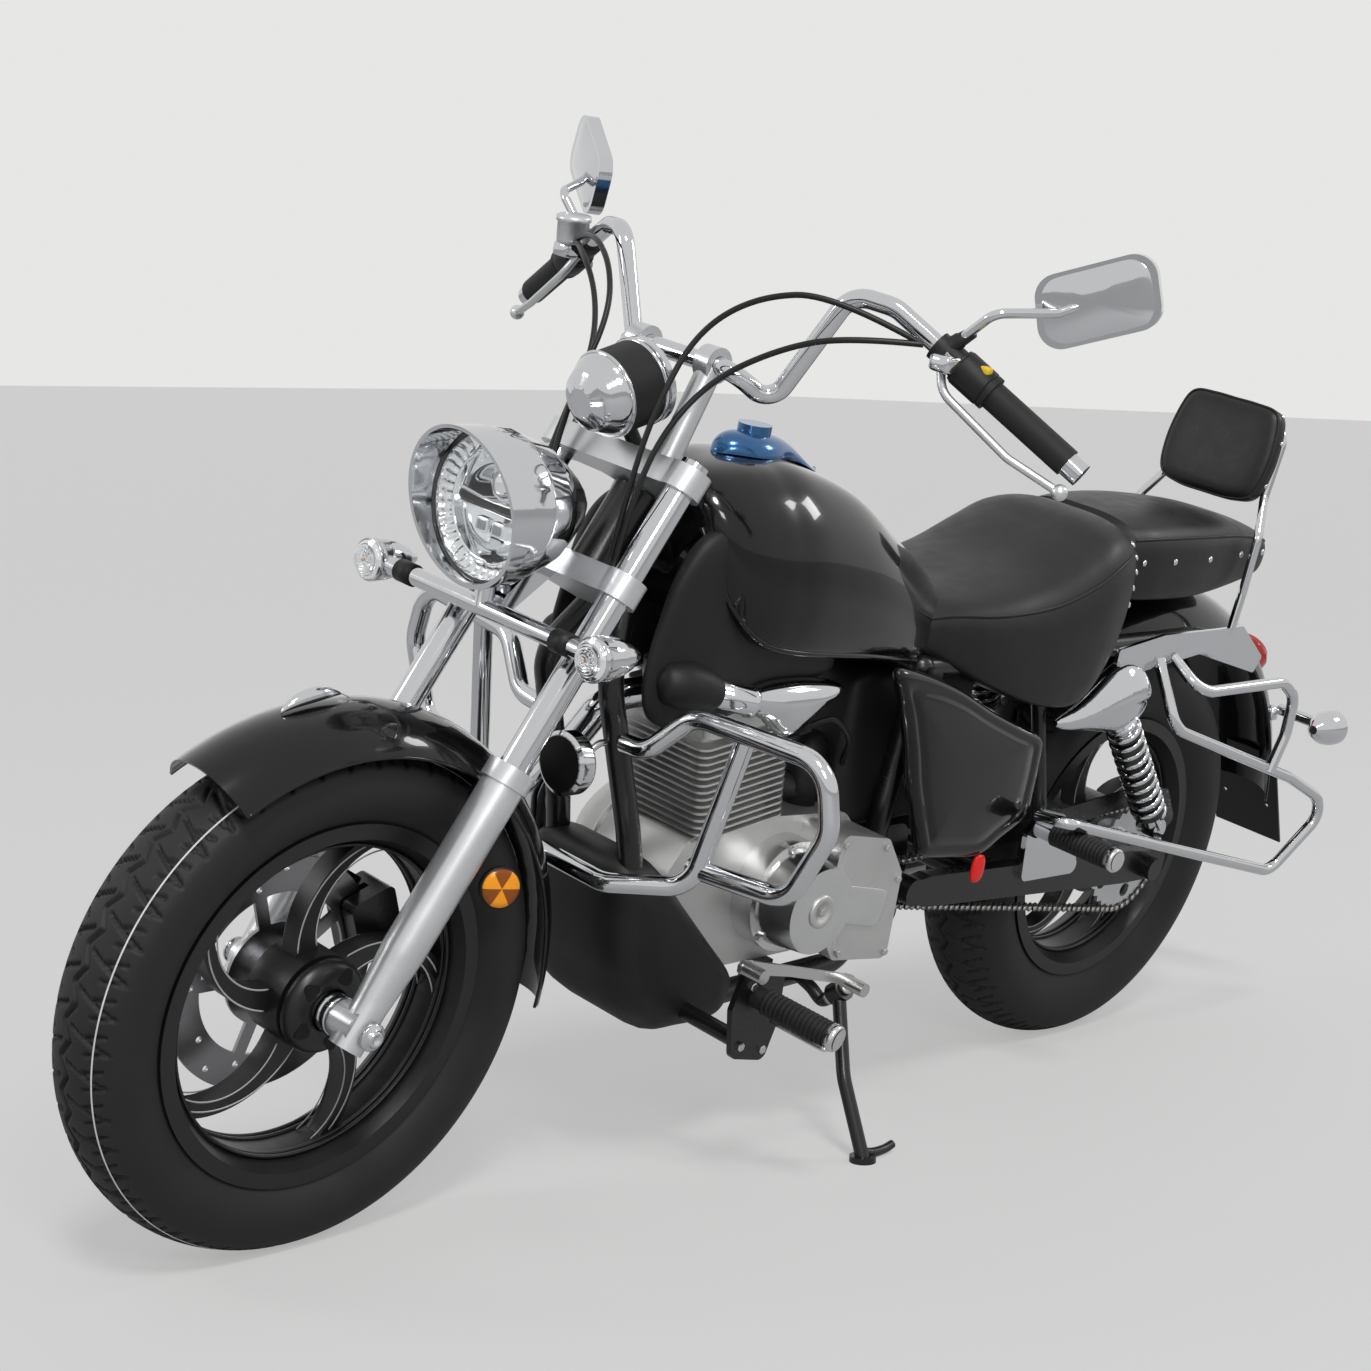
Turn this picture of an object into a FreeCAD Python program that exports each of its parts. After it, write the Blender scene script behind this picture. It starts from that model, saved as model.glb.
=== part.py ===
import FreeCAD, Part
import math
import os
from FreeCAD import Placement, Rotation, Vector

# Cruiser motorcycle on its side stand, in millimetres and degrees.
# It is drawn upright with +X forward, +Y left and +Z up, the ground under the rear axle at zero,
# and the finished pieces are leaned onto the side stand together at the end.

# Chassis lines
wheelbase = 1450.0
lean_deg = 11.926
rake_deg = 30.84
fork_offset = 43.0
fork_half_spacing = 99.0
swingarm_length = 540.0
pivot_height = 340.0
fit_gap = 0.3
overrun = 20.0

# Tyres and rims
front_tyre_radius = 302.0
front_tyre_half_width = 60.0
front_rim_radius = 203.0
front_rim_half_width = 41.0
rear_tyre_radius = 307.5
rear_tyre_half_width = 66.0
rear_rim_radius = 190.5
rear_rim_half_width = 46.0
tyre_crown_radius = 78.0
rim_flange_height = 12.0
rim_flange_width = 5.0
rim_depth = 18.0
rim_well_depth = 9.0
spoke_count = 5
spoke_width = 30.0
spoke_tip_width = 22.0
spoke_thickness = 26.0
spoke_sweep_deg = 34.0
front_hub_radius = 56.0
front_hub_half_width = 34.0
rear_hub_radius = 74.0
rear_hub_half_width = 44.0
hub_step_height = 14.0
hub_pocket_depth = 5.0
axle_radius = 9.0
axle_running_gap = 0.5
spacer_radius = 17.0

# Brake disc and caliper
disc_radius = 140.0
disc_inner_radius = 98.0
disc_thickness = 4.5
disc_plane = 60.0
disc_hole_radius = 4.0
disc_hole_count = 20
disc_carrier_radius = 62.0
disc_arm_width = 16.0
caliper_length = 82.0
caliper_depth = 62.0
caliper_width = 52.0
caliper_height = 122.0
caliper_slot = 10.0

# Fork and clamps
fork_tube_radius = 17.5
slider_radius = 25.0
slider_collar_radius = 28.5
slider_collar_height = 22.0
slider_foot_radius = 20.0
slider_foot_drop = 26.0
slider_top = 328.0
slider_taper_height = 70.0
slider_socket_depth = 60.0
slider_boss_radius = 23.0
fork_top = 724.0
clamp_thickness = 30.0
clamp_wall = 8.0
lower_clamp_height = 545.0
clamp_web_depth = 44.0
clamp_waist = 29.0
stem_radius = 13.0
head_tube_radius = 27.0
head_tube_gap = 3.0
stem_running_gap = 1.0

# Headlight, signals and speedometer
headlight_radius = 88.0
headlight_depth = 150.0
headlight_height = 854.0
visor_length = 42.0
headlight_wall = 4.0
lens_thickness = 14.0
signal_radius = 25.0
signal_length = 74.0
signal_half_spacing = 191.0
signal_reach = 70.0
signal_height = 466.0
signal_bar_radius = 11.0
gauge_radius = 49.0
gauge_length = 100.0
gauge_tilt_deg = 17.0
gauge_reach = 106.0

# Handlebar, grips, levers and mirrors
bar_radius = 11.0
bar_bend = 40.0
bar_half_width = 440.0
bar_rise = 110.0
bar_pullback = 173.0
riser_half_spacing = 57.0
riser_height = 106.0
riser_radius = 15.0
riser_lean = 22.0
riser_cap_radius = 21.0
riser_cap_width = 22.0
grip_radius = 16.5
grip_length = 118.0
grip_cap_length = 20.0
grip_cap_radius = 14.0
lever_radius = 5.0
lever_ball_radius = 9.5
perch_length = 34.0
perch_radius = 17.0
switch_length = 42.0
switch_radius = 20.0
mirror_width = 150.0
mirror_height = 88.0
mirror_depth = 18.0
mirror_yaw_deg = 27.0
mirror_roll_deg = 28.0
mirror_corner = 26.0
mirror_arm_radius = 5.5
cable_radius = 3.5
cable_bend = 140.0

# Front fender
front_fender_crown = 342.0
front_fender_edge = 298.0
front_fender_half_width = 70.0
front_fender_start_deg = 57.0
front_fender_sweep_deg = 131.0
fender_wall = 3.0
fender_lug_height = 278.0
fender_lug_length = 26.0
fender_lug_depth = 16.0

# Main frame
backbone_radius = 22.0
frame_tube_radius = 15.0
rail_joint_radius = 17.5
backbone_rear_height = 648.0
backbone_rear_ahead = 50.0
seat_rail_half_spacing = 96.0
seat_rail_reach = 620.0
seat_rail_height = 650.0
downtube_half_spacing = 56.0
cradle_half_spacing = 78.0
cradle_height = 226.0
cradle_bend = 70.0
pivot_plate_half_spacing = 60.0
pivot_plate_thickness = 12.0
pivot_tube_radius = 19.0
swingarm_half_spacing = 114.0
swingarm_tube_height = 44.0
swingarm_tube_width = 22.0
swingarm_cross_radius = 18.0
swingarm_cross_gap = 36.0
rear_axle_reach = 144.0

# Rear shocks
shock_half_spacing = 134.0
shock_spring_radius = 24.0
shock_wire_radius = 5.0
shock_turns = 9
shock_bore_radius = 12.0
shock_foot_ahead = 15.0
shock_foot_rise = 66.0
shock_reach = 178.0
shock_rise = 212.0
shock_eye_radius = 15.0
shock_cover_length = 206.0
shock_cover_height = 96.0
shock_cover_half_width = 27.0

# Engine
crank_ahead = 225.0
crank_rise = 18.0
case_length = 404.0
case_height = 196.0
case_half_width = 66.0
case_cover_radius = 74.0
case_cover_reach = 70.0
sprocket_cover_length = 150.0
sprocket_cover_height = 184.0
cylinder_ahead = 90.0
cylinder_rise = 88.0
cylinder_height = 130.0
cylinder_half_width = 62.0
cylinder_half_length = 64.0
fin_count = 14
fin_thickness = 3.0
fin_depth = 15.0
head_height = 74.0
cylinder_tilt_deg = 8.0

# Fuel tank and its console
tank_length = 574.0
tank_half_width = 143.0
tank_height = 290.0
tank_base_height = 622.0
tank_rear_behind = 92.0
tank_tunnel_gap = 8.0
console_length = 184.0
console_half_width = 37.0
console_height = 62.0
console_rear_ahead = 312.0
console_rise = 254.0
cap_radius = 21.0
cap_height = 8.0

# Seats and backrest
rider_seat_length = 440.0
rider_seat_half_width = 156.0
rider_seat_height = 262.0
rider_seat_behind = 360.0
rider_seat_base = 566.0
passenger_seat_length = 398.0
passenger_seat_half_width = 116.0
passenger_seat_height = 118.0
passenger_seat_base = 712.0
passenger_seat_behind = 766.0
backrest_half_width = 92.0
backrest_height = 146.0
backrest_depth = 38.0
backrest_base = 842.0
backrest_behind = 213.0
backrest_lean_deg = 14.0
cable_reach = 200.0
cable_width = 220.0
cable_drop = 300.0
cable_start_ahead = 24.0
lever_offset = 40.0
grip_flange = 6.0
mirror_stem_back = 100.0
mirror_stem_out = 110.0
mirror_stem_rise = 80.0
clamp_cap_height = 8.0
axle_side_gap = 2.0
rim_lip_depth = 6.0
caliper_turn_deg = 38.0
caliper_round = 10.0
caliper_lug_thickness = 14.0
caliper_lug_reach = 46.0
headlight_behind = 145.0
bracket_half_width = 22.0
gauge_stem_radius = 9.0
gauge_drop = 10.0

# Frame details
downtube_neck_behind = 57.0
downtube_neck_half_spacing = 20.0
downtube_neck_start = 70.0
downtube_ahead = 9.0
downtube_drop = 140.0
downtube_bow_behind = 60.0
downtube_bow_drop = 330.0
downtube_bow_half_spacing = 62.0
downtube_foot_behind = 125.0
pivot_plate_length = 90.0
pivot_plate_height = 150.0
strut_reach = 60.0
strut_half_spacing = 120.0
strut_foot_height = 400.0
strut_radius = 10.0
engine_mount_length = 30.0
engine_mount_inner = 50.0
engine_mount_places = (0.4, 0.72)

# Chain drive
chain_plane = 86.0
chain_width = 12.0
chain_height = 10.0
chain_rear_radius = 82.0
chain_front_radius = 26.0
chain_front_behind = 165.0
chain_front_drop = 14.0
sprocket_radius = 80.0
sprocket_thickness = 6.0
tooth_depth = 6.0
tooth_count = 30
chain_guard_gap = 2.0
chain_guard_wall = 4.0
chain_guard_length = 400.0
chain_guard_height = 120.0
chain_guard_corner = 12.0
chain_guard_tab = 36.0
chain_guard_tab_height = 50.0
chain_guard_tab_rise = 34.0
case_corner = 26.0
sprocket_cover_behind = 174.0

# Exhaust on the right
exhaust_port_ahead = 166.0
exhaust_port_aside = 32.0
exhaust_port_rise = 246.0
header_reach = 88.0
header_width = 95.0
header_drop = 398.0
header_radius = 19.0
header_bend = 60.0
muffler_length = 860.0
muffler_radius = 42.0
muffler_overlap = 10.0
muffler_hanger_length = 40.0
muffler_hanger_wall = 6.0
muffler_hanger_height = 60.0

# Covers
belly_rear_ahead = 50.0
belly_base_height = 190.0
belly_length = 247.0
belly_height = 242.0
belly_half_width = 98.0
belly_wall = 3.0
belly_corner = 22.0
shroud_rise = 222.0
shroud_length = 318.0
shroud_height = 270.0
shroud_inner = 80.0
shroud_outer = 108.0
shroud_corner = 16.0
scoop_rear_ahead = 35.0
scoop_rise = 292.0
scoop_length = 165.0
scoop_radius = 30.0
side_cover_behind = 200.0
side_cover_length = 350.0
side_cover_height = 330.0
side_cover_inner = 126.0
side_cover_outer = 146.0
side_cover_corner = 14.0
backrest_corner = 24.0
backrest_round = 12.0
strut_panel_behind = 740.0
strut_panel_length = 380.0
strut_panel_height = 60.0
strut_panel_wall = 6.0
strut_panel_corner = 6.0
sissy_reach = 40.0
sissy_height = 300.0
sissy_radius = 6.5
sissy_bend = 30.0

# Rear fender, lamps and plate carrier
rear_fender_shift = 30.0
rear_fender_drop = 7.5
rear_fender_crown = 411.0
rear_fender_edge = 356.0
rear_fender_half_width = 80.5
rear_fender_start_deg = 50.0
rear_fender_sweep_deg = 122.0
plate_inset_deg = 6.0
plate_wall = 3.0
plate_half_width = 62.0
plate_height = 134.0
plate_hole_radius = 3.2
plate_hole_spacing = 80.0
plate_lean_deg = 27.0
tail_lamp_deg = 140.0
tail_lamp_length = 34.0
tail_lamp_radius = 34.0
rear_signal_deg = 147.5
rear_signal_reach = 90.0
rear_signal_arm_radius = 9.0
rear_signal_length = 62.0
rear_signal_radius = 27.0

# Guards, pegs and foot controls
guard_ahead = 285.0
guard_half_width = 363.0
guard_height = 660.0
guard_radius = 12.0
guard_bend = 46.0
saddle_reach = 330.0
saddle_half_width = 192.0
saddle_height = 600.0
saddle_radius = 8.5
saddle_bend = 34.0
peg_ahead = 155.0
peg_tube_radius = 11.0
peg_plate_inner = 196.0
peg_plate_wall = 8.0
peg_plate_length = 100.0
peg_plate_height = 130.0
peg_plate_corner = 12.0
peg_sweep = 25.0
peg_length = 120.0
peg_drop = 12.0
peg_radius = 14.0
hanger_length = 150.0
hanger_height = 110.0
rear_peg_length = 130.0
shift_length = 230.0
shift_wall = 6.0
shift_corner = 3.0
toe_length = 36.0
toe_radius = 9.0

# Side stand
stand_pivot_ahead = 150.0
stand_pivot_aside = 140.0
stand_eye_radius = 15.0
stand_eye_width = 22.0
stand_leg_radius = 9.0
stand_bend = 90.0
stand_bow = 14.0
stand_foot_ahead = 182.0
stand_foot_aside = 269.0
stand_foot_radius = 17.0
stand_foot_thickness = 8.0

# Horn
horn_height = 562.0
horn_radius = 38.0
horn_depth = 40.0
horn_gap = 2.0
plate_tab_height = 40.0
front_spoke_deg = 78.0
rear_spoke_deg = 62.0

# Outlines as shares of the sizes they follow
quarter = 0.25
rim_shelf_share = 0.68
rim_drop_share = 0.54
tyre_shoulder_share = 0.86
tyre_bulge_share = 0.5
spoke_bow_share = 0.3
spoke_root_share = 0.8
disc_row_shares = (0.3, 0.7)
headlight_shares = ((0, 0), (0, 0.2), (0.15, 0.45), (0.45, 0.8), (0.8, 1), (1, 1))
lens_dome_share = 0.7
signal_shares = ((0, 0), (0, 0.25), (0.2, 0.62), (0.45, 0.9), (0.68, 1), (0.9, 1), (0.97, 0.8), (1, 0.45), (1, 0))
signal_back_share = 0.75
gauge_shares = ((0, 0), (0, 0.35), (0.1, 0.72), (0.3, 0.97), (0.36, 1), (0.92, 1), (0.93, 1.04), (1, 1.04), (1, 0))
bar_shares = ((0, 0.205, 0), (-0.28, 0.252, -0.31), (-0.38, 0.42, 1), (-0.5, 0.53, 0.96), (-1, 1, -0.16))
grip_flange_share = 1.25
lever_ahead_share = 0.55
lever_drop_share = 0.75
lever_bow_share = 1.15
lever_end_share = 0.85
mirror_stem_shares = ((0.03, 0.48, 0.62), (-0.6, 0.8, 0.74), (-0.95, 0.98, 0.97))
mirror_shares = ((-0.5, -0.42), (0.42, -0.5), (0.5, 0.44), (-0.4, 0.5))
clutch_cable_shares = (
    (0.32, -0.38, 0.12), (0.5, -0.74, 0.05), (0.68, -0.95, -0.12), (0.87, -0.97, -0.4),
    (0.96, -0.98, -0.68), (1.01, -0.985, -1),
)
switch_cable_shares = (
    (0.3, -0.27, -0.02), (0.42, -0.59, -0.12), (0.62, -0.84, -0.28), (0.85, -0.92, -0.5),
    (0.97, -0.945, -0.77), (1.02, -0.94, -1.01),
)
brake_cable_shares = (
    (0.3, -0.33, 0.02), (0.42, -0.62, -0.12), (0.6, -0.84, -0.32), (0.84, -0.93, -0.55),
    (0.97, -0.95, -0.78), (1.01, -0.95, -0.98),
)
throttle_cable_shares = (
    (0.32, -0.4, 0.1), (0.5, -0.76, 0.02), (0.66, -0.97, -0.16), (0.86, -0.99, -0.44),
    (0.96, -1.0, -0.72), (1.0, -1.0, -1.02),
)
pivot_plate_shares = ((-0.5, -0.5), (0.5, -0.5), (0.5, 0.1), (0.35, 0.5), (-0.35, 0.5), (-0.5, 0.1))
strut_top_share = 0.4
swingarm_shares = (
    (-0.09, -0.45), (-0.09, 0.45), (0.1, 0.6), (0.95, 0.5), (1.03, 0.3), (1.03, -0.3), (0.95, -0.5), (0.1, -0.55),
)
round_shares = ((1, 0.5), (0.71, 0.85), (0, 1), (-0.71, 0.85), (-1, 0.5), (-0.71, 0.15), (0, 0), (0.71, 0.15))
shock_cover_stations = (
    (0, 0.3, 0.35, 0.65), (0.12, 0.75, 0.12, 0.9), (0.35, 1, 0, 1), (0.65, 0.75, 0.08, 0.62),
    (0.88, 0.4, 0.12, 0.38), (1, 0.12, 0.2, 0.28),
)
shock_cover_head_share = 0.38
case_behind_share = 0.443
case_shares = (
    (0.02, 0.35), (0.1, 0.06), (0.3, 0), (0.8, 0), (1, 0.3), (1, 0.55), (0.86, 0.95), (0.5, 1), (0.15, 0.95),
    (0.02, 0.7),
)
case_cap_share = 0.88
clutch_cover_share = 1.15
sprocket_cover_shares = ((0, 0), (0.75, 0.08), (0.98, 0.35), (0.9, 1.03), (0.28, 0.94), (0.02, 0.66))
sprocket_carrier_share = 0.56
window_place_share = 0.72
window_share = 0.13
chain_guard_shares = (
    (-0.24, 0.43), (-0.15, 0.87), (0.05, 0.97), (0.95, 0.74), (0.95, 0.5), (0.05, 0.73), (-0.1, 0.63), (-0.17, 0.3),
)
chain_guard_tab_share = 0.62
header_shares = (
    (0.7, -0.26, -0.03), (1.03, -0.95, -0.36), (0.7, -1, -0.76), (0.05, -1.05, -0.85), (-0.75, -1.25, -0.855),
    (-1.9, -1.47, -0.92), (-2.4, -1.47, -0.92),
)
muffler_shares = (
    (0, 0), (0, 0.5), (0.04, 0.55), (0.14, 0.95), (0.2, 1), (0.94, 1), (0.96, 0.92), (1, 0.86), (1, 0.7), (0.95, 0.7),
    (0.95, 0),
)
muffler_rise_share = 0.02
belly_shares = (
    (0, 0.28), (0, 0.06), (0.12, 0), (0.6, 0.01), (0.78, 0.14), (0.93, 0.45), (1, 1), (0.72, 1), (0.7, 0.58),
    (0.58, 0.3),
)
belly_inner_shares = ((-0.3, 0.02), (0.6, 0.012), (0.775, 0.14), (0.925, 0.45), (0.995, 1.3), (-0.3, 1.3))
tank_section_shares = (
    (0, 1), (0.5, 0.94), (0.86, 0.7), (1, 0.36), (0.97, 0.1), (0.84, 0), (0.42, 0), (0, 0), (-0.42, 0), (-0.84, 0),
    (-0.97, 0.1), (-1, 0.36), (-0.86, 0.7), (-0.5, 0.94),
)
tank_stations = (
    (0, 0.245, 0, 0.097), (0.091, 0.448, 0.041, 0.345), (0.195, 0.615, 0.09, 0.507), (0.334, 0.783, 0.134, 0.666),
    (0.509, 0.923, 0.19, 0.859), (0.7, 1, 0.234, 0.986), (0.857, 0.92, 0.297, 0.997), (0.93, 0.6, 0.47, 0.97),
    (1, 0.24, 0.786, 0.907),
)
console_stations = (
    (0, 0.1, 0.1, 0.25), (0.22, 0.43, 0.2, 0.55), (0.5, 0.8, 0.25, 0.93), (0.72, 1, 0.25, 1), (0.9, 0.66, 0.25, 0.94),
    (1, 0.2, 0.3, 0.62),
)
cap_place_share = 0.66
shroud_shares = (
    (0.69, 1), (0.8, 0.82), (0.8, 0.46), (0.96, 0.4), (1, 0.2), (0.86, 0.07), (0.56, 0.11), (0.25, 0.22), (0, 0.28),
    (0, 0.42), (0.3, 0.5), (0.55, 0.7),
)
scoop_shares = ((0, 0), (0.08, 0.25), (0.3, 0.7), (0.55, 0.95), (0.75, 1), (0.85, 0.75), (1, 0.6), (1, 0))
scoop_seat_share = 0.1
scoop_turn_share = 0.06
side_cover_shares = (
    (1, 0.98), (0.86, 0.67), (0.75, 0.39), (0.63, 0.18), (0.29, 0.14), (0.014, 0.3), (0.014, 0.6), (0.17, 0.68),
    (0.4, 0.775), (0.74, 0.94),
)
seat_section_shares = (
    (0, 1), (0.45, 0.985), (0.8, 0.9), (0.97, 0.7), (1, 0.4), (0.96, 0.08), (0.85, 0), (0.42, 0), (0, 0), (-0.42, 0),
    (-0.85, 0), (-0.96, 0.08), (-1, 0.4), (-0.97, 0.7), (-0.8, 0.9), (-0.45, 0.985),
)
rider_seat_stations = (
    (0, 0.64, 0.645, 0.89), (0.045, 0.82, 0.4, 0.99), (0.16, 0.936, 0.176, 0.99), (0.28, 0.974, 0.07, 0.91),
    (0.466, 0.96, 0.1, 0.78), (0.68, 0.885, 0.214, 0.695), (0.864, 0.72, 0.34, 0.645), (1, 0.54, 0.42, 0.557),
)
passenger_seat_stations = (
    (0, 0.5, 0.3, 0.53), (0.08, 0.7, 0.19, 0.73), (0.3, 0.83, 0.085, 0.9), (0.6, 0.98, 0.02, 0.99),
    (0.85, 0.98, 0.02, 1), (1, 0.9, 0.03, 0.97),
)
backrest_shares = ((-0.85, 0), (0.85, 0), (1, 0.35), (0.9, 1), (-0.9, 1), (-1, 0.35))
strut_panel_shares = (
    (1, 0), (0.72, 0.25), (0.37, 0.25), (0.19, 0.27), (0, -0.6), (0.04, -1), (0.46, -0.33), (0.82, -0.6), (1, -0.4),
)
sissy_foot_share = 0.27
sissy_shares = ((-0.325, -0.02, 0.217), (-0.575, -0.035, 0.5), (-1.33, -0.25, 0.667), (-2, -0.29, 1.02))
tail_lamp_shares = ((0, 0), (0, 1), (0.5, 1), (0.85, 0.8), (1, 0.4), (1, 0))
guard_loop_shares = (
    (1.035, 0.204, 0.8864), (1.035, 0.303, 0.891), (1.021, 0.446, 0.979), (1, 0.95, 0.985), (0.994, 1.0, 0.871),
    (0.9905, 0.8815, 0.724), (1.0057, 0.501, 0.709),
)
guard_brace_shares = ((1.0552, 0.2755, 0.6424), (1.0076, 0.523, 0.676), (1.0048, 0.634, 0.982))
saddle_loop_shares = (
    (0.945, 0.6955, 0.708), (0.965, 0.98, 0.725), (-0.727, 1, 0.487), (-1, 1.12, 0.663), (-0.727, 0.99, 0.738),
    (0.21, 0.86, 0.9), (0.227, 0.6, 1.05),
)
saddle_top_shares = (
    (0.12, 0.6, 1.05), (0.09, 0.88, 0.987), (-0.455, 0.99, 1.003), (-0.582, 0.99, 0.96), (-0.585, 0.99, 0.86),
    (-0.52, 0.99, 0.765),
)
peg_plate_shares = ((0.25, -0.1), (-0.35, -0.2), (-0.5, 0.2), (-0.45, 0.7), (0.25, 0.8), (0.4, 0.4))
hanger_shares = ((-0.67, -0.68), (0.24, -0.65), (0.3, 0), (0.12, 0.3), (-0.12, 0.3), (-0.3, 0.1))
shift_shares = ((-0.76, 0.4), (-0.76, 0.5), (-0.2, 0.76), (0.1, 0.9), (0.2, 0.9), (0.2, 0.8), (-0.2, 0.66))
brake_shares = ((-0.3, 0.66), (-0.3, 0.76), (0.1, 0.9), (0.2, 0.9), (0.2, 0.8), (0, 0.74))
toe_share = 0.16
toe_rise_share = 0.85
heel_share = -0.7
heel_rise_share = 0.46
horn_shares = ((0, 0), (0, 0.3), (0.35, 0.3), (0.4, 0.95), (0.5, 1), (0.9, 1), (1, 0.85), (1, 0))

forward = Vector(1, 0, 0)
left = Vector(0, 1, 0)
up = Vector(0, 0, 1)
ground = Vector(0, 0, 0)
run_share = 0.45
half = 0.5

rear_axle = Vector(0, 0, rear_tyre_radius)
front_axle = Vector(wheelbase, 0, front_tyre_radius)
pivot = Vector(swingarm_length, 0, pivot_height)
crank = pivot + Vector(crank_ahead, 0, crank_rise)
fork_place = Placement(front_axle, Rotation(left, -rake_deg))
lean_rise = tyre_crown_radius * (1 - math.cos(math.radians(lean_deg)))


def on_fork(ahead, aside, along):
    """A point ahead of the fork legs, aside of the centre plane and along the legs above the axle."""
    return fork_place.multVec(Vector(ahead, aside, along))


def with_mirror(shape):
    """A left-hand shape and its mirror image on the right."""
    return [shape, shape.mirror(ground, left)]


def fused(shapes):
    """Several touching shapes joined into one, with leftover seams removed."""
    first, *others = shapes
    return first.fuse(others).removeSplitter() if others else first


def bends(points, bend, closed=False):
    """Tangent arcs at the corners, each as its start, middle and end, of one radius where the runs allow it."""
    corners = list(zip(points, points[1:], points[2:]))
    if closed:
        ring = [points[-1]] + points + [points[0]]
        corners = list(zip(ring, ring[1:], ring[2:]))
    pieces = []
    for before, corner, after in corners:
        back = before - corner
        onward = after - corner
        room = run_share * min(back.Length, onward.Length)
        half_turn = back.getAngle(onward) * half
        reach = min(bend / math.tan(half_turn), room)
        back.normalize()
        onward.normalize()
        inward = back + onward
        inward.normalize()
        depth = reach / math.cos(half_turn) - reach * math.tan(half_turn)
        pieces.append((corner + back * reach, corner + inward * depth, corner + onward * reach))
    return pieces


def bent_path(points, bend, closed=False):
    """Straight runs through the points, joined by tangent arcs."""
    pieces = bends(points, bend, closed)
    edges = [Part.Arc(*piece).toShape() for piece in pieces]
    ends = [(first[2], second[0]) for first, second in zip(pieces, pieces[1:])]
    if closed:
        ends.append((pieces[-1][2], pieces[0][0]))
    else:
        ends = [(points[0], pieces[0][0])] + ends + [(pieces[-1][2], points[-1])]
    edges += [Part.LineSegment(*pair).toShape() for pair in ends]
    return Part.Wire(Part.__sortEdges__(edges))


def rod(points, radius, bend):
    """A round bar: its end ring is pushed along each straight run and swung round each arc."""
    place = points[0]
    ring = Part.makeCircle(radius, place, points[1] - place)
    walls = [Part.Face(Part.Wire(ring))]
    for enter, middle, leave in bends(points, bend):
        walls.append(ring.extrude(enter - place))
        ring = ring.translated(enter - place)
        arc = Part.Arc(enter, middle, leave).toShape()
        turn_deg = math.degrees(arc.LastParameter - arc.FirstParameter)
        walls.append(ring.revolve(arc.Curve.Center, arc.Curve.Axis, turn_deg))
        ring.rotate(arc.Curve.Center, arc.Curve.Axis, turn_deg)
        place = leave
    walls.append(ring.extrude(points[-1] - place))
    walls.append(Part.Face(Part.Wire(ring.translated(points[-1] - place))))
    shell = Part.makeShell(walls)
    shell.sewShape()
    solid = Part.Solid(shell)
    return solid if solid.Volume > 0 else solid.reversed()


def turned(rows, base, axis):
    """A body of revolution: each row is a distance along the axis from the base, and a radius."""
    corners = [Vector(radius, 0, along) for along, radius in rows]
    face = Part.Face(Part.makePolygon(corners + corners[:1]))
    solid = face.revolve(ground, up, 360)
    solid.Placement = Placement(base, Rotation(up, axis))
    return solid


def slab(points, inner, outer, corner=0):
    """A flat piece with its outline in side view, between two distances from the centre plane."""
    flat = [Vector(point.x, inner, point.z) for point in points]
    wire = bent_path(flat, corner, True) if corner else Part.makePolygon(flat + flat[:1])
    return Part.Face(wire).extrude(Vector(0, outer - inner, 0))


def outline(shares, origin, length, height):
    """Points in side view at shares of a length and a height, counted from an origin."""
    return [origin + Vector(x_share * length, 0, z_share * height) for x_share, z_share in shares]


def route(shares, origin, reach, width, rise):
    """Points in space at shares of a reach, a width and a rise, counted from an origin."""
    return [origin + Vector(x * reach, y * width, z * rise) for x, y, z in shares]


def hoop(station, origin, length, width, height, shape_shares):
    """One closed smooth section square to the bike's length; a station is (along, width, low, high)."""
    along, broad, low, high = station
    points = [
        origin + Vector(along * length, y * broad * width, (low + z * (high - low)) * height)
        for y, z in shape_shares
    ]
    curve = Part.BSplineCurve()
    curve.interpolate(points, PeriodicFlag=True)
    return Part.Wire(curve.toShape())


def lofted(stations, origin, length, width, height, shape_shares):
    """A smooth body through sections along the bike."""
    hoops = [hoop(row, origin, length, width, height, shape_shares) for row in stations]
    return Part.makeLoft(hoops, True)


# Wheels: cast rims with swept spokes, and tyres whose round crown meets the ground when leaned

def rim(axle, seat, half_width):
    """The cast hoop that carries the tyre."""
    flange = seat + rim_flange_height
    edge = half_width + rim_flange_width
    well = seat - rim_well_depth
    inner = seat - rim_depth
    shelf = half_width * rim_shelf_share
    drop = half_width * rim_drop_share
    rows = [(edge, flange), (half_width, flange), (half_width, seat), (shelf, seat), (drop, well)]
    rows += [(-along, radius) for along, radius in reversed(rows)]
    rows += [(-edge, seat - rim_lip_depth), (-drop, inner), (drop, inner), (edge, seat - rim_lip_depth)]
    return turned(rows, axle, left)


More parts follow.
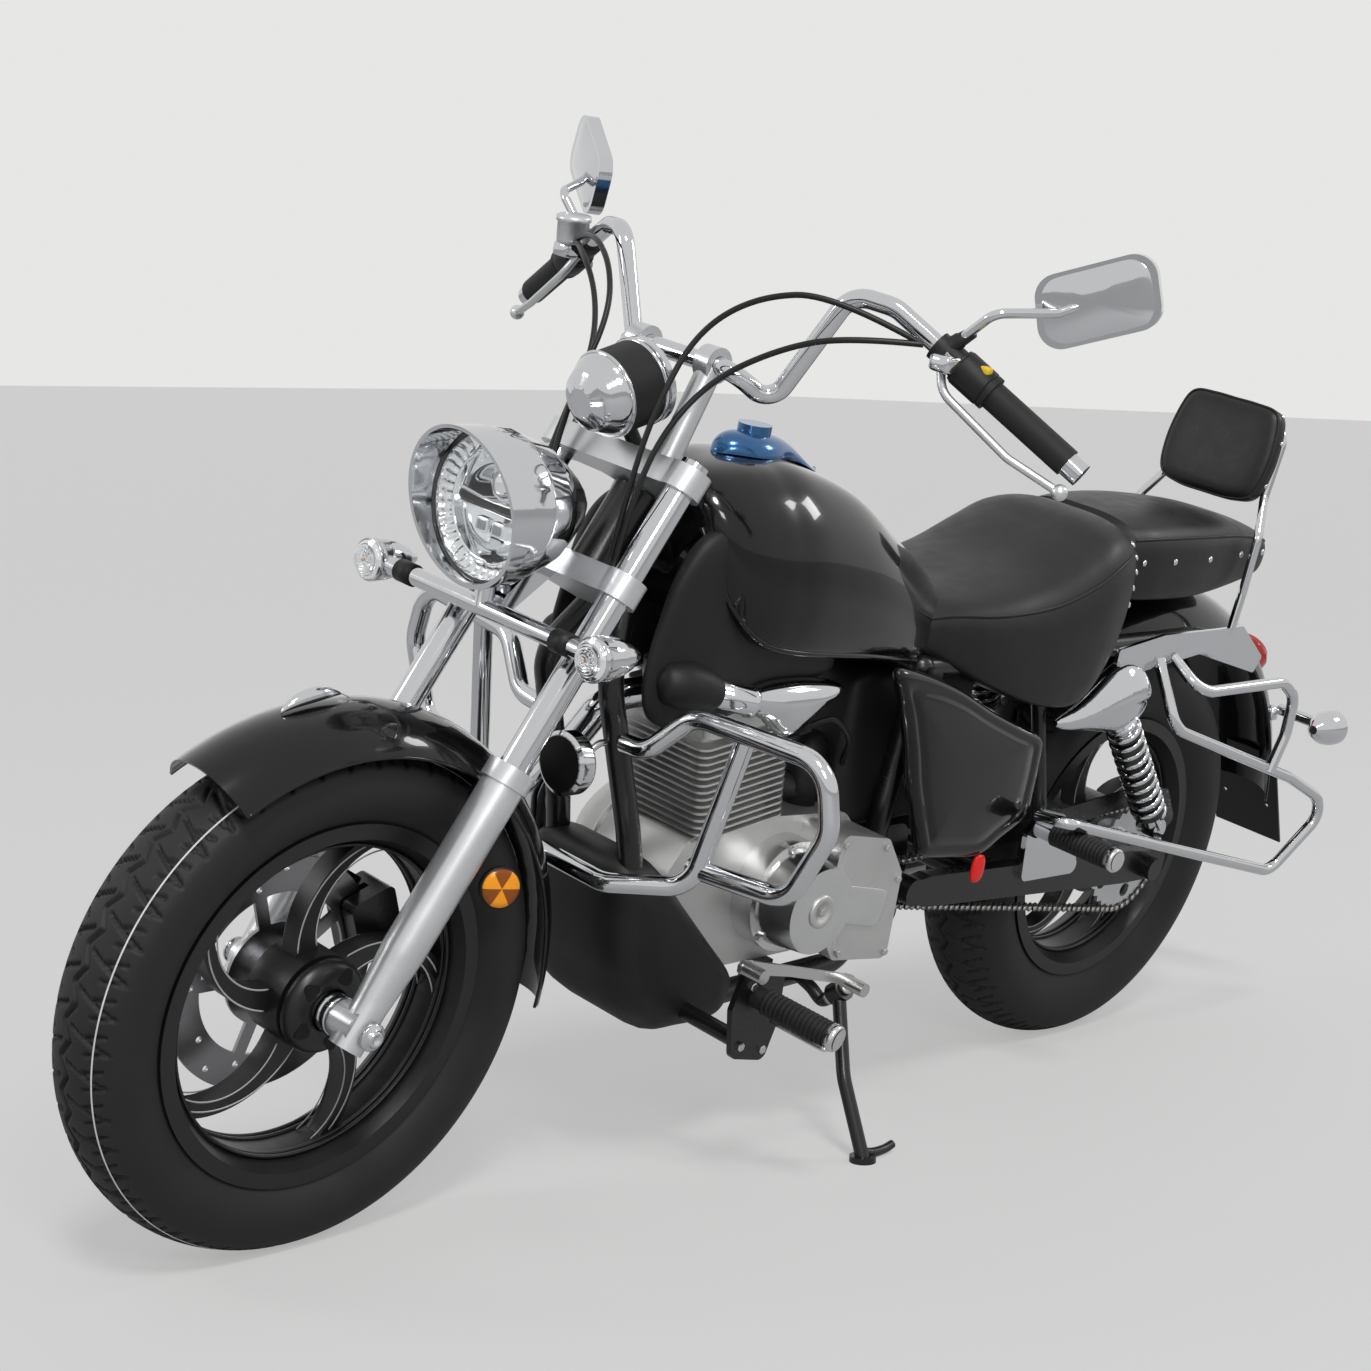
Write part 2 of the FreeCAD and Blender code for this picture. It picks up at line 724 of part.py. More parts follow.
def tyre(axle, seat, rim_half_width, radius, half_width):
    """A tyre closed onto its rim, with bulged walls and a round crown."""
    wall_low = seat + rim_flange_height + fit_gap
    foot = rim_half_width - fit_gap
    shoulder = half_width * tyre_shoulder_share
    shoulder_radius = radius - tyre_crown_radius + math.sqrt(tyre_crown_radius ** 2 - shoulder ** 2)
    bulge_radius = seat + (radius - seat) * tyre_bulge_share
    crown = Vector(radius, 0, 0)

    def spot(r, y):
        return Vector(r, y, 0)

    edges = [
        Part.LineSegment(spot(seat + fit_gap, -foot), spot(seat + fit_gap, foot)),
        Part.LineSegment(spot(seat + fit_gap, foot), spot(wall_low, foot)),
        Part.Arc(spot(wall_low, foot), spot(bulge_radius, half_width), spot(shoulder_radius, shoulder)),
        Part.Arc(spot(shoulder_radius, shoulder), crown, spot(shoulder_radius, -shoulder)),
        Part.Arc(spot(shoulder_radius, -shoulder), spot(bulge_radius, -half_width), spot(wall_low, -foot)),
        Part.LineSegment(spot(wall_low, -foot), spot(seat + fit_gap, -foot)),
    ]
    face = Part.Face(Part.Wire([edge.toShape() for edge in edges]))
    solid = face.revolve(ground, left, 360)
    solid.Placement = Placement(axle, Rotation())
    return solid


def spoke(axle, hub, rim_inner, start_deg):
    """One swept spoke, wide at the hub and hooked forward at the rim."""
    def spot(radius, turn_deg, aside):
        angle = math.radians(start_deg + turn_deg)
        middle = Vector(math.cos(angle), 0, math.sin(angle)) * radius
        sideways = Vector(-math.sin(angle), 0, math.cos(angle)) * aside
        return axle + middle + sideways

    wide = spoke_width * half
    slim = spoke_tip_width * half
    middle_radius = (hub + rim_inner) * half
    middle_turn = spoke_sweep_deg * spoke_bow_share
    root = hub * spoke_root_share
    tip = rim_inner + rim_depth * half
    lead = Part.Arc(spot(root, 0, wide), spot(middle_radius, middle_turn, slim), spot(tip, spoke_sweep_deg, wide))
    trail = Part.Arc(spot(tip, spoke_sweep_deg, -wide), spot(middle_radius, middle_turn, -slim), spot(root, 0, -wide))
    edges = [
        lead.toShape(),
        Part.LineSegment(lead.EndPoint, trail.StartPoint).toShape(),
        trail.toShape(),
        Part.LineSegment(trail.EndPoint, lead.StartPoint).toShape(),
    ]
    blade = Part.Face(Part.Wire(edges)).extrude(left * spoke_thickness)
    blade.translate(left * (-spoke_thickness * half))
    return blade


def wheel(axle, seat, half_width, hub, hub_half_width, start_deg):
    """A cast wheel: rim, spokes and a stepped hub with a bore for the axle."""
    bore = axle_radius + axle_running_gap
    nose = hub_half_width
    face = nose - hub_pocket_depth
    shoulder = hub - hub_step_height
    rows = [
        (-nose, bore), (-nose, shoulder), (-face, shoulder), (-face, hub),
        (face, hub), (face, shoulder), (nose, shoulder), (nose, bore),
    ]
    parts = [rim(axle, seat, half_width), turned(rows, axle, left)]
    step = 360 / spoke_count
    for number in range(spoke_count):
        parts.append(spoke(axle, hub, seat - rim_depth, start_deg + number * step))
    solid = fused(parts)
    clearance = Part.makeCylinder(bore, nose * 2, axle - left * nose, left)
    return solid.cut(clearance)


def brake_disc():
    """The drilled front disc on its five-armed carrier, fixed to the hub's right face."""
    plane = front_axle - left * disc_plane
    ring = turned(
        [(0, disc_inner_radius), (0, disc_radius), (disc_thickness, disc_radius), (disc_thickness, disc_inner_radius)],
        plane, left,
    )
    holes = []
    for number in range(disc_hole_count):
        turn = math.radians(number * 360 / disc_hole_count)
        radius = disc_inner_radius + (disc_radius - disc_inner_radius) * disc_row_shares[number % 2]
        spot = plane + Vector(math.cos(turn), 0, math.sin(turn)) * radius - left * overrun
        holes.append(Part.makeCylinder(disc_hole_radius, overrun * 2 + disc_thickness, spot, left))
    ring = ring.cut(Part.makeCompound(holes))
    seat = disc_plane - front_hub_half_width
    spool_radius = front_hub_radius - hub_step_height
    bore = axle_radius + axle_running_gap
    spool = turned(
        [(0, spacer_radius + overrun * half), (0, disc_carrier_radius), (disc_thickness, disc_carrier_radius),
         (disc_thickness, spool_radius), (seat, spool_radius), (seat, spacer_radius + overrun * half)],
        plane, left,
    )
    arms = []
    for number in range(spoke_count):
        arm = Part.makeBox(disc_inner_radius - disc_carrier_radius + disc_arm_width, disc_thickness, disc_arm_width)
        arm.translate(Vector(disc_carrier_radius - disc_arm_width * half, 0, -disc_arm_width * half))
        arm.rotate(ground, left, number * 360 / spoke_count)
        arm.translate(plane)
        arms.append(arm)
    return fused([ring, spool] + arms)


# Front fork, in the fork's own frame: ahead, aside and along the legs from the axle

def fork_sliders():
    """Both lower legs with their sockets, and the axle with its spacers through them."""
    boss_end = fork_half_spacing - slider_radius
    shapes = []
    for side in (-1, 1):
        rows = [
            (-slider_foot_drop, 0), (-slider_foot_drop, slider_foot_radius), (slider_foot_drop, slider_foot_radius),
            (slider_foot_drop + slider_taper_height, slider_radius),
            (slider_top - slider_collar_height, slider_radius),
            (slider_top - slider_collar_height, slider_collar_radius), (slider_top, slider_collar_radius),
            (slider_top, fork_tube_radius + fit_gap),
            (slider_top - slider_socket_depth, fork_tube_radius + fit_gap),
            (slider_top - slider_socket_depth, 0),
        ]
        shapes.append(turned(rows, Vector(0, side * fork_half_spacing, 0), up))
        reach = fork_half_spacing + slider_foot_radius * half
        boss = Part.makeCylinder(slider_boss_radius, reach - boss_end, Vector(0, side * boss_end, 0), left * side)
        shapes.append(boss)
    spacer_start = front_hub_half_width + axle_side_gap
    spacer_length = boss_end - spacer_start
    for side in (-1, 1):
        base = Vector(0, side * spacer_start, 0)
        shapes.append(Part.makeCylinder(spacer_radius, spacer_length, base, left * side))
    tip = fork_half_spacing + slider_boss_radius
    shapes.append(Part.makeCylinder(axle_radius, tip * 2, Vector(0, -tip, 0), left))
    legs = fused(shapes)
    legs.Placement = fork_place
    return legs


def fork_tubes():
    """The two chrome inner tubes, from their sockets to their caps."""
    low = slider_top - slider_socket_depth + fit_gap
    tube = Part.makeCylinder(fork_tube_radius, fork_top - low, Vector(0, fork_half_spacing, low), up)
    tube.Placement = fork_place
    return with_mirror(tube)


def clamp_plate(low, thickness):
    """One fork clamp: two split rings joined to the stem by a webbed plate."""
    ring = fork_tube_radius + clamp_wall
    points = [
        (clamp_web_depth * half, fork_half_spacing), (-clamp_web_depth * half, fork_half_spacing),
        (-clamp_waist, fork_half_spacing * half), (-fork_offset - clamp_web_depth * run_share, stem_radius),
        (-fork_offset - clamp_web_depth * run_share, -stem_radius), (-clamp_waist, -fork_half_spacing * half),
        (-clamp_web_depth * half, -fork_half_spacing), (clamp_web_depth * half, -fork_half_spacing),
    ]
    corners = [Vector(ahead, aside, low) for ahead, aside in points]
    plate = Part.Face(Part.makePolygon(corners + corners[:1])).extrude(up * thickness)
    rings = [Part.makeCylinder(ring, thickness, Vector(0, side * fork_half_spacing, low), up) for side in (-1, 1)]
    solid = fused([plate] + rings)
    bores = [
        Part.makeCylinder(fork_tube_radius + fit_gap, thickness + overrun * 2,
                          Vector(0, side * fork_half_spacing, low - overrun), up)
        for side in (-1, 1)
    ]
    return solid.cut(Part.makeCompound(bores))


def fork_clamps():
    """Upper and lower clamps on the steering stem."""
    upper_base = fork_top - clamp_cap_height - clamp_thickness
    lower = clamp_plate(lower_clamp_height, clamp_thickness)
    upper = clamp_plate(upper_base, clamp_thickness)
    stem_length = upper_base + clamp_thickness - lower_clamp_height
    stem = Part.makeCylinder(stem_radius, stem_length, Vector(-fork_offset, 0, lower_clamp_height), up)
    solid = fused([lower, upper, stem])
    solid.Placement = fork_place
    return solid


def front_fender():
    """A round shell over the front tyre, with a lug to each lower leg."""
    crown, edge, side = front_fender_crown, front_fender_edge, front_fender_half_width
    outer = Part.Arc(Vector(edge, -side, 0), Vector(crown, 0, 0), Vector(edge, side, 0))
    thin = side - fender_wall
    inner = Part.Arc(Vector(edge, thin, 0), Vector(crown - fender_wall, 0, 0), Vector(edge, -thin, 0))
    rims = [
        Part.LineSegment(Vector(edge, side, 0), Vector(edge, thin, 0)),
        Part.LineSegment(Vector(edge, -thin, 0), Vector(edge, -side, 0)),
    ]
    wire = Part.Wire([outer.toShape(), rims[0].toShape(), inner.toShape(), rims[1].toShape()])
    shell = Part.Face(wire).revolve(ground, left * -1, front_fender_sweep_deg)
    shell.rotate(ground, left * -1, front_fender_start_deg)
    shell.translate(front_axle)
    lugs = []
    inner_face = side - fender_wall
    outer_face = fork_half_spacing - slider_radius - fit_gap
    for side_sign in (-1, 1):
        base = Vector(-fender_lug_depth * half, min(side_sign * inner_face, side_sign * outer_face),
                      fender_lug_height)
        lug = Part.makeBox(fender_lug_depth, outer_face - inner_face, fender_lug_length, base)
        lug.Placement = fork_place
        lugs.append(lug)
    return fused([shell] + lugs)


def brake_caliper():
    """A caliper astride the disc's rear edge, on a lug behind the right lower leg."""
    low = disc_inner_radius + overrun * quarter
    middle = -disc_plane + disc_thickness * half
    span = caliper_length * half
    corners = [
        Vector(-span, middle, low), Vector(span, middle, low),
        Vector(span, middle, low + caliper_depth), Vector(-span, middle, low + caliper_depth),
    ]
    body = Part.Face(bent_path(corners, caliper_round, True)).extrude(left * caliper_width)
    body.translate(left * (-caliper_width * half))
    slot_height = disc_radius + caliper_slot * half - low
    slot = Part.makeBox(caliper_length + overrun * 2, caliper_slot, slot_height + overrun,
                        Vector(-span - overrun, middle - caliper_slot * half, low - overrun))
    body = body.cut(slot)
    body.rotate(ground, left, -caliper_turn_deg)
    front = -slider_radius - fit_gap
    lug_width = fork_half_spacing - disc_plane - caliper_width * half + caliper_lug_thickness
    lug = Part.makeBox(caliper_lug_reach, lug_width, caliper_length * half,
                       Vector(front - caliper_lug_reach, -fork_half_spacing, caliper_height - caliper_length * quarter))
    solid = fused([body, lug])
    solid.Placement = fork_place
    return solid


# Lamps and the speedometer ahead of the fork

def headlight():
    """A bullet shell with a visor lip, open in front for its lens."""
    rim_x = front_axle.x - headlight_behind
    base = Vector(rim_x - headlight_depth, 0, headlight_height)
    wall = headlight_wall
    outer = [(along * headlight_depth, radius * headlight_radius) for along, radius in headlight_shares]
    inner = [(max(along, wall * 2), radius - wall) for along, radius in outer if radius > wall * 2]
    shell = turned(outer + list(reversed(inner)) + [(wall * 2, 0)], base, forward)
    visor = turned(
        [(headlight_depth - wall, headlight_radius - wall), (headlight_depth - wall, headlight_radius + wall * half),
         (headlight_depth + visor_length, headlight_radius + wall * half),
         (headlight_depth + visor_length, headlight_radius - wall * half)],
        base, forward,
    )
    slope = [
        Vector(rim_x, 0, headlight_height - headlight_radius * 2),
        Vector(rim_x + visor_length * 2, 0, headlight_height - headlight_radius * 2),
        Vector(rim_x + visor_length * 2, 0, headlight_height + headlight_radius * 2),
        Vector(rim_x + visor_length, 0, headlight_height + headlight_radius),
        Vector(rim_x + wall, 0, headlight_height - headlight_radius),
    ]
    visor = visor.cut(slab(slope, -headlight_radius * 2, headlight_radius * 2))
    return fused([shell, visor])


def headlight_lens():
    """The domed front glass of the headlight."""
    base = Vector(front_axle.x - headlight_behind - lens_thickness, 0, headlight_height)
    radius = headlight_radius - headlight_wall - fit_gap
    rows = [(0, 0), (0, radius), (lens_thickness * half, radius), (lens_thickness, radius * lens_dome_share), (lens_thickness, 0)]
    return turned(rows, base, forward)


def front_signals():
    """The cross bar under the headlight, its bracket to the lower clamp, and a bullet lamp at each end."""
    middle = on_fork(signal_reach, 0, signal_height)
    bar_end = signal_half_spacing - signal_radius * half
    shapes = [Part.makeCylinder(signal_bar_radius, bar_end * 2, middle - left * bar_end, left)]
    for side in (-1, 1):
        rear = middle + left * side * signal_half_spacing - forward * (signal_length * signal_back_share)
        rows = [(along * signal_length, radius * signal_radius) for along, radius in signal_shares]
        shapes.append(turned(rows, rear, forward))
    bracket_high = lower_clamp_height
    corners = [
        (signal_reach - signal_bar_radius, signal_height - signal_bar_radius * half),
        (signal_reach + signal_bar_radius * half, signal_height + signal_bar_radius * half),
        (clamp_web_depth, bracket_high + clamp_thickness), (clamp_web_depth * half + fit_gap, bracket_high + clamp_thickness),
        (clamp_web_depth * half + fit_gap, bracket_high),
    ]
    plate = Part.makePolygon([Vector(a, -bracket_half_width, z) for a, z in corners + corners[:1]])
    bracket = Part.Face(plate).extrude(left * bracket_half_width * 2)
    bracket.Placement = fork_place
    post_top = Vector(middle.x, 0, headlight_height - headlight_radius + headlight_wall)
    post = Part.makeCylinder(signal_bar_radius, post_top.z - middle.z - headlight_wall - fit_gap, middle, up)
    envelope = [(along * headlight_depth, radius * headlight_radius) for along, radius in headlight_shares]
    lamp_rear = Vector(front_axle.x - headlight_behind - headlight_depth, 0, headlight_height)
    return fused(shapes + [bracket, post]).cut(turned(envelope + [(headlight_depth, 0)], lamp_rear, forward))


def below_clamp():
    """The space under the upper clamp's top face, which trims what stands on it."""
    size = fork_half_spacing * 2
    high = fork_top - clamp_cap_height + fit_gap
    block = Part.makeBox(size, size, size, Vector(-size * half, -size * half, high - size))
    block.Placement = fork_place
    return block


def speedometer():
    """The gauge pod: a cylinder with a bowl in front and a bezel behind, on a stem to the upper clamp."""
    axis = Vector(-math.cos(math.radians(gauge_tilt_deg)), 0, math.sin(math.radians(gauge_tilt_deg)))
    front = on_fork(gauge_reach, 0, fork_top - gauge_drop)
    bowl = [(along * gauge_length, radius * gauge_radius) for along, radius in gauge_shares]
    pod = turned(bowl, front, axis)
    foot = on_fork(-fork_offset * half, 0, fork_top - clamp_cap_height + fit_gap)
    head = front + axis * (gauge_length * half)
    stem = rod([foot, head], gauge_stem_radius, 0)
    return fused([pod, stem.cut(below_clamp())])


# Handlebar and what it carries

bar_middle = on_fork(0, 0, fork_top) + Vector(-riser_lean - fork_offset * half, 0, riser_height)


def bar_points():
    """The left half of the handlebar's centre line, from the middle to the tip."""
    return route(bar_shares, bar_middle, bar_pullback, bar_half_width, bar_rise)


def bar_spot(distance):
    """A point on the straight grip run, a distance back from the bar's tip."""
    inner, tip = bar_points()[-2:]
    direction = inner - tip
    direction.normalize()
    return tip + direction * distance


def grip_heading():
    """The direction of the left grip, towards its tip."""
    heading = bar_spot(0) - bar_spot(grip_length)
    heading.normalize()
    return heading


def handlebar():
    """The bent bar, its two end weights, and two risers from the upper clamp."""
    half_bar = bar_points()
    mirrored = [Vector(point.x, -point.y, point.z) for point in reversed(half_bar)]
    bar = rod(mirrored + half_bar, bar_radius, bar_bend)
    cap = Part.makeCylinder(grip_cap_radius, grip_cap_length, bar_spot(0), grip_heading())
    foot = on_fork(0, riser_half_spacing, fork_top - clamp_cap_height + fit_gap)
    head = bar_middle + left * riser_half_spacing
    riser = rod([foot, head], riser_radius, 0)
    eye = Part.makeCylinder(riser_cap_radius, riser_cap_width, head - left * riser_cap_width * half, left)
    bore = Part.makeCylinder(bar_radius + fit_gap, riser_cap_width * 2, head - left * riser_cap_width, left)
    post = fused([riser, eye]).cut(bore).cut(below_clamp())
    return [bar] + with_mirror(cap) + with_mirror(post)


def hand_grips():
    """Two rubber grips with end flanges."""
    flange = grip_radius * grip_flange_share
    rows = [
        (0, bar_radius + fit_gap), (0, grip_radius), (grip_length - grip_flange, grip_radius),
        (grip_length - grip_flange, flange), (grip_length, flange), (grip_length, bar_radius + fit_gap),
    ]
    grip = turned(rows, bar_spot(fit_gap), grip_heading() * -1)
    return with_mirror(grip)


def hand_controls():
    """Switch boxes, lever perches and ball-ended levers on both sides."""
    heading = grip_heading()
    inward = heading * -1
    box = Part.makeCylinder(switch_radius, switch_length, bar_spot(grip_length + fit_gap * 2), inward)
    perch_base = bar_spot(grip_length + switch_length)
    perch = Part.makeCylinder(perch_radius, perch_length, perch_base, inward)
    bore = Part.makeCylinder(bar_radius + fit_gap, overrun * 8, bar_spot(grip_length - overrun), inward)
    aside = Vector(lever_offset * lever_ahead_share, 0, -lever_offset * lever_drop_share)
    start = perch_base + inward * perch_length * half + aside * (perch_radius / lever_offset)
    points = [
        start,
        bar_spot(grip_length + switch_length) + aside,
        bar_spot(grip_length * half) + aside * lever_bow_share,
        bar_spot(-grip_cap_length * half) + aside * lever_end_share,
    ]
    lever = rod(points, lever_radius, bar_bend)
    ball = Part.makeSphere(lever_ball_radius, points[-1])
    solid = fused([box, perch, lever, ball]).cut(bore)
    return with_mirror(solid)


def mirrors():
    """Bent stems on the perches, each with a turned rounded glass housing."""
    perch_middle = bar_spot(grip_length + switch_length + perch_length * half)
    foot = perch_middle + up * (perch_radius * half)
    points = [foot] + route(mirror_stem_shares, foot, mirror_stem_back, mirror_stem_out, mirror_stem_rise)
    stem = rod(points, mirror_arm_radius, overrun)
    corners = [
        Vector(0, y * mirror_width, z * mirror_height) for y, z in mirror_shares
    ]
    face = Part.Face(bent_path(corners, mirror_corner, True))
    shell = face.extrude(forward * mirror_depth)
    shell.rotate(ground, forward, mirror_roll_deg)
    shell.rotate(ground, up, mirror_yaw_deg)
    shell.translate(points[-1] - forward * mirror_depth * half)
    seat = Part.makeCylinder(perch_radius, perch_length * 2, perch_middle - grip_heading() * perch_length, grip_heading())
    return with_mirror(fused([stem, shell]).cut(seat))


# Chassis

def frame_tubes():
    """Head tube, backbone, twin downtubes and cradle, seat rails and pivot plates."""
    head_low = lower_clamp_height + clamp_thickness + head_tube_gap
    head_high = fork_top - clamp_cap_height - clamp_thickness - head_tube_gap
    bore = stem_radius + stem_running_gap
    head = turned([(0, bore), (0, head_tube_radius), (head_high - head_low, head_tube_radius),
                   (head_high - head_low, bore)], Vector(-fork_offset, 0, head_low), up)
    head.Placement = fork_place.multiply(head.Placement)
    keep_out = Part.makeCylinder(bore, (head_high - head_low) * 3, Vector(-fork_offset, 0, head_low * 2 - head_high), up)
    keep_out.Placement = fork_place
    head_middle = on_fork(-fork_offset, 0, (head_low + head_high) * half)
    head_foot = on_fork(-fork_offset, 0, head_low + head_tube_radius)
    backbone_rear = Vector(pivot.x + backbone_rear_ahead, 0, backbone_rear_height)
    shapes = [head, rod([head_middle, backbone_rear], backbone_radius, 0)]
    rail = seat_rail_half_spacing
    shapes.append(Part.makeCylinder(frame_tube_radius, rail * 2, backbone_rear - left * rail, left))
    rail_front = backbone_rear + left * rail
    rail_rear = Vector(rail_front.x - seat_rail_reach, rail, seat_rail_height)
    shapes += with_mirror(Part.makeSphere(rail_joint_radius, rail_front))
    low_x = pivot.x + pivot_tube_radius + frame_tube_radius
    down_points = [
        on_fork(-fork_offset, 0, lower_clamp_height + clamp_thickness + downtube_neck_start),
        on_fork(-fork_offset - downtube_neck_behind, downtube_neck_half_spacing, lower_clamp_height + clamp_thickness),
        Vector(head_foot.x + downtube_ahead, downtube_half_spacing, head_foot.z - downtube_drop),
        Vector(head_foot.x - downtube_bow_behind, downtube_bow_half_spacing, head_foot.z - downtube_bow_drop),
        Vector(head_foot.x - downtube_foot_behind, cradle_half_spacing, cradle_height),
        Vector(low_x, pivot_plate_half_spacing, cradle_height),
        Vector(low_x, pivot_plate_half_spacing, pivot.z),
        rail_front,
    ]
    side = [rod(down_points, frame_tube_radius, cradle_bend), rod([rail_front, rail_rear], frame_tube_radius, 0)]
    plate = outline(pivot_plate_shares, Vector(pivot.x, 0, pivot.z), pivot_plate_length, pivot_plate_height)
    inner = pivot_plate_half_spacing - pivot_plate_thickness * half
    side.append(slab(plate, inner, inner + pivot_plate_thickness, pivot_tube_radius))
    strut_top = rail_front + (rail_rear - rail_front) * strut_top_share
    strut_foot = Vector(strut_top.x - strut_reach, strut_half_spacing, strut_foot_height)
    side.append(rod([strut_top, strut_foot], strut_radius, 0))
    case_foot = crank.z - case_height * half
    for share in engine_mount_places:
        place = Vector(crank.x - case_length * case_behind_share + case_length * share, engine_mount_inner, cradle_height)
        side.append(Part.makeBox(engine_mount_length, cradle_half_spacing - engine_mount_inner, case_foot - cradle_height, place))
    for shape in side:
        shapes += with_mirror(shape)
    cross = inner + pivot_plate_thickness
    shapes.append(Part.makeCylinder(pivot_tube_radius, cross * 2, pivot - left * cross, left))
    return fused(shapes).cut(keep_out)


def swingarm():
    """Two box arms with a cross tube, pivot ends and the rear axle with its spacers."""
    inner = swingarm_half_spacing - swingarm_tube_width * half
    outer = inner + swingarm_tube_width
    arm = outline(swingarm_shares, Vector(0, 0, rear_axle.z), pivot.x, swingarm_tube_height)
    lift = Vector(0, 0, pivot.z - rear_axle.z)
    arm = [point + lift * (point.x / pivot.x) for point in arm]
    side = [slab(arm, inner, outer, swingarm_tube_height * quarter)]
    plate_face = pivot_plate_half_spacing + pivot_plate_thickness * half + fit_gap
    side.append(Part.makeCylinder(pivot_tube_radius, outer - plate_face, pivot + left * plate_face, left))
    spacer = rear_hub_half_width + axle_side_gap
    side.append(Part.makeCylinder(spacer_radius, inner - spacer, rear_axle + left * spacer, left))
    nut_height = rear_axle_reach - outer
    side.append(Part.makeCylinder(spacer_radius, nut_height, rear_axle + left * outer, left))
    shapes = []
    for shape in side:
        shapes += with_mirror(shape)
    cross_x = rear_tyre_radius + swingarm_cross_gap + swingarm_cross_radius
    cross_z = rear_axle.z + (pivot.z - rear_axle.z) * cross_x / pivot.x
    cross = Vector(cross_x, 0, cross_z)
    shapes.append(Part.makeCylinder(swingarm_cross_radius, outer * 2 - swingarm_tube_width, cross - left * (outer - swingarm_tube_width * half), left))
    shapes.append(Part.makeCylinder(axle_radius, rear_axle_reach * 2, rear_axle - left * rear_axle_reach, left))
    return fused(shapes)


def shocks():
    """Chromed coil-over shocks, each with eyes, a ribbed spring and a teardrop top cover."""
    foot = rear_axle + Vector(shock_foot_ahead, shock_half_spacing, shock_foot_rise)
    head = foot + Vector(shock_reach, 0, shock_rise)
    axis = head - foot
    length = axis.Length
    pitch = (length - shock_eye_radius * 4) / shock_turns
    rows = [(0, 0), (0, shock_bore_radius), (shock_eye_radius * 2, shock_bore_radius)]
    for turn in range(shock_turns):
        low = shock_eye_radius * 2 + pitch * turn
        rows += [(low, shock_spring_radius - shock_wire_radius), (low + pitch * quarter, shock_spring_radius),
                 (low + pitch * half, shock_spring_radius), (low + pitch * 3 * quarter, shock_spring_radius - shock_wire_radius)]
    rows += [(length - shock_eye_radius * 2, shock_bore_radius), (length, shock_bore_radius), (length, 0)]
    body = turned(rows, foot, axis)
    width = swingarm_tube_width
    eye = Part.makeCylinder(shock_eye_radius, width, foot - left * width * half, left)
    stations = [(x, w, low, high) for x, w, low, high in shock_cover_stations]
    origin = head - Vector(shock_cover_length * shock_cover_head_share, 0, shock_cover_height * half)
    cover = lofted(stations, origin, shock_cover_length, shock_cover_half_width, shock_cover_height, round_shares)
    return with_mirror(fused([body, eye, cover]))


def case_block():
    """The crankcase's middle block."""
    corner = crank + Vector(-case_length * case_behind_share, 0, -case_height * half)
    return slab(outline(case_shares, corner, case_length, case_height), -case_half_width, case_half_width, case_corner)


def engine_cases():
    """The crankcase block with generator, sprocket and clutch covers."""
    block = case_block()
    left_face = case_half_width
    rows = [(0, 0), (0, case_cover_radius), (case_cover_reach * half, case_cover_radius),
            (case_cover_reach * half, case_cover_radius * case_cap_share),
            (case_cover_reach * 5 * quarter, case_cover_radius * case_cap_share * case_cap_share), (case_cover_reach * 5 * quarter, 0)]
    generator = turned(rows, crank + left * left_face, left)
    clutch_rows = [(along, radius * clutch_cover_share) for along, radius in rows]
    clutch = turned(clutch_rows, crank - left * left_face + forward * case_cover_radius, left * -1)
    starter = turned(rows, crank - left * left_face - forward * case_cover_radius * half, left * -1)
    cover_base = crank + Vector(-sprocket_cover_behind, 0, -case_height * half)
    cover = slab(outline(sprocket_cover_shares, cover_base, sprocket_cover_length, sprocket_cover_height),
                 left_face * half, left_face + case_cover_reach, case_corner * half)
    solid = fused([block, generator, clutch, starter, cover])
    return solid.cut(chain_pocket())


def cylinder():
    """The finned barrel and head on the crankcase."""
    core_height = cylinder_height + head_height
    round_corner = cylinder_half_width * quarter

    def layer(x_reach, y_reach, low, thickness, corner):
        corners = [Vector(x * x_reach, y * y_reach, low) for x, y in ((-1, -1), (1, -1), (1, 1), (-1, 1))]
        return Part.Face(bent_path(corners, corner, True)).extrude(up * thickness)

    shapes = [layer(cylinder_half_length, cylinder_half_width, 0, core_height, round_corner)]
    pitch = cylinder_height / fin_count
    for number in range(fin_count):
        low = pitch * (number + half)
        shapes.append(layer(cylinder_half_length + fin_depth, cylinder_half_width + fin_depth, low, fin_thickness, round_corner))
    head_reach = cylinder_half_length + fin_depth * half
    shapes.append(layer(head_reach, cylinder_half_width + fin_depth, cylinder_height + pitch, head_height * half, round_corner))
    solid = fused(shapes)
    solid.rotate(ground, left, cylinder_tilt_deg)
    solid.translate(crank + Vector(cylinder_ahead, 0, cylinder_rise))
    return solid.cut(case_block())


def chain_wire(y, grow):
    """A belt line round both sprockets, grown outward from the chain's inner edge."""
    rear_radius = chain_rear_radius + grow
    front_radius = chain_front_radius + grow
    front = crank + Vector(-chain_front_behind, 0, -chain_front_drop)
    middles = [Vector(rear_axle.x, y, rear_axle.z), Vector(front.x, y, front.z)]
    run = middles[1] - middles[0]
    heading = math.atan2(run.z, run.x)
    spread = math.acos((rear_radius - front_radius) / run.Length)

    def spot(number, radius, angle):
        return middles[number] + Vector(math.cos(angle), 0, math.sin(angle)) * radius

    top, bottom = heading + spread, heading - spread
    rear = Part.Arc(spot(0, rear_radius, top), spot(0, rear_radius, heading + math.pi), spot(0, rear_radius, bottom))
    nose = Part.Arc(spot(1, front_radius, bottom), spot(1, front_radius, heading), spot(1, front_radius, top))
    edges = [
        rear.toShape(), Part.LineSegment(rear.EndPoint, nose.StartPoint).toShape(),
        nose.toShape(), Part.LineSegment(nose.EndPoint, rear.StartPoint).toShape(),
    ]
    return Part.Wire(edges)


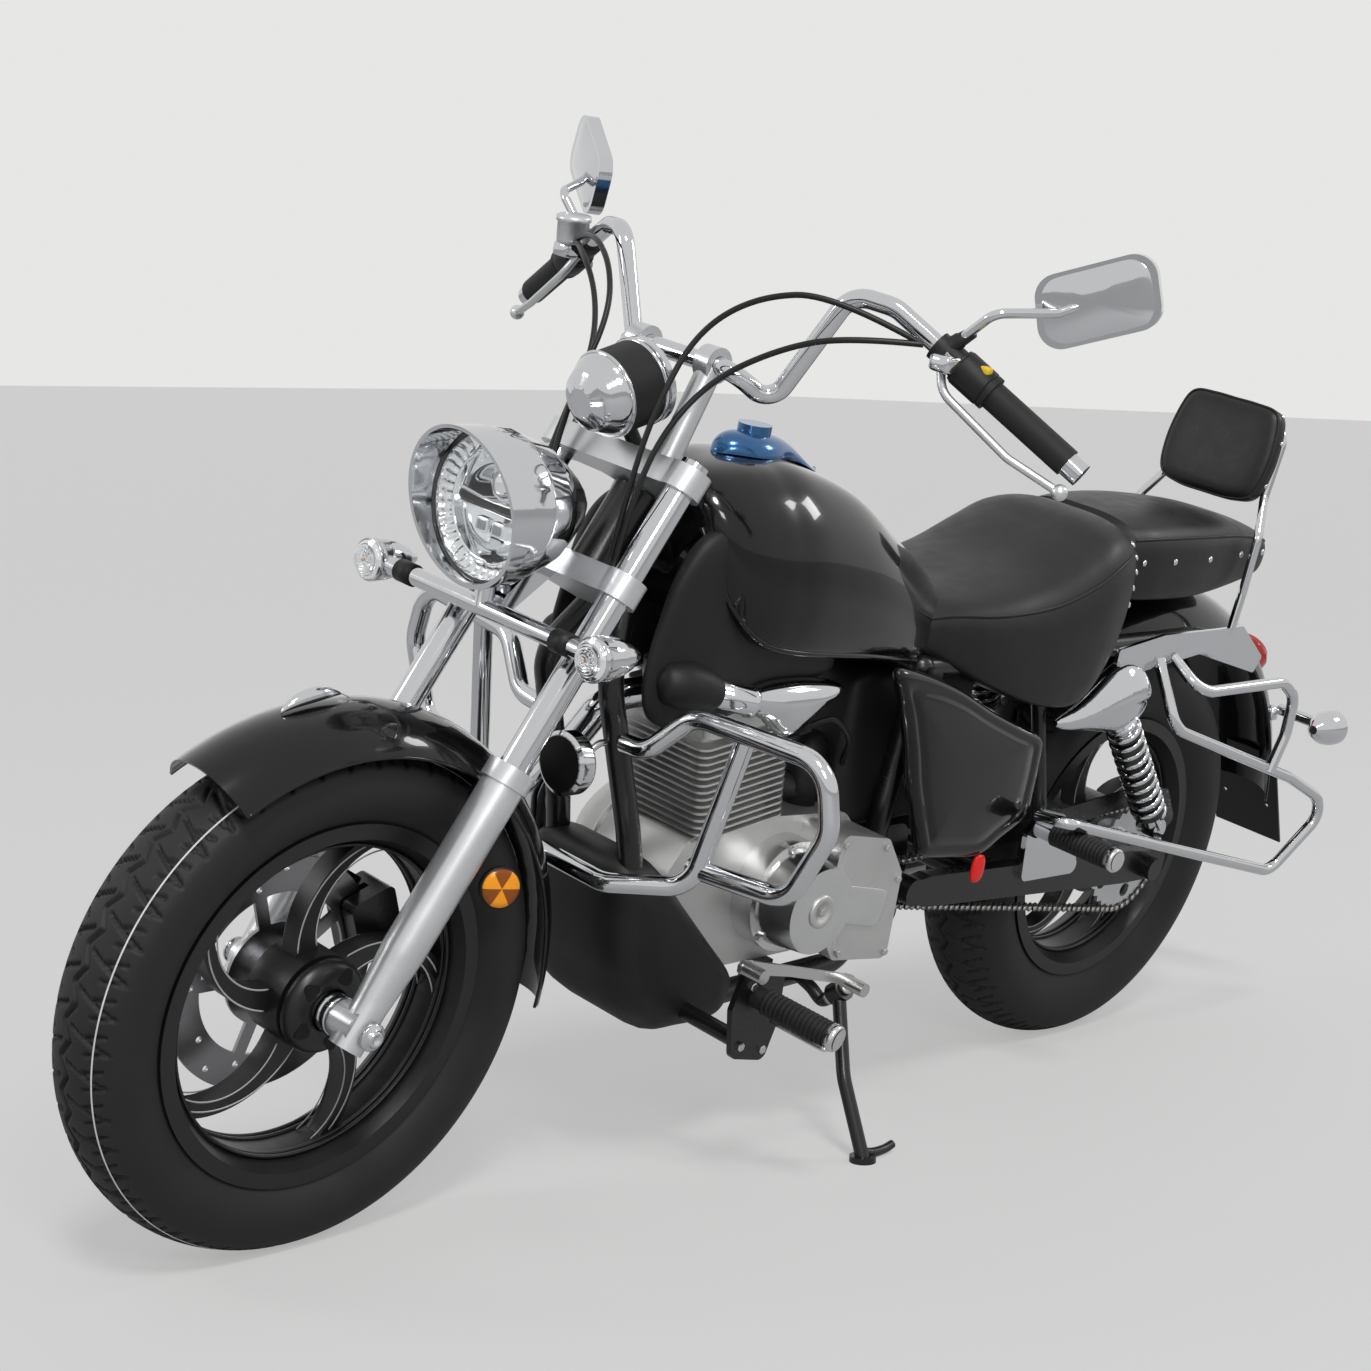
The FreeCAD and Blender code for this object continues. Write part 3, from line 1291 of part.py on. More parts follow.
def chain():
    """The drive chain as one closed loop."""
    low = chain_plane - chain_width * half
    outer = Part.Face(chain_wire(low, chain_height)).extrude(left * chain_width)
    inner = Part.Face(chain_wire(low - overrun, 0)).extrude(left * (chain_width + overrun * 2))
    return outer.cut(inner)


def chain_pocket():
    """The space that the engine leaves round the chain's front turn."""
    low = chain_plane - chain_width * half - fit_gap
    width = chain_width + fit_gap * 2
    outer = Part.Face(chain_wire(low, chain_height + fit_gap)).extrude(left * width)
    inner = Part.Face(chain_wire(low - overrun, -fit_gap)).extrude(left * (width + overrun * 2))
    boss = chain_front_radius * 2
    front = crank + Vector(-chain_front_behind, 0, -chain_front_drop)
    keep = inner.common(Part.makeBox(boss * 2, width + overrun * 2, boss * 2, Vector(front.x - chain_front_radius, low - overrun, front.z - boss)))
    return outer.cut(keep)


def sprocket():
    """The rear sprocket with pointed teeth and its carrier against the hub."""
    teeth = []
    for number in range(tooth_count * 2):
        radius = sprocket_radius if number % 2 else sprocket_radius - tooth_depth
        angle = math.pi * number / tooth_count
        teeth.append(rear_axle + Vector(math.cos(angle), 0, math.sin(angle)) * radius)
    low = chain_plane - sprocket_thickness * half
    disc = slab(teeth, low, low + sprocket_thickness)
    carrier = Part.makeCylinder(sprocket_radius * sprocket_carrier_share, low - rear_hub_half_width,
                                rear_axle + left * rear_hub_half_width, left)
    bore = Part.makeCylinder(spacer_radius + axle_side_gap, chain_plane * 2, rear_axle, left)
    windows = []
    for number in range(spoke_count):
        turn = math.radians((number + half) * 360 / spoke_count)
        spot = rear_axle + Vector(math.cos(turn), 0, math.sin(turn)) * (sprocket_radius * window_place_share)
        windows.append(Part.makeCylinder(sprocket_radius * window_share, chain_plane * 2, spot + left * low * half, left))
    keep_low = Part.makeCylinder(sprocket_radius, low - rear_hub_half_width * half, rear_axle + left * rear_hub_half_width * half, left)
    cut_windows = Part.makeCompound(windows).cut(keep_low)
    return fused([disc, carrier]).cut(bore).cut(cut_windows)


def chain_guard():
    """A side plate over the chain's upper run, with a tab on the swingarm."""
    inner = chain_plane + chain_width * half + chain_guard_gap
    origin = Vector(0, 0, rear_axle.z)
    plate = slab(outline(chain_guard_shares, origin, chain_guard_length, chain_guard_height), inner,
                 inner + chain_guard_wall, chain_guard_corner)
    arm_face = swingarm_half_spacing - swingarm_tube_width * half - fit_gap
    tab_x = chain_guard_length * chain_guard_tab_share
    tab = Part.makeBox(chain_guard_tab, arm_face - inner, chain_guard_tab_height,
                       Vector(tab_x, inner, rear_axle.z + chain_guard_tab_rise))
    return fused([plate, tab])


def exhaust():
    """The header from the head's front, swept down the right side into a tapered muffler."""
    port = crank + Vector(exhaust_port_ahead, -exhaust_port_aside, exhaust_port_rise)
    header = rod([port] + route(header_shares, port, header_reach, header_width, header_drop), header_radius, header_bend)
    end = route(header_shares, port, header_reach, header_width, header_drop)[-1]
    rows = [(along * muffler_length, radius * muffler_radius) for along, radius in muffler_shares]
    muffler = turned(rows, end + forward * muffler_overlap, Vector(-1, 0, muffler_rise_share))
    hanger = Part.makeBox(muffler_hanger_length, muffler_hanger_wall, muffler_hanger_height,
                          Vector(rear_axle.x + swingarm_length * half, end.y, end.z))
    return fused([header, muffler, hanger]).cut(cylinder())


def belly_cover():
    """An open-topped shell under the engine and round the frame's lower front."""
    origin = Vector(crank.x + belly_rear_ahead, 0, belly_base_height)
    outer = slab(outline(belly_shares, origin, belly_length, belly_height), -belly_half_width, belly_half_width, belly_corner)
    thin = belly_half_width - belly_wall
    inner = slab(outline(belly_inner_shares, origin + Vector(-belly_wall, 0, belly_wall), belly_length, belly_height),
                 -thin, thin, belly_corner)
    peg_hole = Part.makeCylinder(peg_tube_radius + fit_gap, belly_half_width * 4,
                                 Vector(crank.x + peg_ahead, -belly_half_width * 2, cradle_height), left)
    return outer.cut(inner).cut(peg_hole)


tank_origin = Vector(pivot.x - tank_rear_behind, 0, tank_base_height)


def tank_body(grow):
    """The tank's outer form, grown evenly for what seats against it."""
    wide = grow / tank_half_width
    tall = grow / tank_height
    stations = [(along, width + wide, low - tall, high + tall) for along, width, low, high in tank_stations]
    return lofted(stations, tank_origin, tank_length, tank_half_width, tank_height, tank_section_shares)


def fuel_tank():
    """The teardrop tank, hollowed below for the backbone."""
    body = tank_body(0)
    head = on_fork(-fork_offset, 0, (lower_clamp_height + fork_top) * half)
    rear = Vector(pivot.x + backbone_rear_ahead, 0, backbone_rear_height)
    lift = Vector(0, 0, backbone_radius + tank_tunnel_gap)
    drop = Vector(0, 0, -tank_height)
    stretch = rear - head
    corners = [head + lift, rear + stretch + lift, rear + stretch + drop, head + drop]
    width = backbone_radius + tank_tunnel_gap
    rail = seat_rail_half_spacing
    groove = rail_joint_radius + fit_gap
    tubes = [Part.makeCylinder(groove, rail * 2, rear - left * rail, left)]
    for side in (-rail, rail):
        tubes.append(Part.makeCylinder(groove, tank_length, rear + left * side - forward * tank_length, forward))
        tubes.append(Part.makeSphere(groove, rear + left * side))
    return body.cut(slab(corners, -width, width)).cut(tubes)


def tank_console():
    """The raised teardrop cover on the tank's ridge, with the filler flap."""
    origin = Vector(pivot.x + console_rear_ahead - tank_rear_behind, 0, tank_base_height + console_rise)
    body = lofted(console_stations, origin, console_length, console_half_width, console_height, round_shares)
    flap = Part.makeCylinder(cap_radius, console_height * half + cap_height,
                             origin + Vector(console_length * cap_place_share, 0, console_height * half), up)
    return fused([body, flap]).cut(tank_body(fit_gap))


def tank_shrouds():
    """The side panels between the fork and the engine, under the tank's front edge."""
    origin = Vector(crank.x, 0, crank.z + shroud_rise)
    panel = slab(outline(shroud_shares, origin, shroud_length, shroud_height), shroud_inner, shroud_outer, shroud_corner)
    return with_mirror(panel.cut(tank_body(fit_gap)))


def air_scoops():
    """The bright teardrop covers and their short tubes on the panels' outer faces."""
    rear = Vector(crank.x + scoop_rear_ahead, shroud_outer + scoop_radius * scoop_seat_share, crank.z + scoop_rise)
    rows = [(along * scoop_length, radius * scoop_radius) for along, radius in scoop_shares]
    body = turned(rows, rear, Vector(1, scoop_turn_share, scoop_turn_share))
    keep = Part.makeBox(scoop_length * 2, scoop_radius * 2, scoop_length,
                        Vector(rear.x - scoop_length * half, shroud_outer + fit_gap, rear.z - scoop_length * half))
    return with_mirror(body.common(keep))


def side_covers():
    """The triangular covers under the seat."""
    origin = Vector(pivot.x - side_cover_behind, 0, pivot.z)
    panel = slab(outline(side_cover_shares, origin, side_cover_length, side_cover_height),
                 side_cover_inner, side_cover_outer, side_cover_corner)
    return with_mirror(panel)


def rider_seat():
    """The dished front seat with deep side skirts over the frame rails."""
    origin = Vector(pivot.x - rider_seat_behind, 0, rider_seat_base)
    body = lofted(rider_seat_stations, origin, rider_seat_length, rider_seat_half_width, rider_seat_height, seat_section_shares)
    wide = strut_half_spacing
    tunnel = Part.makeBox(rider_seat_length * 2, wide * 2, rider_seat_height,
                          Vector(origin.x - rider_seat_length * half, -wide,
                                 seat_rail_height + frame_tube_radius + fit_gap - rider_seat_height))
    return body.cut(tunnel).cut(tank_body(fit_gap * 2))


def passenger_seat():
    """The crowned rear seat behind the rider's."""
    origin = Vector(pivot.x - passenger_seat_behind, 0, passenger_seat_base)
    return lofted(passenger_seat_stations, origin, passenger_seat_length, passenger_seat_half_width,
                  passenger_seat_height, seat_section_shares)


backrest_foot = Vector(pivot.x - backrest_behind - rider_seat_length, 0, backrest_base)


def backrest():
    """The padded backrest, leaned to the rear."""
    corners = [Vector(0, y * backrest_half_width, z * backrest_height) for y, z in backrest_shares]
    face = Part.Face(bent_path(corners, backrest_corner, True))
    pad = face.extrude(forward * -backrest_depth)
    pad = pad.makeFillet(backrest_round, pad.Edges)
    pad.rotate(ground, left, -backrest_lean_deg)
    pad.translate(backrest_foot)
    return pad.cut(sissy_rod())


def strut_panels():
    """The pressed panels outside the seat rails, left and right."""
    origin = Vector(pivot.x - strut_panel_behind, 0, seat_rail_height)
    inner = seat_rail_half_spacing + frame_tube_radius + fit_gap
    panel = slab(outline(strut_panel_shares, origin, strut_panel_length, strut_panel_height), inner,
                 inner + strut_panel_wall, strut_panel_corner)
    return with_mirror(panel)


def sissy_rod():
    """The bent bar of the backrest's hoop, from one panel over to the other."""
    inner = seat_rail_half_spacing + frame_tube_radius + fit_gap
    foot_x = pivot.x - strut_panel_behind + strut_panel_length * sissy_foot_share
    foot = Vector(foot_x, inner + strut_panel_wall * half, seat_rail_height)
    points = [foot] + route(sissy_shares, foot, sissy_reach, inner, sissy_height)
    mirrored = [Vector(point.x, -point.y, point.z) for point in reversed(points)]
    return rod(points + mirrored, sissy_radius, sissy_bend)


def sissy_bar():
    """The bright hoop behind the backrest, on side panels along the fender."""
    return fused(strut_panels() + [sissy_rod()])


def rear_fender():
    """The long rear fender between the seat rails, with its tail plate."""
    middle = rear_axle + Vector(-rear_fender_shift, 0, -rear_fender_drop)
    crown, edge, side = rear_fender_crown, rear_fender_edge, rear_fender_half_width
    thin = side - fender_wall
    outer = Part.Arc(Vector(edge, -side, 0), Vector(crown, 0, 0), Vector(edge, side, 0))
    inner = Part.Arc(Vector(edge, thin, 0), Vector(crown - fender_wall, 0, 0), Vector(edge, -thin, 0))
    rims = [
        Part.LineSegment(Vector(edge, side, 0), Vector(edge, thin, 0)),
        Part.LineSegment(Vector(edge, -thin, 0), Vector(edge, -side, 0)),
    ]
    wire = Part.Wire([outer.toShape(), rims[0].toShape(), inner.toShape(), rims[1].toShape()])
    shell = Part.Face(wire).revolve(ground, left * -1, rear_fender_sweep_deg)
    shell.rotate(ground, left * -1, rear_fender_start_deg)
    shell.translate(middle)
    return shell


def plate_bracket():
    """The blank plate carrier that hangs from the fender's tail, with two bolt holes."""
    middle = rear_axle + Vector(-rear_fender_shift, 0, -rear_fender_drop)
    turn = math.radians(rear_fender_start_deg + rear_fender_sweep_deg - plate_inset_deg)
    tail = middle + Vector(math.cos(turn), 0, math.sin(turn)) * (rear_fender_crown + fit_gap)
    board = Part.makeBox(plate_wall, plate_half_width * 2, plate_height, Vector(0, -plate_half_width, -plate_height))
    tab = Part.makeBox(plate_wall, plate_half_width, plate_tab_height, Vector(0, -plate_half_width * half, 0))
    holes = [
        Part.makeCylinder(plate_hole_radius, overrun * 2, Vector(-overrun, side * plate_hole_spacing * half, -plate_height * half), forward)
        for side in (-1, 1)
    ]
    board = fused([board, tab]).cut(Part.makeCompound(holes))
    board.rotate(ground, left, plate_lean_deg)
    board.translate(tail + Vector(-plate_wall, 0, -plate_tab_height * half))
    return board


def rear_lamps():
    """The tail lamp on the fender and two ball signals on arms."""
    middle = rear_axle + Vector(-rear_fender_shift, 0, -rear_fender_drop)

    def on_fender(turn_deg, lift):
        turn = math.radians(turn_deg)
        return middle + Vector(math.cos(turn), 0, math.sin(turn)) * (rear_fender_crown + lift)

    rows = [(along * tail_lamp_length, radius * tail_lamp_radius) for along, radius in tail_lamp_shares]
    seat = on_fender(tail_lamp_deg, fit_gap)
    turn = math.radians(tail_lamp_deg)
    lamp = turned(rows, seat, Vector(math.cos(turn), 0, math.sin(turn)))
    root = on_fender(rear_signal_deg, -(rear_fender_crown - rear_fender_edge) * half)
    arm_start = Vector(root.x, rear_fender_half_width + fit_gap, root.z)
    arm_end = arm_start + left * rear_signal_reach
    arm = rod([arm_start, arm_end], rear_signal_arm_radius, 0)
    ball_rows = [(along * rear_signal_length, radius * rear_signal_radius) for along, radius in signal_shares]
    ball = turned(ball_rows, arm_end + forward * (rear_signal_length * signal_back_share), forward * -1)
    return [lamp] + with_mirror(fused([arm, ball]))


def engine_guards():
    """The bright loops ahead of the engine, joined by a low cross tube."""
    loop = route(guard_loop_shares, ground, crank.x + guard_ahead, guard_half_width, guard_height)
    brace = route(guard_brace_shares, ground, crank.x + guard_ahead, guard_half_width, guard_height)
    upper = rod(loop, guard_radius, guard_bend)
    mirrored = [Vector(point.x, -point.y, point.z) for point in reversed(brace)]
    lower = rod(mirrored + brace, guard_radius, guard_bend)
    return fused(with_mirror(upper) + [lower])


def saddle_guards():
    """The bright tube frames beside the rear wheel."""
    loop = route(saddle_loop_shares, ground, saddle_reach, saddle_half_width, saddle_height)
    top = route(saddle_top_shares, ground, saddle_reach, saddle_half_width, saddle_height)
    lower = rod(loop, saddle_radius, saddle_bend)
    upper = rod(top, saddle_radius, saddle_bend)
    panel = strut_panels()[0]
    return with_mirror(fused([lower, upper]).cut(panel))


def foot_pegs():
    """Rider and passenger pegs on their hangers."""
    rail_face = cradle_half_spacing + frame_tube_radius * half
    base = Vector(crank.x + peg_ahead, 0, cradle_height)
    tube = Part.makeCylinder(peg_tube_radius, peg_plate_inner - rail_face, base + left * rail_face, left)
    plate = slab(outline(peg_plate_shares, base, peg_plate_length, peg_plate_height), peg_plate_inner,
                 peg_plate_inner + peg_plate_wall, peg_plate_corner)
    start = base + Vector(0, peg_plate_inner + peg_plate_wall * half, peg_plate_height * half)
    tip = start + Vector(-peg_sweep, peg_length, -peg_drop)
    peg = rod([start, tip], peg_radius, 0)
    hanger_face = strut_half_spacing + strut_radius * half
    rail_front_x = pivot.x + backbone_rear_ahead
    hanger_x = rail_front_x - seat_rail_reach * strut_top_share - strut_reach
    hanger = slab(outline(hanger_shares, Vector(hanger_x, 0, strut_foot_height), hanger_length, hanger_height),
                  hanger_face, hanger_face + peg_plate_wall, peg_plate_corner)
    rear_start = Vector(hanger_x, hanger_face, strut_foot_height)
    rear_peg = rod([rear_start, rear_start + left * rear_peg_length], peg_radius, 0)
    frame = frame_tubes()
    return with_mirror(fused([tube, plate, peg]).cut(frame)) + with_mirror(fused([hanger, rear_peg]).cut(frame))


def foot_controls():
    """The heel-and-toe shift lever on the left and the brake pedal on the right."""
    base = Vector(crank.x + peg_ahead, 0, cradle_height)
    inner = peg_plate_inner + peg_plate_wall + fit_gap
    arm = slab(outline(shift_shares, base, shift_length, peg_plate_height), inner, inner + shift_wall, shift_corner)
    toe = base + Vector(shift_length * toe_share, inner, peg_plate_height * toe_rise_share)
    pad = rod([toe, toe + left * toe_length], toe_radius, 0)
    heel = base + Vector(shift_length * heel_share, inner, peg_plate_height * heel_rise_share)
    heel_pad = rod([heel, heel + left * toe_length], toe_radius, 0)
    shift = fused([arm, pad, heel_pad])
    brake_arm = slab(outline(brake_shares, base, shift_length, peg_plate_height), inner, inner + shift_wall, shift_corner)
    brake = fused([brake_arm, pad]).mirror(ground, left)
    return [shift, brake]


def side_stand_axis():
    """The stand's slanted pivot: a leg turning about it swings from down and outward to straight back."""
    return Vector(0, 1, 1)


stand_pivot = Vector(pivot.x + stand_pivot_ahead, stand_pivot_aside, cradle_height)


def stand_foot():
    """The middle of the stand's foot, half a pad above the ground once the bike leans."""
    lean = math.radians(lean_deg)
    high = stand_foot_thickness * half - lean_rise
    aside = stand_foot_aside * math.cos(lean) - high * math.sin(lean)
    return Vector(pivot.x + stand_foot_ahead, aside, stand_foot_aside * math.sin(lean) + high * math.cos(lean))


def side_stand():
    """The stand's leg with its pivot eye and rounded foot, flat on the ground once the bike leans."""
    axis = side_stand_axis()
    axis.normalize()
    eye = Part.makeCylinder(stand_eye_radius, stand_eye_width, stand_pivot, axis)
    foot = stand_foot()
    knee = stand_pivot + axis * (stand_eye_width * half)
    leg_run = foot - knee
    bow = knee + leg_run * half + forward * stand_bow
    leg = rod([knee, bow, foot], stand_leg_radius, stand_bend)
    pad = Part.makeCylinder(stand_foot_radius, stand_foot_thickness, up * (-stand_foot_thickness * half), up)
    pad.Placement = Placement(foot, Rotation(forward, lean_deg))
    floor = Part.makeBox(overrun * 4, overrun * 4, overrun * 2, Vector(-overrun * 2, -overrun * 2, -overrun * 2 - stand_foot_thickness * half))
    floor.Placement = Placement(foot, Rotation(forward, lean_deg))
    return fused([eye, leg, pad]).cut(floor)


def horn():
    """The round horn ahead of the left downtube, on its bracket."""
    head_foot = on_fork(-fork_offset, 0, lower_clamp_height + clamp_thickness + head_tube_gap + head_tube_radius)
    place = Vector(head_foot.x + downtube_ahead + frame_tube_radius + horn_gap, downtube_half_spacing, horn_height)
    rows = [(along * horn_depth, radius * horn_radius) for along, radius in horn_shares]
    return turned(rows, place, forward)


def cables():
    """Control cables from the levers down to the head."""
    shapes = []
    start = bar_spot(grip_length + switch_length + perch_length) + Vector(cable_start_ahead, 0, 0)
    for shares in (clutch_cable_shares, switch_cable_shares):
        points = [start] + route(shares, start, cable_reach, cable_width, cable_drop)
        shapes.append(rod(points, cable_radius, cable_bend))
    for shares in (brake_cable_shares, throttle_cable_shares):
        points = [start] + route(shares, start, cable_reach, cable_width, cable_drop)
        shapes.append(rod([Vector(p.x, -p.y, p.z) for p in points], cable_radius, cable_bend))
    return shapes


def all_pieces():
    """Every named subcomponent with its solids, drawn upright."""
    return {
        "frame_tubes": [frame_tubes()],
        "swingarm": [swingarm()],
        "shocks": shocks(),
        "engine_cases": [engine_cases()],
        "cylinder": [cylinder()],
        "exhaust": [exhaust()],
        "belly_cover": [belly_cover()],
        "fuel_tank": [fuel_tank()],
        "tank_console": [tank_console()],
        "tank_shrouds": tank_shrouds(),
        "air_scoops": air_scoops(),
        "side_covers": side_covers(),
        "rider_seat": [rider_seat()],
        "passenger_seat": [passenger_seat()],
        "backrest": [backrest()],
        "sissy_bar": [sissy_bar()],
        "rear_fender": [rear_fender(), plate_bracket()],
        "rear_lamps": rear_lamps(),
        "engine_guards": [engine_guards()],
        "saddle_guards": saddle_guards(),
        "foot_pegs": foot_pegs(),
        "foot_controls": foot_controls(),
        "chain": [chain()],
        "chain_guard": [chain_guard()],
        "horn": [horn()],
        "fork_clamps": [fork_clamps()],
        "fork_tubes": fork_tubes(),
        "fork_sliders": [fork_sliders()],
        "front_fender": [front_fender()],
        "headlight": [headlight(), headlight_lens()],
        "front_signals": [front_signals()],
        "handlebar": handlebar(),
        "hand_grips": hand_grips(),
        "hand_controls": hand_controls(),
        "mirrors": mirrors(),
        "speedometer": [speedometer()],
        "brake_caliper": [brake_caliper()],
        "cables": cables(),
        "front_wheel": [
            wheel(front_axle, front_rim_radius, front_rim_half_width, front_hub_radius, front_hub_half_width,
                  front_spoke_deg),
        ],
        "front_tyre": [
            tyre(front_axle, front_rim_radius, front_rim_half_width, front_tyre_radius, front_tyre_half_width),
        ],
        "brake_disc": [brake_disc()],
        "rear_wheel": [
            wheel(rear_axle, rear_rim_radius, rear_rim_half_width, rear_hub_radius, rear_hub_half_width,
                  rear_spoke_deg),
        ],
        "rear_tyre": [
            tyre(rear_axle, rear_rim_radius, rear_rim_half_width, rear_tyre_radius, rear_tyre_half_width),
        ],
        "sprocket": [sprocket()],
        "side_stand": [side_stand()],
    }


# Assembly: everything leans onto the stand, and the origin moves to the middle of the footprint

pieces = all_pieces()
leaned = Placement(Vector(0, 0, lean_rise), Rotation(forward, -lean_deg))
for solids in pieces.values():
    for solid in solids:
        solid.Placement = leaned.multiply(solid.Placement)

everything = Part.makeCompound([solid for solids in pieces.values() for solid in solids])
box = everything.optimalBoundingBox(False, False)
shift = Vector(-(box.XMin + box.XMax) * half, -(box.YMin + box.YMax) * half, -box.ZMin)
os.makedirs("parts", exist_ok=True)
for node, solids in pieces.items():
    for solid in solids:
        solid.translate(shift)
    Part.makeCompound(solids).exportStep(f"parts/{node}.step")
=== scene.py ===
"""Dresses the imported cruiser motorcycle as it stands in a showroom, leaned on its side stand.

Sizes are millimetres on the upright bike, with X forward, Y left and Z up from the ground under the rear
axle. Chassis.place turns them into the row frame, in metres and leaned. Colours are linear.
"""

import logging
import math
from dataclasses import dataclass, field
from enum import Enum

import bmesh
import bpy
import numpy as np
from mathutils import Matrix, Vector

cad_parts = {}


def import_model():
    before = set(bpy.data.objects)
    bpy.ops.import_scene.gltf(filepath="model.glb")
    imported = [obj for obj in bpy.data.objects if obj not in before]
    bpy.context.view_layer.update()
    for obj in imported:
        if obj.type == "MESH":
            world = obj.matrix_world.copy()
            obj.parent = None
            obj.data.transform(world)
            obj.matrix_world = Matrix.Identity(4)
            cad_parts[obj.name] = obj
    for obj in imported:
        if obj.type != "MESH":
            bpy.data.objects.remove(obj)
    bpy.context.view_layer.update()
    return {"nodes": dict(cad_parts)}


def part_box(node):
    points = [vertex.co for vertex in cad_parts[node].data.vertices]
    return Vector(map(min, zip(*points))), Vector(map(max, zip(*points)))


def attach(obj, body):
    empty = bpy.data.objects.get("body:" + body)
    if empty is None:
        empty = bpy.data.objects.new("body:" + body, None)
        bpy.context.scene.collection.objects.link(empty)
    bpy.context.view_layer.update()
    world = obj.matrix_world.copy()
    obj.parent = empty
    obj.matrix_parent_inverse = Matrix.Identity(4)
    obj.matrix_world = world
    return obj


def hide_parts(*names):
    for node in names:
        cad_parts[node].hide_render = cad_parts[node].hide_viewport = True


log = logging.getLogger("cruiser")

Array = np.ndarray
Point = tuple[float, float, float]
Colour = Point
Pairs = tuple[tuple[float, float], ...]
Route = tuple[Point, ...]
Stations = tuple[tuple[float, float, float, float], ...]

# The sign of Y on each side, and its word
SIDES = ((1, "left"), (-1, "right"))

# Places and directions on the upright bike, the places in millimetres
FRONT_AXLE = (1450.0, 0.0, 302.0)
REAR_AXLE = (0.0, 0.0, 307.5)
CRANK = (765.0, 0.0, 358.0)
LAMP_RIM = (1291.0, 0.0, 854.0)
SIGNAL_FACE = (1282.3, 191.0, 738.0)
GAUGE_FRONT = (1175.0, 0.0, 969.4)
GRIP_TIP = (862.35, 440.0, 1012.03)
GRIP_HEADING = (-0.33817, 0.80849, -0.48165)
MIRROR_MIDDLE = (819.0, 407.0, 1194.0)
MIRROR_AHEAD = (0.891, 0.454, 0.0)
SHOCK_FOOT = (15.0, 134.0, 373.5)
SHOCK_REACH = (178.0, 0.0, 212.0)
PEG_TIP = (895.0, 320.0, 279.0)
REAR_PEG_TIP = (282.0, 255.0, 400.0)


class Value:
    """A shader socket that adds Math nodes when it is used in an expression."""

    def __init__(self, tree: "NodeSheet", socket: bpy.types.NodeSocket) -> None:
        """Wraps one output socket of a tree."""
        self.tree = tree
        self.socket = socket

    def _math(self, operation: str, *values: object) -> "Value":
        """Adds one Math node and returns its result."""
        return self.tree.node("ShaderNodeMath", {"operation": operation}, list(values))

    def __add__(self, other: object) -> "Value":
        """Sum of two values."""
        return self._math("ADD", self, other)

    __radd__ = __add__

    def __sub__(self, other: object) -> "Value":
        """This value less another."""
        return self._math("SUBTRACT", self, other)

    def __mul__(self, other: object) -> "Value":
        """Product of two values."""
        return self._math("MULTIPLY", self, other)


class NodeSheet:
    """One material's node tree, with a Principled shader already in it."""

    def __init__(self, name: str) -> None:
        """Makes the material and its shader.

        Args:
            name: the material's name.
        """
        self.material = bpy.data.materials.new(name)
        self.material.use_nodes = True
        self.tree = self.material.node_tree
        self.shader = self.tree.nodes["Principled BSDF"]
        self.output = self.tree.nodes["Material Output"]

    def node(
        self, kind: str, settings: dict[str, object], inputs: object = (), output: int | str = 0
    ) -> Value:
        """Adds any node.

        Args:
            kind: the node's Blender type.
            settings: properties set before the inputs, such as a Math node's operation.
            inputs: values or links, as a list in socket order or a dict by socket name.
            output: which output socket is returned.

        Returns:
            The chosen output, wrapped.
        """
        made = self.tree.nodes.new(kind)
        for key, value in settings.items():
            setattr(made, key, value)
        pairs = inputs.items() if isinstance(inputs, dict) else enumerate(inputs)
        for key, value in pairs:
            self.feed(made.inputs[key], value)
        return Value(self, made.outputs[output])

    def feed(self, socket: bpy.types.NodeSocket, value: object) -> None:
        """Links a wrapped value to a socket, or sets a plain one on it.

        Args:
            socket: the input that is set.
            value: a wrapped value, a number or a colour.
        """
        if isinstance(value, Value):
            self.tree.links.new(value.socket, socket)
        elif isinstance(value, tuple) and socket.type == "RGBA" and len(value) == 3:
            socket.default_value = (*value, 1.0)
        else:
            socket.default_value = value

    def coordinates(self, scale: Point = (1.0, 1.0, 1.0)) -> Value:
        """Object coordinates, stretched on each axis."""
        base = self.node("ShaderNodeTexCoord", {}, (), "Object")
        return self.node("ShaderNodeVectorMath", {"operation": "MULTIPLY"}, [base, scale])

    def noise(self, scale: float, detail: float = 3.0, stretch: Point = (1.0, 1.0, 1.0)) -> Value:
        """Noise from zero to one, on object coordinates.

        Args:
            scale: how fine it is.
            detail: how many finer layers it has.
            stretch: its stretch on each axis.

        Returns:
            The noise.
        """
        return self.node(
            "ShaderNodeTexNoise", {}, {"Vector": self.coordinates(stretch), "Scale": scale, "Detail": detail}
        )

    def mix(self, factor: object, first: object, second: object) -> Value:
        """A colour between two, by a factor.

        Args:
            factor: 0 for the first, 1 for the second.
            first: one colour.
            second: the other.

        Returns:
            The mixed colour.
        """
        made = self.tree.nodes.new("ShaderNodeMix")
        made.data_type = "RGBA"
        self.feed(made.inputs[0], factor)
        self.feed(made.inputs[6], first)
        self.feed(made.inputs[7], second)
        return Value(self, made.outputs[2])

    def bump(self, height: Value, strength: float, distance: float, normal: object = None) -> Value:
        """A normal tilted by a height, in metres at its highest.

        Args:
            height: the height, from 0 to 1.
            strength: how far it tilts the normal.
            distance: metres at a height of 1.
            normal: a normal that it adds to, if any.

        Returns:
            The tilted normal.
        """
        inputs = {"Height": height, "Strength": strength, "Distance": distance}
        if normal is not None:
            inputs["Normal"] = normal
        return self.node("ShaderNodeBump", {}, inputs)

    def set(self, **values: object) -> "NodeSheet":
        """Feeds the shader's sockets; underscores stand for the spaces in their names.

        Args:
            values: what each socket gets.

        Returns:
            This sheet.
        """
        for key, value in values.items():
            self.feed(self.shader.inputs[key.replace("_", " ")], value)
        return self


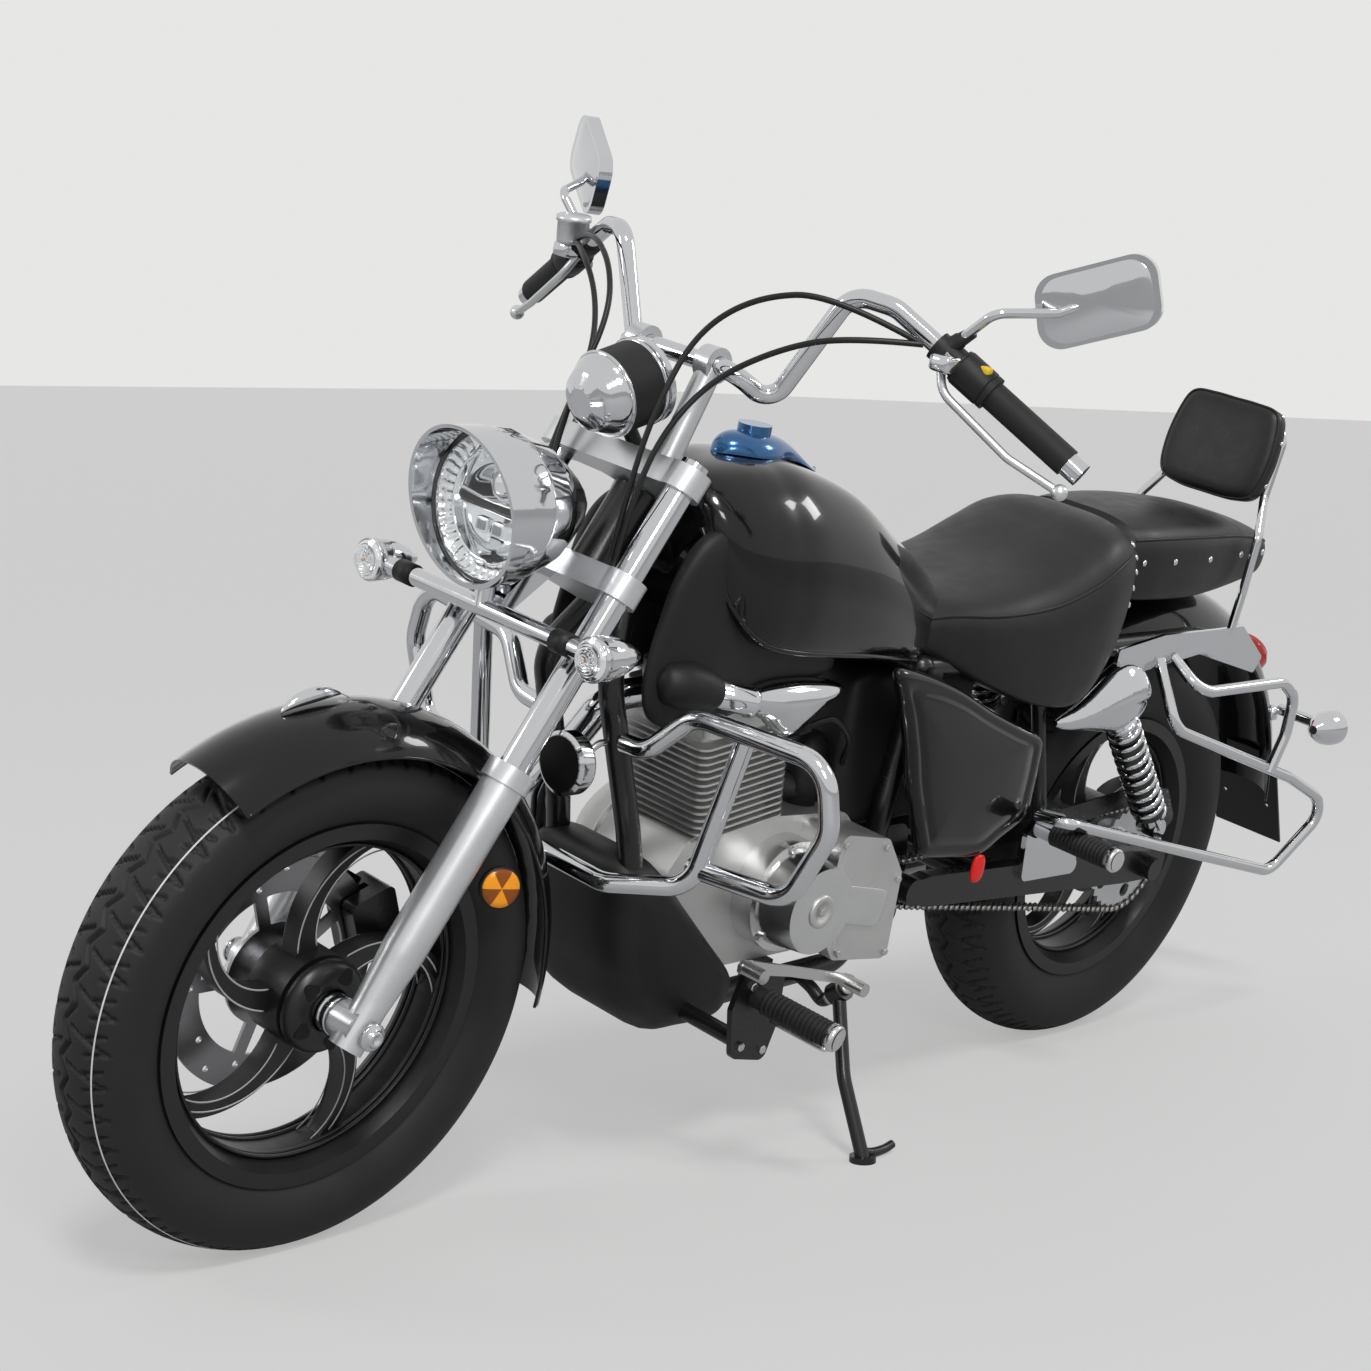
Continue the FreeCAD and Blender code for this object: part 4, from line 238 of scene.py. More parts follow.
@dataclass(frozen=True)
class GlossPaint:
    """Sprayed enamel under clear coat, with faint ripple."""

    name: str
    colour: Colour
    flake: float = 0.0

    def build(self) -> bpy.types.Material:
        """Makes the finish.

        Returns:
            The material.
        """
        sheet = NodeSheet(self.name)
        speck = sheet.noise(900.0, 2.0)
        bright = tuple(min(1.0, part * (1.0 + self.flake) + self.flake * 0.04) for part in self.colour)
        ripple = sheet.noise(14.0, 2.0)
        dust = sheet.noise(60.0, 5.0)
        sheet.set(
            Base_Color=sheet.mix(speck, self.colour, bright),
            Metallic=0.55 if self.flake else 0.0,
            Roughness=0.16 + dust * 0.07,
            Normal=sheet.bump(ripple, 0.04, 0.002),
            Specular_IOR_Level=0.15,
            Coat_Weight=1.0,
            Coat_Roughness=0.03,
            Coat_IOR=1.33,
        )
        return sheet.material


@dataclass(frozen=True)
class Plating:
    """Bright plated metal, with light smears that blur its reflections a little."""

    name: str
    colour: Colour
    roughness: float = 0.05

    def build(self) -> bpy.types.Material:
        """Makes the finish.

        Returns:
            The material.
        """
        sheet = NodeSheet(self.name)
        smear = sheet.noise(22.0, 4.0)
        tint = sheet.mix(sheet.noise(7.0), self.colour, tuple(part * 0.93 for part in self.colour))
        sheet.set(
            Base_Color=tint,
            Metallic=1.0,
            Roughness=self.roughness + smear * 0.05,
            Normal=sheet.bump(sheet.noise(9.0, 2.0), 0.03, 0.002),
        )
        return sheet.material


@dataclass(frozen=True)
class CastMetal:
    """Cast or sprayed metal with a fine sandy skin."""

    name: str
    colour: Colour
    metallic: float
    roughness: float
    grain_mm: float = 1.2
    relief: float = 0.25

    def build(self) -> bpy.types.Material:
        """Makes the finish.

        Returns:
            The material.
        """
        sheet = NodeSheet(self.name)
        sand = sheet.noise(1000.0 / self.grain_mm, 3.0)
        cloud = sheet.noise(18.0, 4.0)
        tint = sheet.mix(cloud, tuple(part * 0.88 for part in self.colour),
            tuple(min(1.0, part * 1.08) for part in self.colour))
        sheet.set(
            Base_Color=tint,
            Metallic=self.metallic,
            Roughness=self.roughness + (cloud - 0.5) * 0.14,
            Normal=sheet.bump(sand, self.relief, 0.0004),
        )
        return sheet.material


@dataclass(frozen=True)
class Moulded:
    """Moulded rubber or plastic with a faint pebble."""

    name: str
    colour: Colour
    roughness: float
    pebble_mm: float = 0.9
    relief: float = 0.2

    def build(self) -> bpy.types.Material:
        """Makes the finish.

        Returns:
            The material.
        """
        sheet = NodeSheet(self.name)
        pebble = sheet.node(
            "ShaderNodeTexVoronoi", {"feature": "SMOOTH_F1"},
            {"Vector": sheet.coordinates(), "Scale": 1000.0 / self.pebble_mm, "Smoothness": 0.6},
        )
        wear = sheet.noise(25.0, 5.0)
        sheet.set(
            Base_Color=sheet.mix(wear, tuple(part * 0.8 for part in self.colour),
            tuple(part * 1.3 for part in self.colour)),
            Roughness=self.roughness + (wear - 0.5) * 0.16,
            Normal=sheet.bump(pebble, self.relief, 0.0003),
            Specular_IOR_Level=0.3,
        )
        return sheet.material


@dataclass(frozen=True)
class Leather:
    """Grained seat leather with soft creases."""

    name: str
    colour: Colour

    def build(self) -> bpy.types.Material:
        """Makes the finish.

        Returns:
            The material.
        """
        sheet = NodeSheet(self.name)
        grain = sheet.node(
            "ShaderNodeTexVoronoi", {"feature": "SMOOTH_F1"},
            {"Vector": sheet.coordinates(), "Scale": 620.0, "Smoothness": 0.35},
        )
        crease = sheet.noise(38.0, 6.0)
        shade = sheet.mix(crease, tuple(part * 0.7 for part in self.colour),
            tuple(part * 1.5 for part in self.colour))
        sheet.set(
            Base_Color=shade,
            Roughness=0.42 + (crease - 0.5) * 0.25,
            Normal=sheet.bump(grain, 0.22, 0.0005, sheet.bump(crease, 0.18, 0.002)),
            Specular_IOR_Level=0.32,
        )
        return sheet.material


@dataclass(frozen=True)
class Clear:
    """Clear or tinted lamp plastic."""

    name: str
    colour: Colour
    roughness: float = 0.02
    transmission: float = 1.0

    def build(self) -> bpy.types.Material:
        """Makes the finish.

        Returns:
            The material.
        """
        sheet = NodeSheet(self.name)
        smear = sheet.noise(30.0, 3.0)
        sheet.set(
            Base_Color=sheet.mix(smear, self.colour, tuple(part * 0.97 for part in self.colour)),
            Roughness=self.roughness + smear * 0.02,
            Transmission_Weight=self.transmission,
            IOR=1.45,
        )
        return sheet.material


class Finish(Enum):
    """The finishes on this motorcycle."""

    BLACK_PAINT = GlossPaint("black_paint", (0.004, 0.004, 0.0045))
    BLUE_PAINT = GlossPaint("blue_metal", (0.012, 0.075, 0.19), 0.8)
    CHROME = Plating("chrome", (0.66, 0.67, 0.69))
    SMOKED_CHROME = Plating("dark_chrome", (0.42, 0.43, 0.45), 0.12)
    REFLECTOR = Plating("reflector", (0.93, 0.94, 0.95), 0.03)
    POLISHED_ALLOY = CastMetal("polished_alloy", (0.68, 0.68, 0.68), 1.0, 0.2, 0.7, 0.08)
    CAST_DARK = CastMetal("dark_casting", (0.05, 0.05, 0.05), 0.6, 0.45, 1.0, 0.2)
    MIRROR_GLASS = Plating("mirror_glass", (0.9, 0.91, 0.92), 0.01)
    SILVER_PAINT = CastMetal("silver_paint", (0.62, 0.63, 0.64), 0.75, 0.32, 0.5, 0.06)
    ENGINE_ALLOY = CastMetal("engine_alloy", (0.58, 0.58, 0.57), 0.85, 0.42, 1.1, 0.3)
    BARE_STEEL = CastMetal("bare_steel", (0.6, 0.6, 0.59), 1.0, 0.25, 0.4, 0.08)
    CHAIN_STEEL = CastMetal("chain_steel", (0.16, 0.15, 0.14), 0.9, 0.4, 0.6, 0.2)
    FRAME_BLACK = CastMetal("frame_black", (0.006, 0.006, 0.006), 0.0, 0.28, 0.8, 0.08)
    WHEEL_BLACK = CastMetal("wheel_black", (0.008, 0.008, 0.0085), 0.1, 0.36, 0.7, 0.12)
    BLACK_PLASTIC = Moulded("black_plastic", (0.009, 0.009, 0.009), 0.5, 0.8, 0.2)
    GRIP_RUBBER = Moulded("grip_rubber", (0.01, 0.01, 0.01), 0.62, 0.6, 0.25)
    TYRE_RUBBER = Moulded("tyre_rubber", (0.013, 0.013, 0.013), 0.6, 0.9, 0.2)
    CABLE_BLACK = Moulded("cable_black", (0.01, 0.01, 0.01), 0.38, 1.4, 0.05)
    SEAT_LEATHER = Leather("seat_leather", (0.009, 0.009, 0.009))
    RED_LAMP = Clear("red_lamp", (0.55, 0.02, 0.015), 0.08, 0.5)
    CLEAR_LENS = Clear("clear_lens", (0.97, 0.98, 0.99))
    AMBER_LENS = Clear("amber_lens", (0.95, 0.36, 0.02), 0.1, 0.45)
    AMBER_FACE = Moulded("amber_face", (0.85, 0.31, 0.012), 0.2, 2.0, 0.03)
    # A darker copy of the amber face: painted shade on alternate wedges of the fork reflectors' prisms
    PAINTED_SHADE_AMBER = Moulded("painted_shade_amber", (0.24, 0.06, 0.006), 0.2, 2.0, 0.03)
    DISC_STEEL = CastMetal("disc_steel", (0.3, 0.3, 0.31), 1.0, 0.3, 0.5, 0.1)
    # Near-black sheet colour: painted shade inside the front hub's windows
    PAINTED_SHADE_WELL = Moulded("painted_shade_well", (0.002, 0.002, 0.002), 0.7, 1.5, 0.1)
    RED_FACE = Moulded("red_face", (0.7, 0.014, 0.012), 0.2, 2.0, 0.03)
    YELLOW_KEY = Moulded("yellow_key", (0.75, 0.5, 0.02), 0.4, 2.0, 0.05)
    WHITE_LINE = Moulded("white_line", (0.62, 0.62, 0.6), 0.55, 2.0, 0.05)
    GREY_LINE = Moulded("grey_line", (0.42, 0.42, 0.42), 0.4, 2.0, 0.02)


class Finishes:
    """Builds each finish once and gives it to pieces."""

    def __init__(self) -> None:
        """Starts with no finish made."""
        self.made: dict[Finish, bpy.types.Material] = {}

    def get(self, finish: Finish) -> bpy.types.Material:
        """The material of a finish.

        Args:
            finish: the finish.

        Returns:
            Its material.
        """
        if finish not in self.made:
            self.made[finish] = finish.value.build()
        return self.made[finish]

    def dress(self, piece: bpy.types.Object, finish: Finish) -> None:
        """Gives a whole piece one finish.

        Args:
            piece: the piece.
            finish: its finish.
        """
        piece.data.materials.clear()
        piece.data.materials.append(self.get(finish))
        if piece.type == "MESH":
            piece.data.polygons.foreach_set("material_index", np.zeros(len(piece.data.polygons), np.int32))


@dataclass
class Chassis:
    """Where the upright bike's millimetres land in the leaned row frame."""

    lean_deg: float = 11.926
    rear_axle_height: float = 307.5
    corner: Array = field(init=False)
    turn: Array = field(init=False)

    def __post_init__(self) -> None:
        """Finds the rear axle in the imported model."""
        lean = math.radians(self.lean_deg)
        cos, sin = math.cos(lean), math.sin(lean)
        self.turn = np.array([[1.0, 0.0, 0.0], [0.0, cos, sin], [0.0, -sin, cos]])
        low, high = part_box("rear_tyre")
        middle = (np.array(low) + np.array(high)) * 0.5
        self.corner = middle - self.turn @ np.array([0.0, 0.0, self.rear_axle_height * 0.001])

    def place(self, points: Array) -> Array:
        """Upright millimetres to leaned metres: the lean's rotation, then the shift to the row's origin."""
        return np.asarray(points, float) * 0.001 @ self.turn.T + self.corner

    def upright(self, points: Array) -> Array:
        """Leaned metres back to upright millimetres."""
        return (np.asarray(points, float) - self.corner) @ self.turn * 1000.0


def closed_curve(points: Array, count: int) -> Array:
    """A closed smooth loop through points.

    Each span is a Catmull-Rom cubic: with neighbours a, b, c, d and t from 0 to 1 between b and c, the point
    is half of 2b + (c - a)t + (2a - 5b + 4c - d)t squared + (3b - a - 3c + d)t cubed.

    Args:
        points: what the loop passes through, one row each.
        count: how many points it has.

    Returns:
        The loop, one row per point.
    """
    points = np.asarray(points, float)
    place = np.arange(count) * len(points) / count
    span = place.astype(int)
    t = (place - span)[:, None]
    a, b, c, d = (points[(span + step) % len(points)] for step in (-1, 0, 1, 2))
    return 0.5 * (2 * b + (c - a) * t + (2 * a - 5 * b + 4 * c - d) * t**2 + (3 * b - a - 3 * c + d) * t**3)


def open_curve(points: Array, count: int) -> Array:
    """The same cubic through points that don't close, with the end points doubled.

    Args:
        points: what the curve passes through, one row each.
        count: how many points it has.

    Returns:
        The curve, one row per point.
    """
    points = np.asarray(points, float)
    last = len(points) - 1
    place = np.linspace(0.0, last, count)
    span = np.minimum(place.astype(int), last - 1)
    shape = (-1,) + (1,) * (points.ndim - 1)
    t = (place - span).reshape(shape)
    a, b, c, d = (points[np.clip(span + step, 0, last)] for step in (-1, 0, 1, 2))
    return 0.5 * (2 * b + (c - a) * t + (2 * a - 5 * b + 4 * c - d) * t**2 + (3 * b - a - 3 * c + d) * t**3)


def unit(vectors: Array) -> Array:
    """Vectors scaled to a length of one."""
    return vectors / np.linalg.norm(vectors, axis=-1, keepdims=True)


def full_turn(count: int) -> Array:
    """Even angles once round, in radians."""
    return np.linspace(0.0, 2 * math.pi, count, endpoint=False)


def add_object(name: str, data: bpy.types.ID) -> bpy.types.Object:
    """A new object of the scene, at the origin.

    Args:
        name: its name.
        data: its mesh, curve, lamp or lens.

    Returns:
        The object.
    """
    made = bpy.data.objects.new(name, data)
    bpy.context.scene.collection.objects.link(made)
    return made


def bend(wave: Array, power: float) -> Array:
    """Each value's size raised to a power, with its sign kept."""
    return np.sign(wave) * np.abs(wave) ** power


def tube(path: Array, radius: Array | float, columns: int = 16, closed: bool = False) -> Array:
    """A round skin along a path.

    Each ring is centre + radius (normal cos v + binormal sin v), with the normal carried along the path so
    that it never spins: the last normal, less its part along the new tangent.

    Args:
        path: the middle line, one row per point.
        radius: one radius, or one per point of the path.
        columns: points round each ring.
        closed: whether the path closes on itself.

    Returns:
        Points shaped (len(path), columns, 3).
    """
    ahead = np.roll(path, -1, 0) - np.roll(path, 1, 0) if closed else np.gradient(path, axis=0)
    tangent = unit(ahead)
    normal = np.empty_like(path)
    seed = np.array([0.0, 0.0, 1.0]) if abs(tangent[0, 2]) < 0.9 else np.array([1.0, 0.0, 0.0])
    for number, heading in enumerate(tangent):
        seed = unit(seed - heading * (seed @ heading))
        normal[number] = seed
    side = np.cross(tangent, normal)
    turn = full_turn(columns)
    reach = np.broadcast_to(np.asarray(radius, float), (len(path),))[:, None, None]
    ring = normal[:, None] * np.cos(turn)[:, None] + side[:, None] * np.sin(turn)[:, None]
    return path[:, None] + reach * ring


def turned(rows: Array, base: Array, axis: Array, columns: int = 48) -> Array:
    """A body of revolution: each row is (along, radius), each point base + axis along + radius on a circle.

    Args:
        rows: (along, radius) pairs.
        base: where along is zero.
        axis: the direction of along.
        columns: points round each ring.

    Returns:
        Points shaped (rows, columns, 3).
    """
    heading = unit(np.asarray(axis, float))
    seed = np.array([0.0, 0.0, 1.0]) if abs(heading[2]) < 0.9 else np.array([1.0, 0.0, 0.0])
    first = unit(np.cross(seed, heading))
    second = np.cross(heading, first)
    turn = full_turn(columns)
    ring = np.cos(turn)[:, None] * first + np.sin(turn)[:, None] * second
    rows = np.asarray(rows, float)
    return np.asarray(base, float) + rows[:, :1, None] * heading + rows[:, 1:, None] * ring


def circle_between(start: Array, middle: Array, end: Array, count: int) -> Array:
    """Points on the circle through three points of a plane, from the first to the last.

    Args:
        start: the first point.
        middle: a point between.
        end: the last point.
        count: how many points it has.

    Returns:
        The arc, shaped (count, 2).
    """
    (ax, ay), (bx, by), (cx, cy) = start, middle, end
    split = 2 * (ax * (by - cy) + bx * (cy - ay) + cx * (ay - by))
    ux = ((ax**2 + ay**2) * (by - cy) + (bx**2 + by**2) * (cy - ay) + (cx**2 + cy**2) * (ay - by)) / split
    uy = ((ax**2 + ay**2) * (cx - bx) + (bx**2 + by**2) * (ax - cx) + (cx**2 + cy**2) * (bx - ax)) / split
    centre = np.array([ux, uy])
    angles = np.unwrap([math.atan2(*(np.asarray(p) - centre)[::-1]) for p in (start, middle, end)])
    turn = np.interp(np.linspace(0, 2, count), [0, 1, 2], angles)
    return centre + np.linalg.norm(np.asarray(start) - centre) * np.stack([np.cos(turn), np.sin(turn)], -1)


class Shop:
    """Makes meshes from arrays and hands them to the frame."""

    def __init__(self, chassis: Chassis, finishes: Finishes) -> None:
        """Keeps the chassis and the finishes at hand."""
        self.chassis = chassis
        self.finishes = finishes

    def mesh(self, name: str, points: Array, faces: list, finish: Finish, body: str,
            smooth: bool = True) -> bpy.types.Object:
        """A piece from points in upright millimetres and faces of point numbers.

        Args:
            name: the piece's name.
            points: one row per vertex.
            faces: lists of vertex numbers, wound anticlockwise seen from outside.
            finish: its finish.
            body: the body that it rides on.
            smooth: whether its faces are shaded smooth.

        Returns:
            The new object, at the origin, riding on its body.
        """
        data = bpy.data.meshes.new(name)
        data.from_pydata(self.chassis.place(points).tolist(), [], faces)
        data.update()
        self.face_out(data)
        data.polygons.foreach_set("use_smooth", np.full(len(data.polygons), smooth))
        piece = add_object(name, data)
        self.finishes.dress(piece, finish)
        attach(piece, body)
        return piece

    def face_out(self, data: bpy.types.Mesh) -> None:
        """Turns a closed mesh's faces outwards where its signed volume is negative.

        Args:
            data: the mesh.
        """
        work = bmesh.new()
        work.from_mesh(data)
        if work.calc_volume(signed=True) < 0:
            bmesh.ops.reverse_faces(work, faces=work.faces)
            work.to_mesh(data)
        work.free()

    def grid(
        self, name: str, sheet: Array, finish: Finish, body: str, around: bool = True, along: bool = False
    ) -> bpy.types.Object:
        """A piece from a grid of points, first index along and second around.

        Args:
            name: the piece's name.
            sheet: points in upright millimetres, shaped (rows, columns, 3).
            finish: its finish.
            body: the body that it rides on.
            around: whether the columns close on themselves.
            along: whether the rows close on themselves; if not, the first and last rows are filled.

        Returns:
            The new object.
        """
        rows, columns = sheet.shape[:2]
        numbers = np.arange(rows * columns).reshape(rows, columns)
        lower = numbers if along else numbers[:-1]
        upper = np.roll(numbers, -1, 0) if along else numbers[1:]
        if around:
            quads = np.stack([lower, np.roll(lower, -1, 1), np.roll(upper, -1, 1), upper], -1).reshape(-1, 4)
        else:
            quads = np.stack([lower[:, :-1], lower[:, 1:], upper[:, 1:], upper[:, :-1]], -1).reshape(-1, 4)
        faces = quads.tolist()
        if not along:
            faces.append(numbers[0][::-1].tolist())
            faces.append(numbers[-1].tolist())
        return self.mesh(name, sheet.reshape(-1, 3), faces, finish, body)

    def sheets(self, name: str, grids: Array, finish: Finish, body: str, closed: bool = True,
            smooth: bool = True) -> bpy.types.Object:
        """Many grids of one size as one piece.

        Args:
            name: the piece's name.
            grids: points in upright millimetres, shaped (count, rows, columns, 3).
            finish: its finish.
            body: the body that it rides on.
            closed: whether each grid's columns close on themselves and its ends are filled.
            smooth: whether faces are shaded smooth.

        Returns:
            The new object.
        """
        count, rows, columns = grids.shape[:3]
        one = np.arange(rows * columns).reshape(rows, columns)
        if closed:
            quads = np.stack([one[:-1], np.roll(one[:-1], -1, 1), np.roll(one[1:], -1, 1), one[1:]], -1)
        else:
            quads = np.stack([one[:-1, :-1], one[:-1, 1:], one[1:, 1:], one[1:, :-1]], -1)
        start = np.arange(count)[:, None] * rows * columns
        faces = (quads.reshape(1, -1, 4) + start[..., None]).reshape(-1, 4).tolist()
        if closed:
            faces += (start + one[0][::-1]).tolist()
            faces += (start + one[-1]).tolist()
        piece = self.mesh(name, grids.reshape(-1, 3), faces, finish, body, smooth)
        if not closed:
            thick = piece.modifiers.new("thick", "SOLIDIFY")
            thick.thickness = 0.0003
        return piece

    def block(self, centre: object, size: object, turn_deg: float = 0.0, power: float = 0.3) -> Array:
        """A rounded box as a grid, turned about the bike's width.

        It is the superellipsoid: x, y, z = half size times (cos u cos v, cos u sin v, sin u), each factor
        raised to a power with its sign kept.

        Args:
            centre: its middle, in upright millimetres.
            size: its full length, width and height.
            turn_deg: how far it is turned.
            power: 0 for a box, 1 for an ellipsoid.

        Returns:
            Points shaped (13, 28, 3).
        """
        u = np.linspace(-1.5, 1.5, 13)[:, None]
        v = full_turn(28)[None, :]
        high, broad = bend(np.sin(u), power), bend(np.cos(u), power)
        shape = np.stack([broad * bend(np.cos(v), power), broad * bend(np.sin(v), power), high + 0 * v], -1)
        points = shape * np.asarray(size, float) * 0.5
        turn = math.radians(turn_deg)
        x, y, z = (points[..., k] for k in range(3))
        spun = np.stack([x * math.cos(turn) + z * math.sin(turn), y,
            z * math.cos(turn) - x * math.sin(turn)], -1)
        return spun + np.asarray(centre, float)

    def around(self, spots: Array, outward: Array, rows: Array, columns: int) -> Array:
        """Grids of small turned shapes, one at each spot; rows are (along the outward direction, radius).

        Args:
            spots: where each shape stands.
            outward: its direction, one row per spot.
            rows: (along, radius) pairs.
            columns: points round each ring.

        Returns:
            Points shaped (spots, rows, columns, 3).
        """
        out = unit(np.asarray(outward, float))
        first = unit(np.cross(out, np.array([0.31, 0.17, 0.93])))
        second = np.cross(out, first)
        turn = full_turn(columns)
        ring = first[:, None, None] * np.cos(turn)[:, None] + second[:, None, None] * np.sin(turn)[:, None]
        return spots[:, None, None] + ring * rows[:, 1, None, None] + out[:, None, None] * rows[:, 0,
            None, None]

    def studs(self, name: str, spots: Array, outward: Array, radius: float = 5.0) -> None:
        """Domed studs: rings of a half ball round each outward direction, flattened to half height.

        Args:
            name: the piece's name.
            spots: where each stud stands.
            outward: which way it faces.
            radius: its radius in millimetres.
        """
        lift = np.linspace(0.0, 1.5, 5)
        rows = np.stack([np.sin(lift) * radius * 0.55, np.cos(lift) * radius], -1)
        self.sheets(name, self.around(spots, outward, rows, 12), Finish.CHROME, "chassis")

    def bolts(
        self, name: str, spots: Array, axis: object, radius: float, height: float, finish: Finish, body: str
    ) -> None:
        """Hex heads with a washer face: six-sided rings along the axis.

        Args:
            name: the piece's name.
            spots: where each bolt stands.
            axis: which way they face.
            radius: out to a corner.
            height: of the head.
            finish: their finish.
            body: the body that they ride on.
        """
        rows = np.array([(-0.5, radius), (height * 0.8, radius), (height, radius * 0.82)])
        outward = np.broadcast_to(np.asarray(axis, float), spots.shape)
        self.sheets(name, self.around(spots, outward, rows, 6), finish, body, smooth=False)

    def tidy(self, piece: bpy.types.Object, angle_deg: float = 32.0) -> None:
        """Shades a piece smooth between its real edges, by merging its points and splitting sharp edges.

        Args:
            piece: the piece.
            angle_deg: edges sharper than this are split.
        """
        piece.data.polygons.foreach_set("use_smooth", np.ones(len(piece.data.polygons), bool))
        weld = piece.modifiers.new("weld", "WELD")
        weld.merge_threshold = 0.00002
        split = piece.modifiers.new("edges", "EDGE_SPLIT")
        split.split_angle = math.radians(angle_deg)
        level = piece.modifiers.new("level", "WEIGHTED_NORMAL")
        level.keep_sharp = True


@dataclass
class Studio:
    """The pale room, its lamps and the camera at the photograph's place."""

    camera_mm: Point = (3189.17, 2322.55, 1014.36)
    yaw_deg: float = -135.9544
    pitch_deg: float = 7.3878
    roll_deg: float = 1.4670
    focal_share: float = 2613.20 / 1371.0
    sensor_mm: float = 36.0
    floor_colour: Colour = (0.5, 0.5, 0.495)
    wall_colour: Colour = (0.8, 0.8, 0.79)
    glow_share: float = 0.5
    ambient: float = 0.4

    def camera(self, chassis: Chassis) -> None:
        """Sets the camera from its fitted place, heading and roll; its place is in leaned millimetres.

        Args:
            chassis: where the model lies.
        """
        yaw, pitch, roll = (math.radians(a) for a in (self.yaw_deg, self.pitch_deg, self.roll_deg))
        ahead = np.array([math.cos(yaw) * math.cos(pitch), math.sin(yaw) * math.cos(pitch), -math.sin(pitch)])
        side = np.cross(ahead, [0.0, 0.0, 1.0])
        side /= np.linalg.norm(side)
        above = np.cross(side, ahead)
        right = math.cos(roll) * side + math.sin(roll) * above
        top = -math.sin(roll) * side + math.cos(roll) * above
        lens = bpy.data.cameras.new("photo_camera")
        lens.sensor_width = self.sensor_mm
        lens.lens = self.focal_share * self.sensor_mm
        lens.clip_end = 60.0
        view = add_object("photo_camera", lens)
        where = np.array(self.camera_mm) * 0.001 + chassis.corner
        turn = np.column_stack([right, top, -ahead])
        placed = np.eye(4)
        placed[:3, :3] = turn
        placed[:3, 3] = where
        view.matrix_world = Matrix(placed.tolist())
        bpy.context.scene.camera = view

    def lamp(self, name: str, place: Point, aim: Point, size: float, power: float) -> None:
        """One square area lamp.

        Args:
            name: its name.
            place: where it hangs.
            aim: what it points at.
            size: its side in metres.
            power: in watts.
        """
        data = bpy.data.lights.new(name, "AREA")
        data.energy = power
        data.size = size
        lamp = add_object(name, data)
        lamp.location = place
        lamp.rotation_euler = (Vector(aim) - Vector(place)).to_track_quat("-Z", "Y").to_euler()

    def sun(self, heading: Point, power: float, blur_deg: float) -> None:
        """A wide soft lamp that lights the whole floor alike.

        Args:
            heading: which way its light falls.
            power: its strength.
            blur_deg: how wide it looks.
        """
        data = bpy.data.lights.new("window", "SUN")
        data.energy = power
        data.angle = math.radians(blur_deg)
        lamp = add_object("window", data)
        lamp.rotation_euler = Vector(heading).to_track_quat("-Z", "Y").to_euler()

    def seen(self, tree: bpy.types.NodeTree, others: tuple[str, ...]) -> bpy.types.NodeSocket:
        """A socket that is one for rays from the camera and for the other kinds named, else zero.

        Args:
            tree: the node tree.
            others: the Light Path outputs that count too.

        Returns:
            The socket.
        """
        path = tree.nodes.new("ShaderNodeLightPath")
        found = path.outputs["Is Camera Ray"]
        for name in others:
            either = tree.nodes.new("ShaderNodeMath")
            either.operation = "MAXIMUM"
            tree.links.new(found, either.inputs[0])
            tree.links.new(path.outputs[name], either.inputs[1])
            found = either.outputs[0]
        return found

    def floor(self) -> None:
        """The pale floor: lit and shadowed, with a share of its own pale colour where the camera sees it."""
        data = bpy.data.meshes.new("floor")
        reach = 40.0
        corners = [(-reach, -reach, 0), (reach, -reach, 0), (reach, reach, 0), (-reach, reach, 0)]
        data.from_pydata(corners, [], [(0, 1, 2, 3)])
        floor = add_object("floor", data)
        sheet = NodeSheet("pale_floor")
        sheet.set(Base_Color=self.floor_colour, Roughness=0.6, Specular_IOR_Level=0.1)
        tree = sheet.tree
        glow = tree.nodes.new("ShaderNodeEmission")
        glow.inputs["Color"].default_value = (*self.wall_colour, 1.0)
        share = tree.nodes.new("ShaderNodeMath")
        share.operation = "MULTIPLY"
        share.inputs[1].default_value = self.glow_share
        tree.links.new(self.seen(tree, ("Is Transmission Ray",)), share.inputs[0])
        mix = tree.nodes.new("ShaderNodeMixShader")
        tree.links.new(share.outputs[0], mix.inputs[0])
        tree.links.new(sheet.shader.outputs[0], mix.inputs[1])
        tree.links.new(glow.outputs[0], mix.inputs[2])
        tree.links.new(mix.outputs[0], sheet.output.inputs[0])
        data.materials.append(sheet.material)

    def world(self) -> None:
        """The pale wall that the camera, metal and glass see, over a weaker light on the object."""
        world = bpy.data.worlds.new("pale_room")
        bpy.context.scene.world = world
        world.use_nodes = True
        tree = world.node_tree
        background = tree.nodes["Background"]
        background.inputs[0].default_value = (0.93, 0.95, 1.0, 1.0)
        background.inputs[1].default_value = self.ambient
        pale = tree.nodes.new("ShaderNodeBackground")
        pale.inputs[0].default_value = (*self.wall_colour, 1.0)
        mix = tree.nodes.new("ShaderNodeMixShader")
        tree.links.new(self.seen(tree, ("Is Glossy Ray", "Is Transmission Ray")), mix.inputs[0])
        tree.links.new(background.outputs[0], mix.inputs[1])
        tree.links.new(pale.outputs[0], mix.inputs[2])
        tree.links.new(mix.outputs[0], tree.nodes["World Output"].inputs[0])

    def room(self) -> None:
        """The floor, the world and the lamps."""
        self.floor()
        self.world()
        self.sun((-0.45, -0.62, -1.0), 1.5, 11.0)
        self.lamp("key", (2.6, 3.2, 2.6), (0.0, 0.0, 0.5), 0.9, 46.0)
        self.lamp("fill", (3.4, -2.4, 2.6), (0.2, 0.0, 0.5), 1.0, 22.0)
        self.lamp("back", (-3.0, 1.8, 2.8), (-0.2, 0.0, 0.5), 0.8, 26.0)


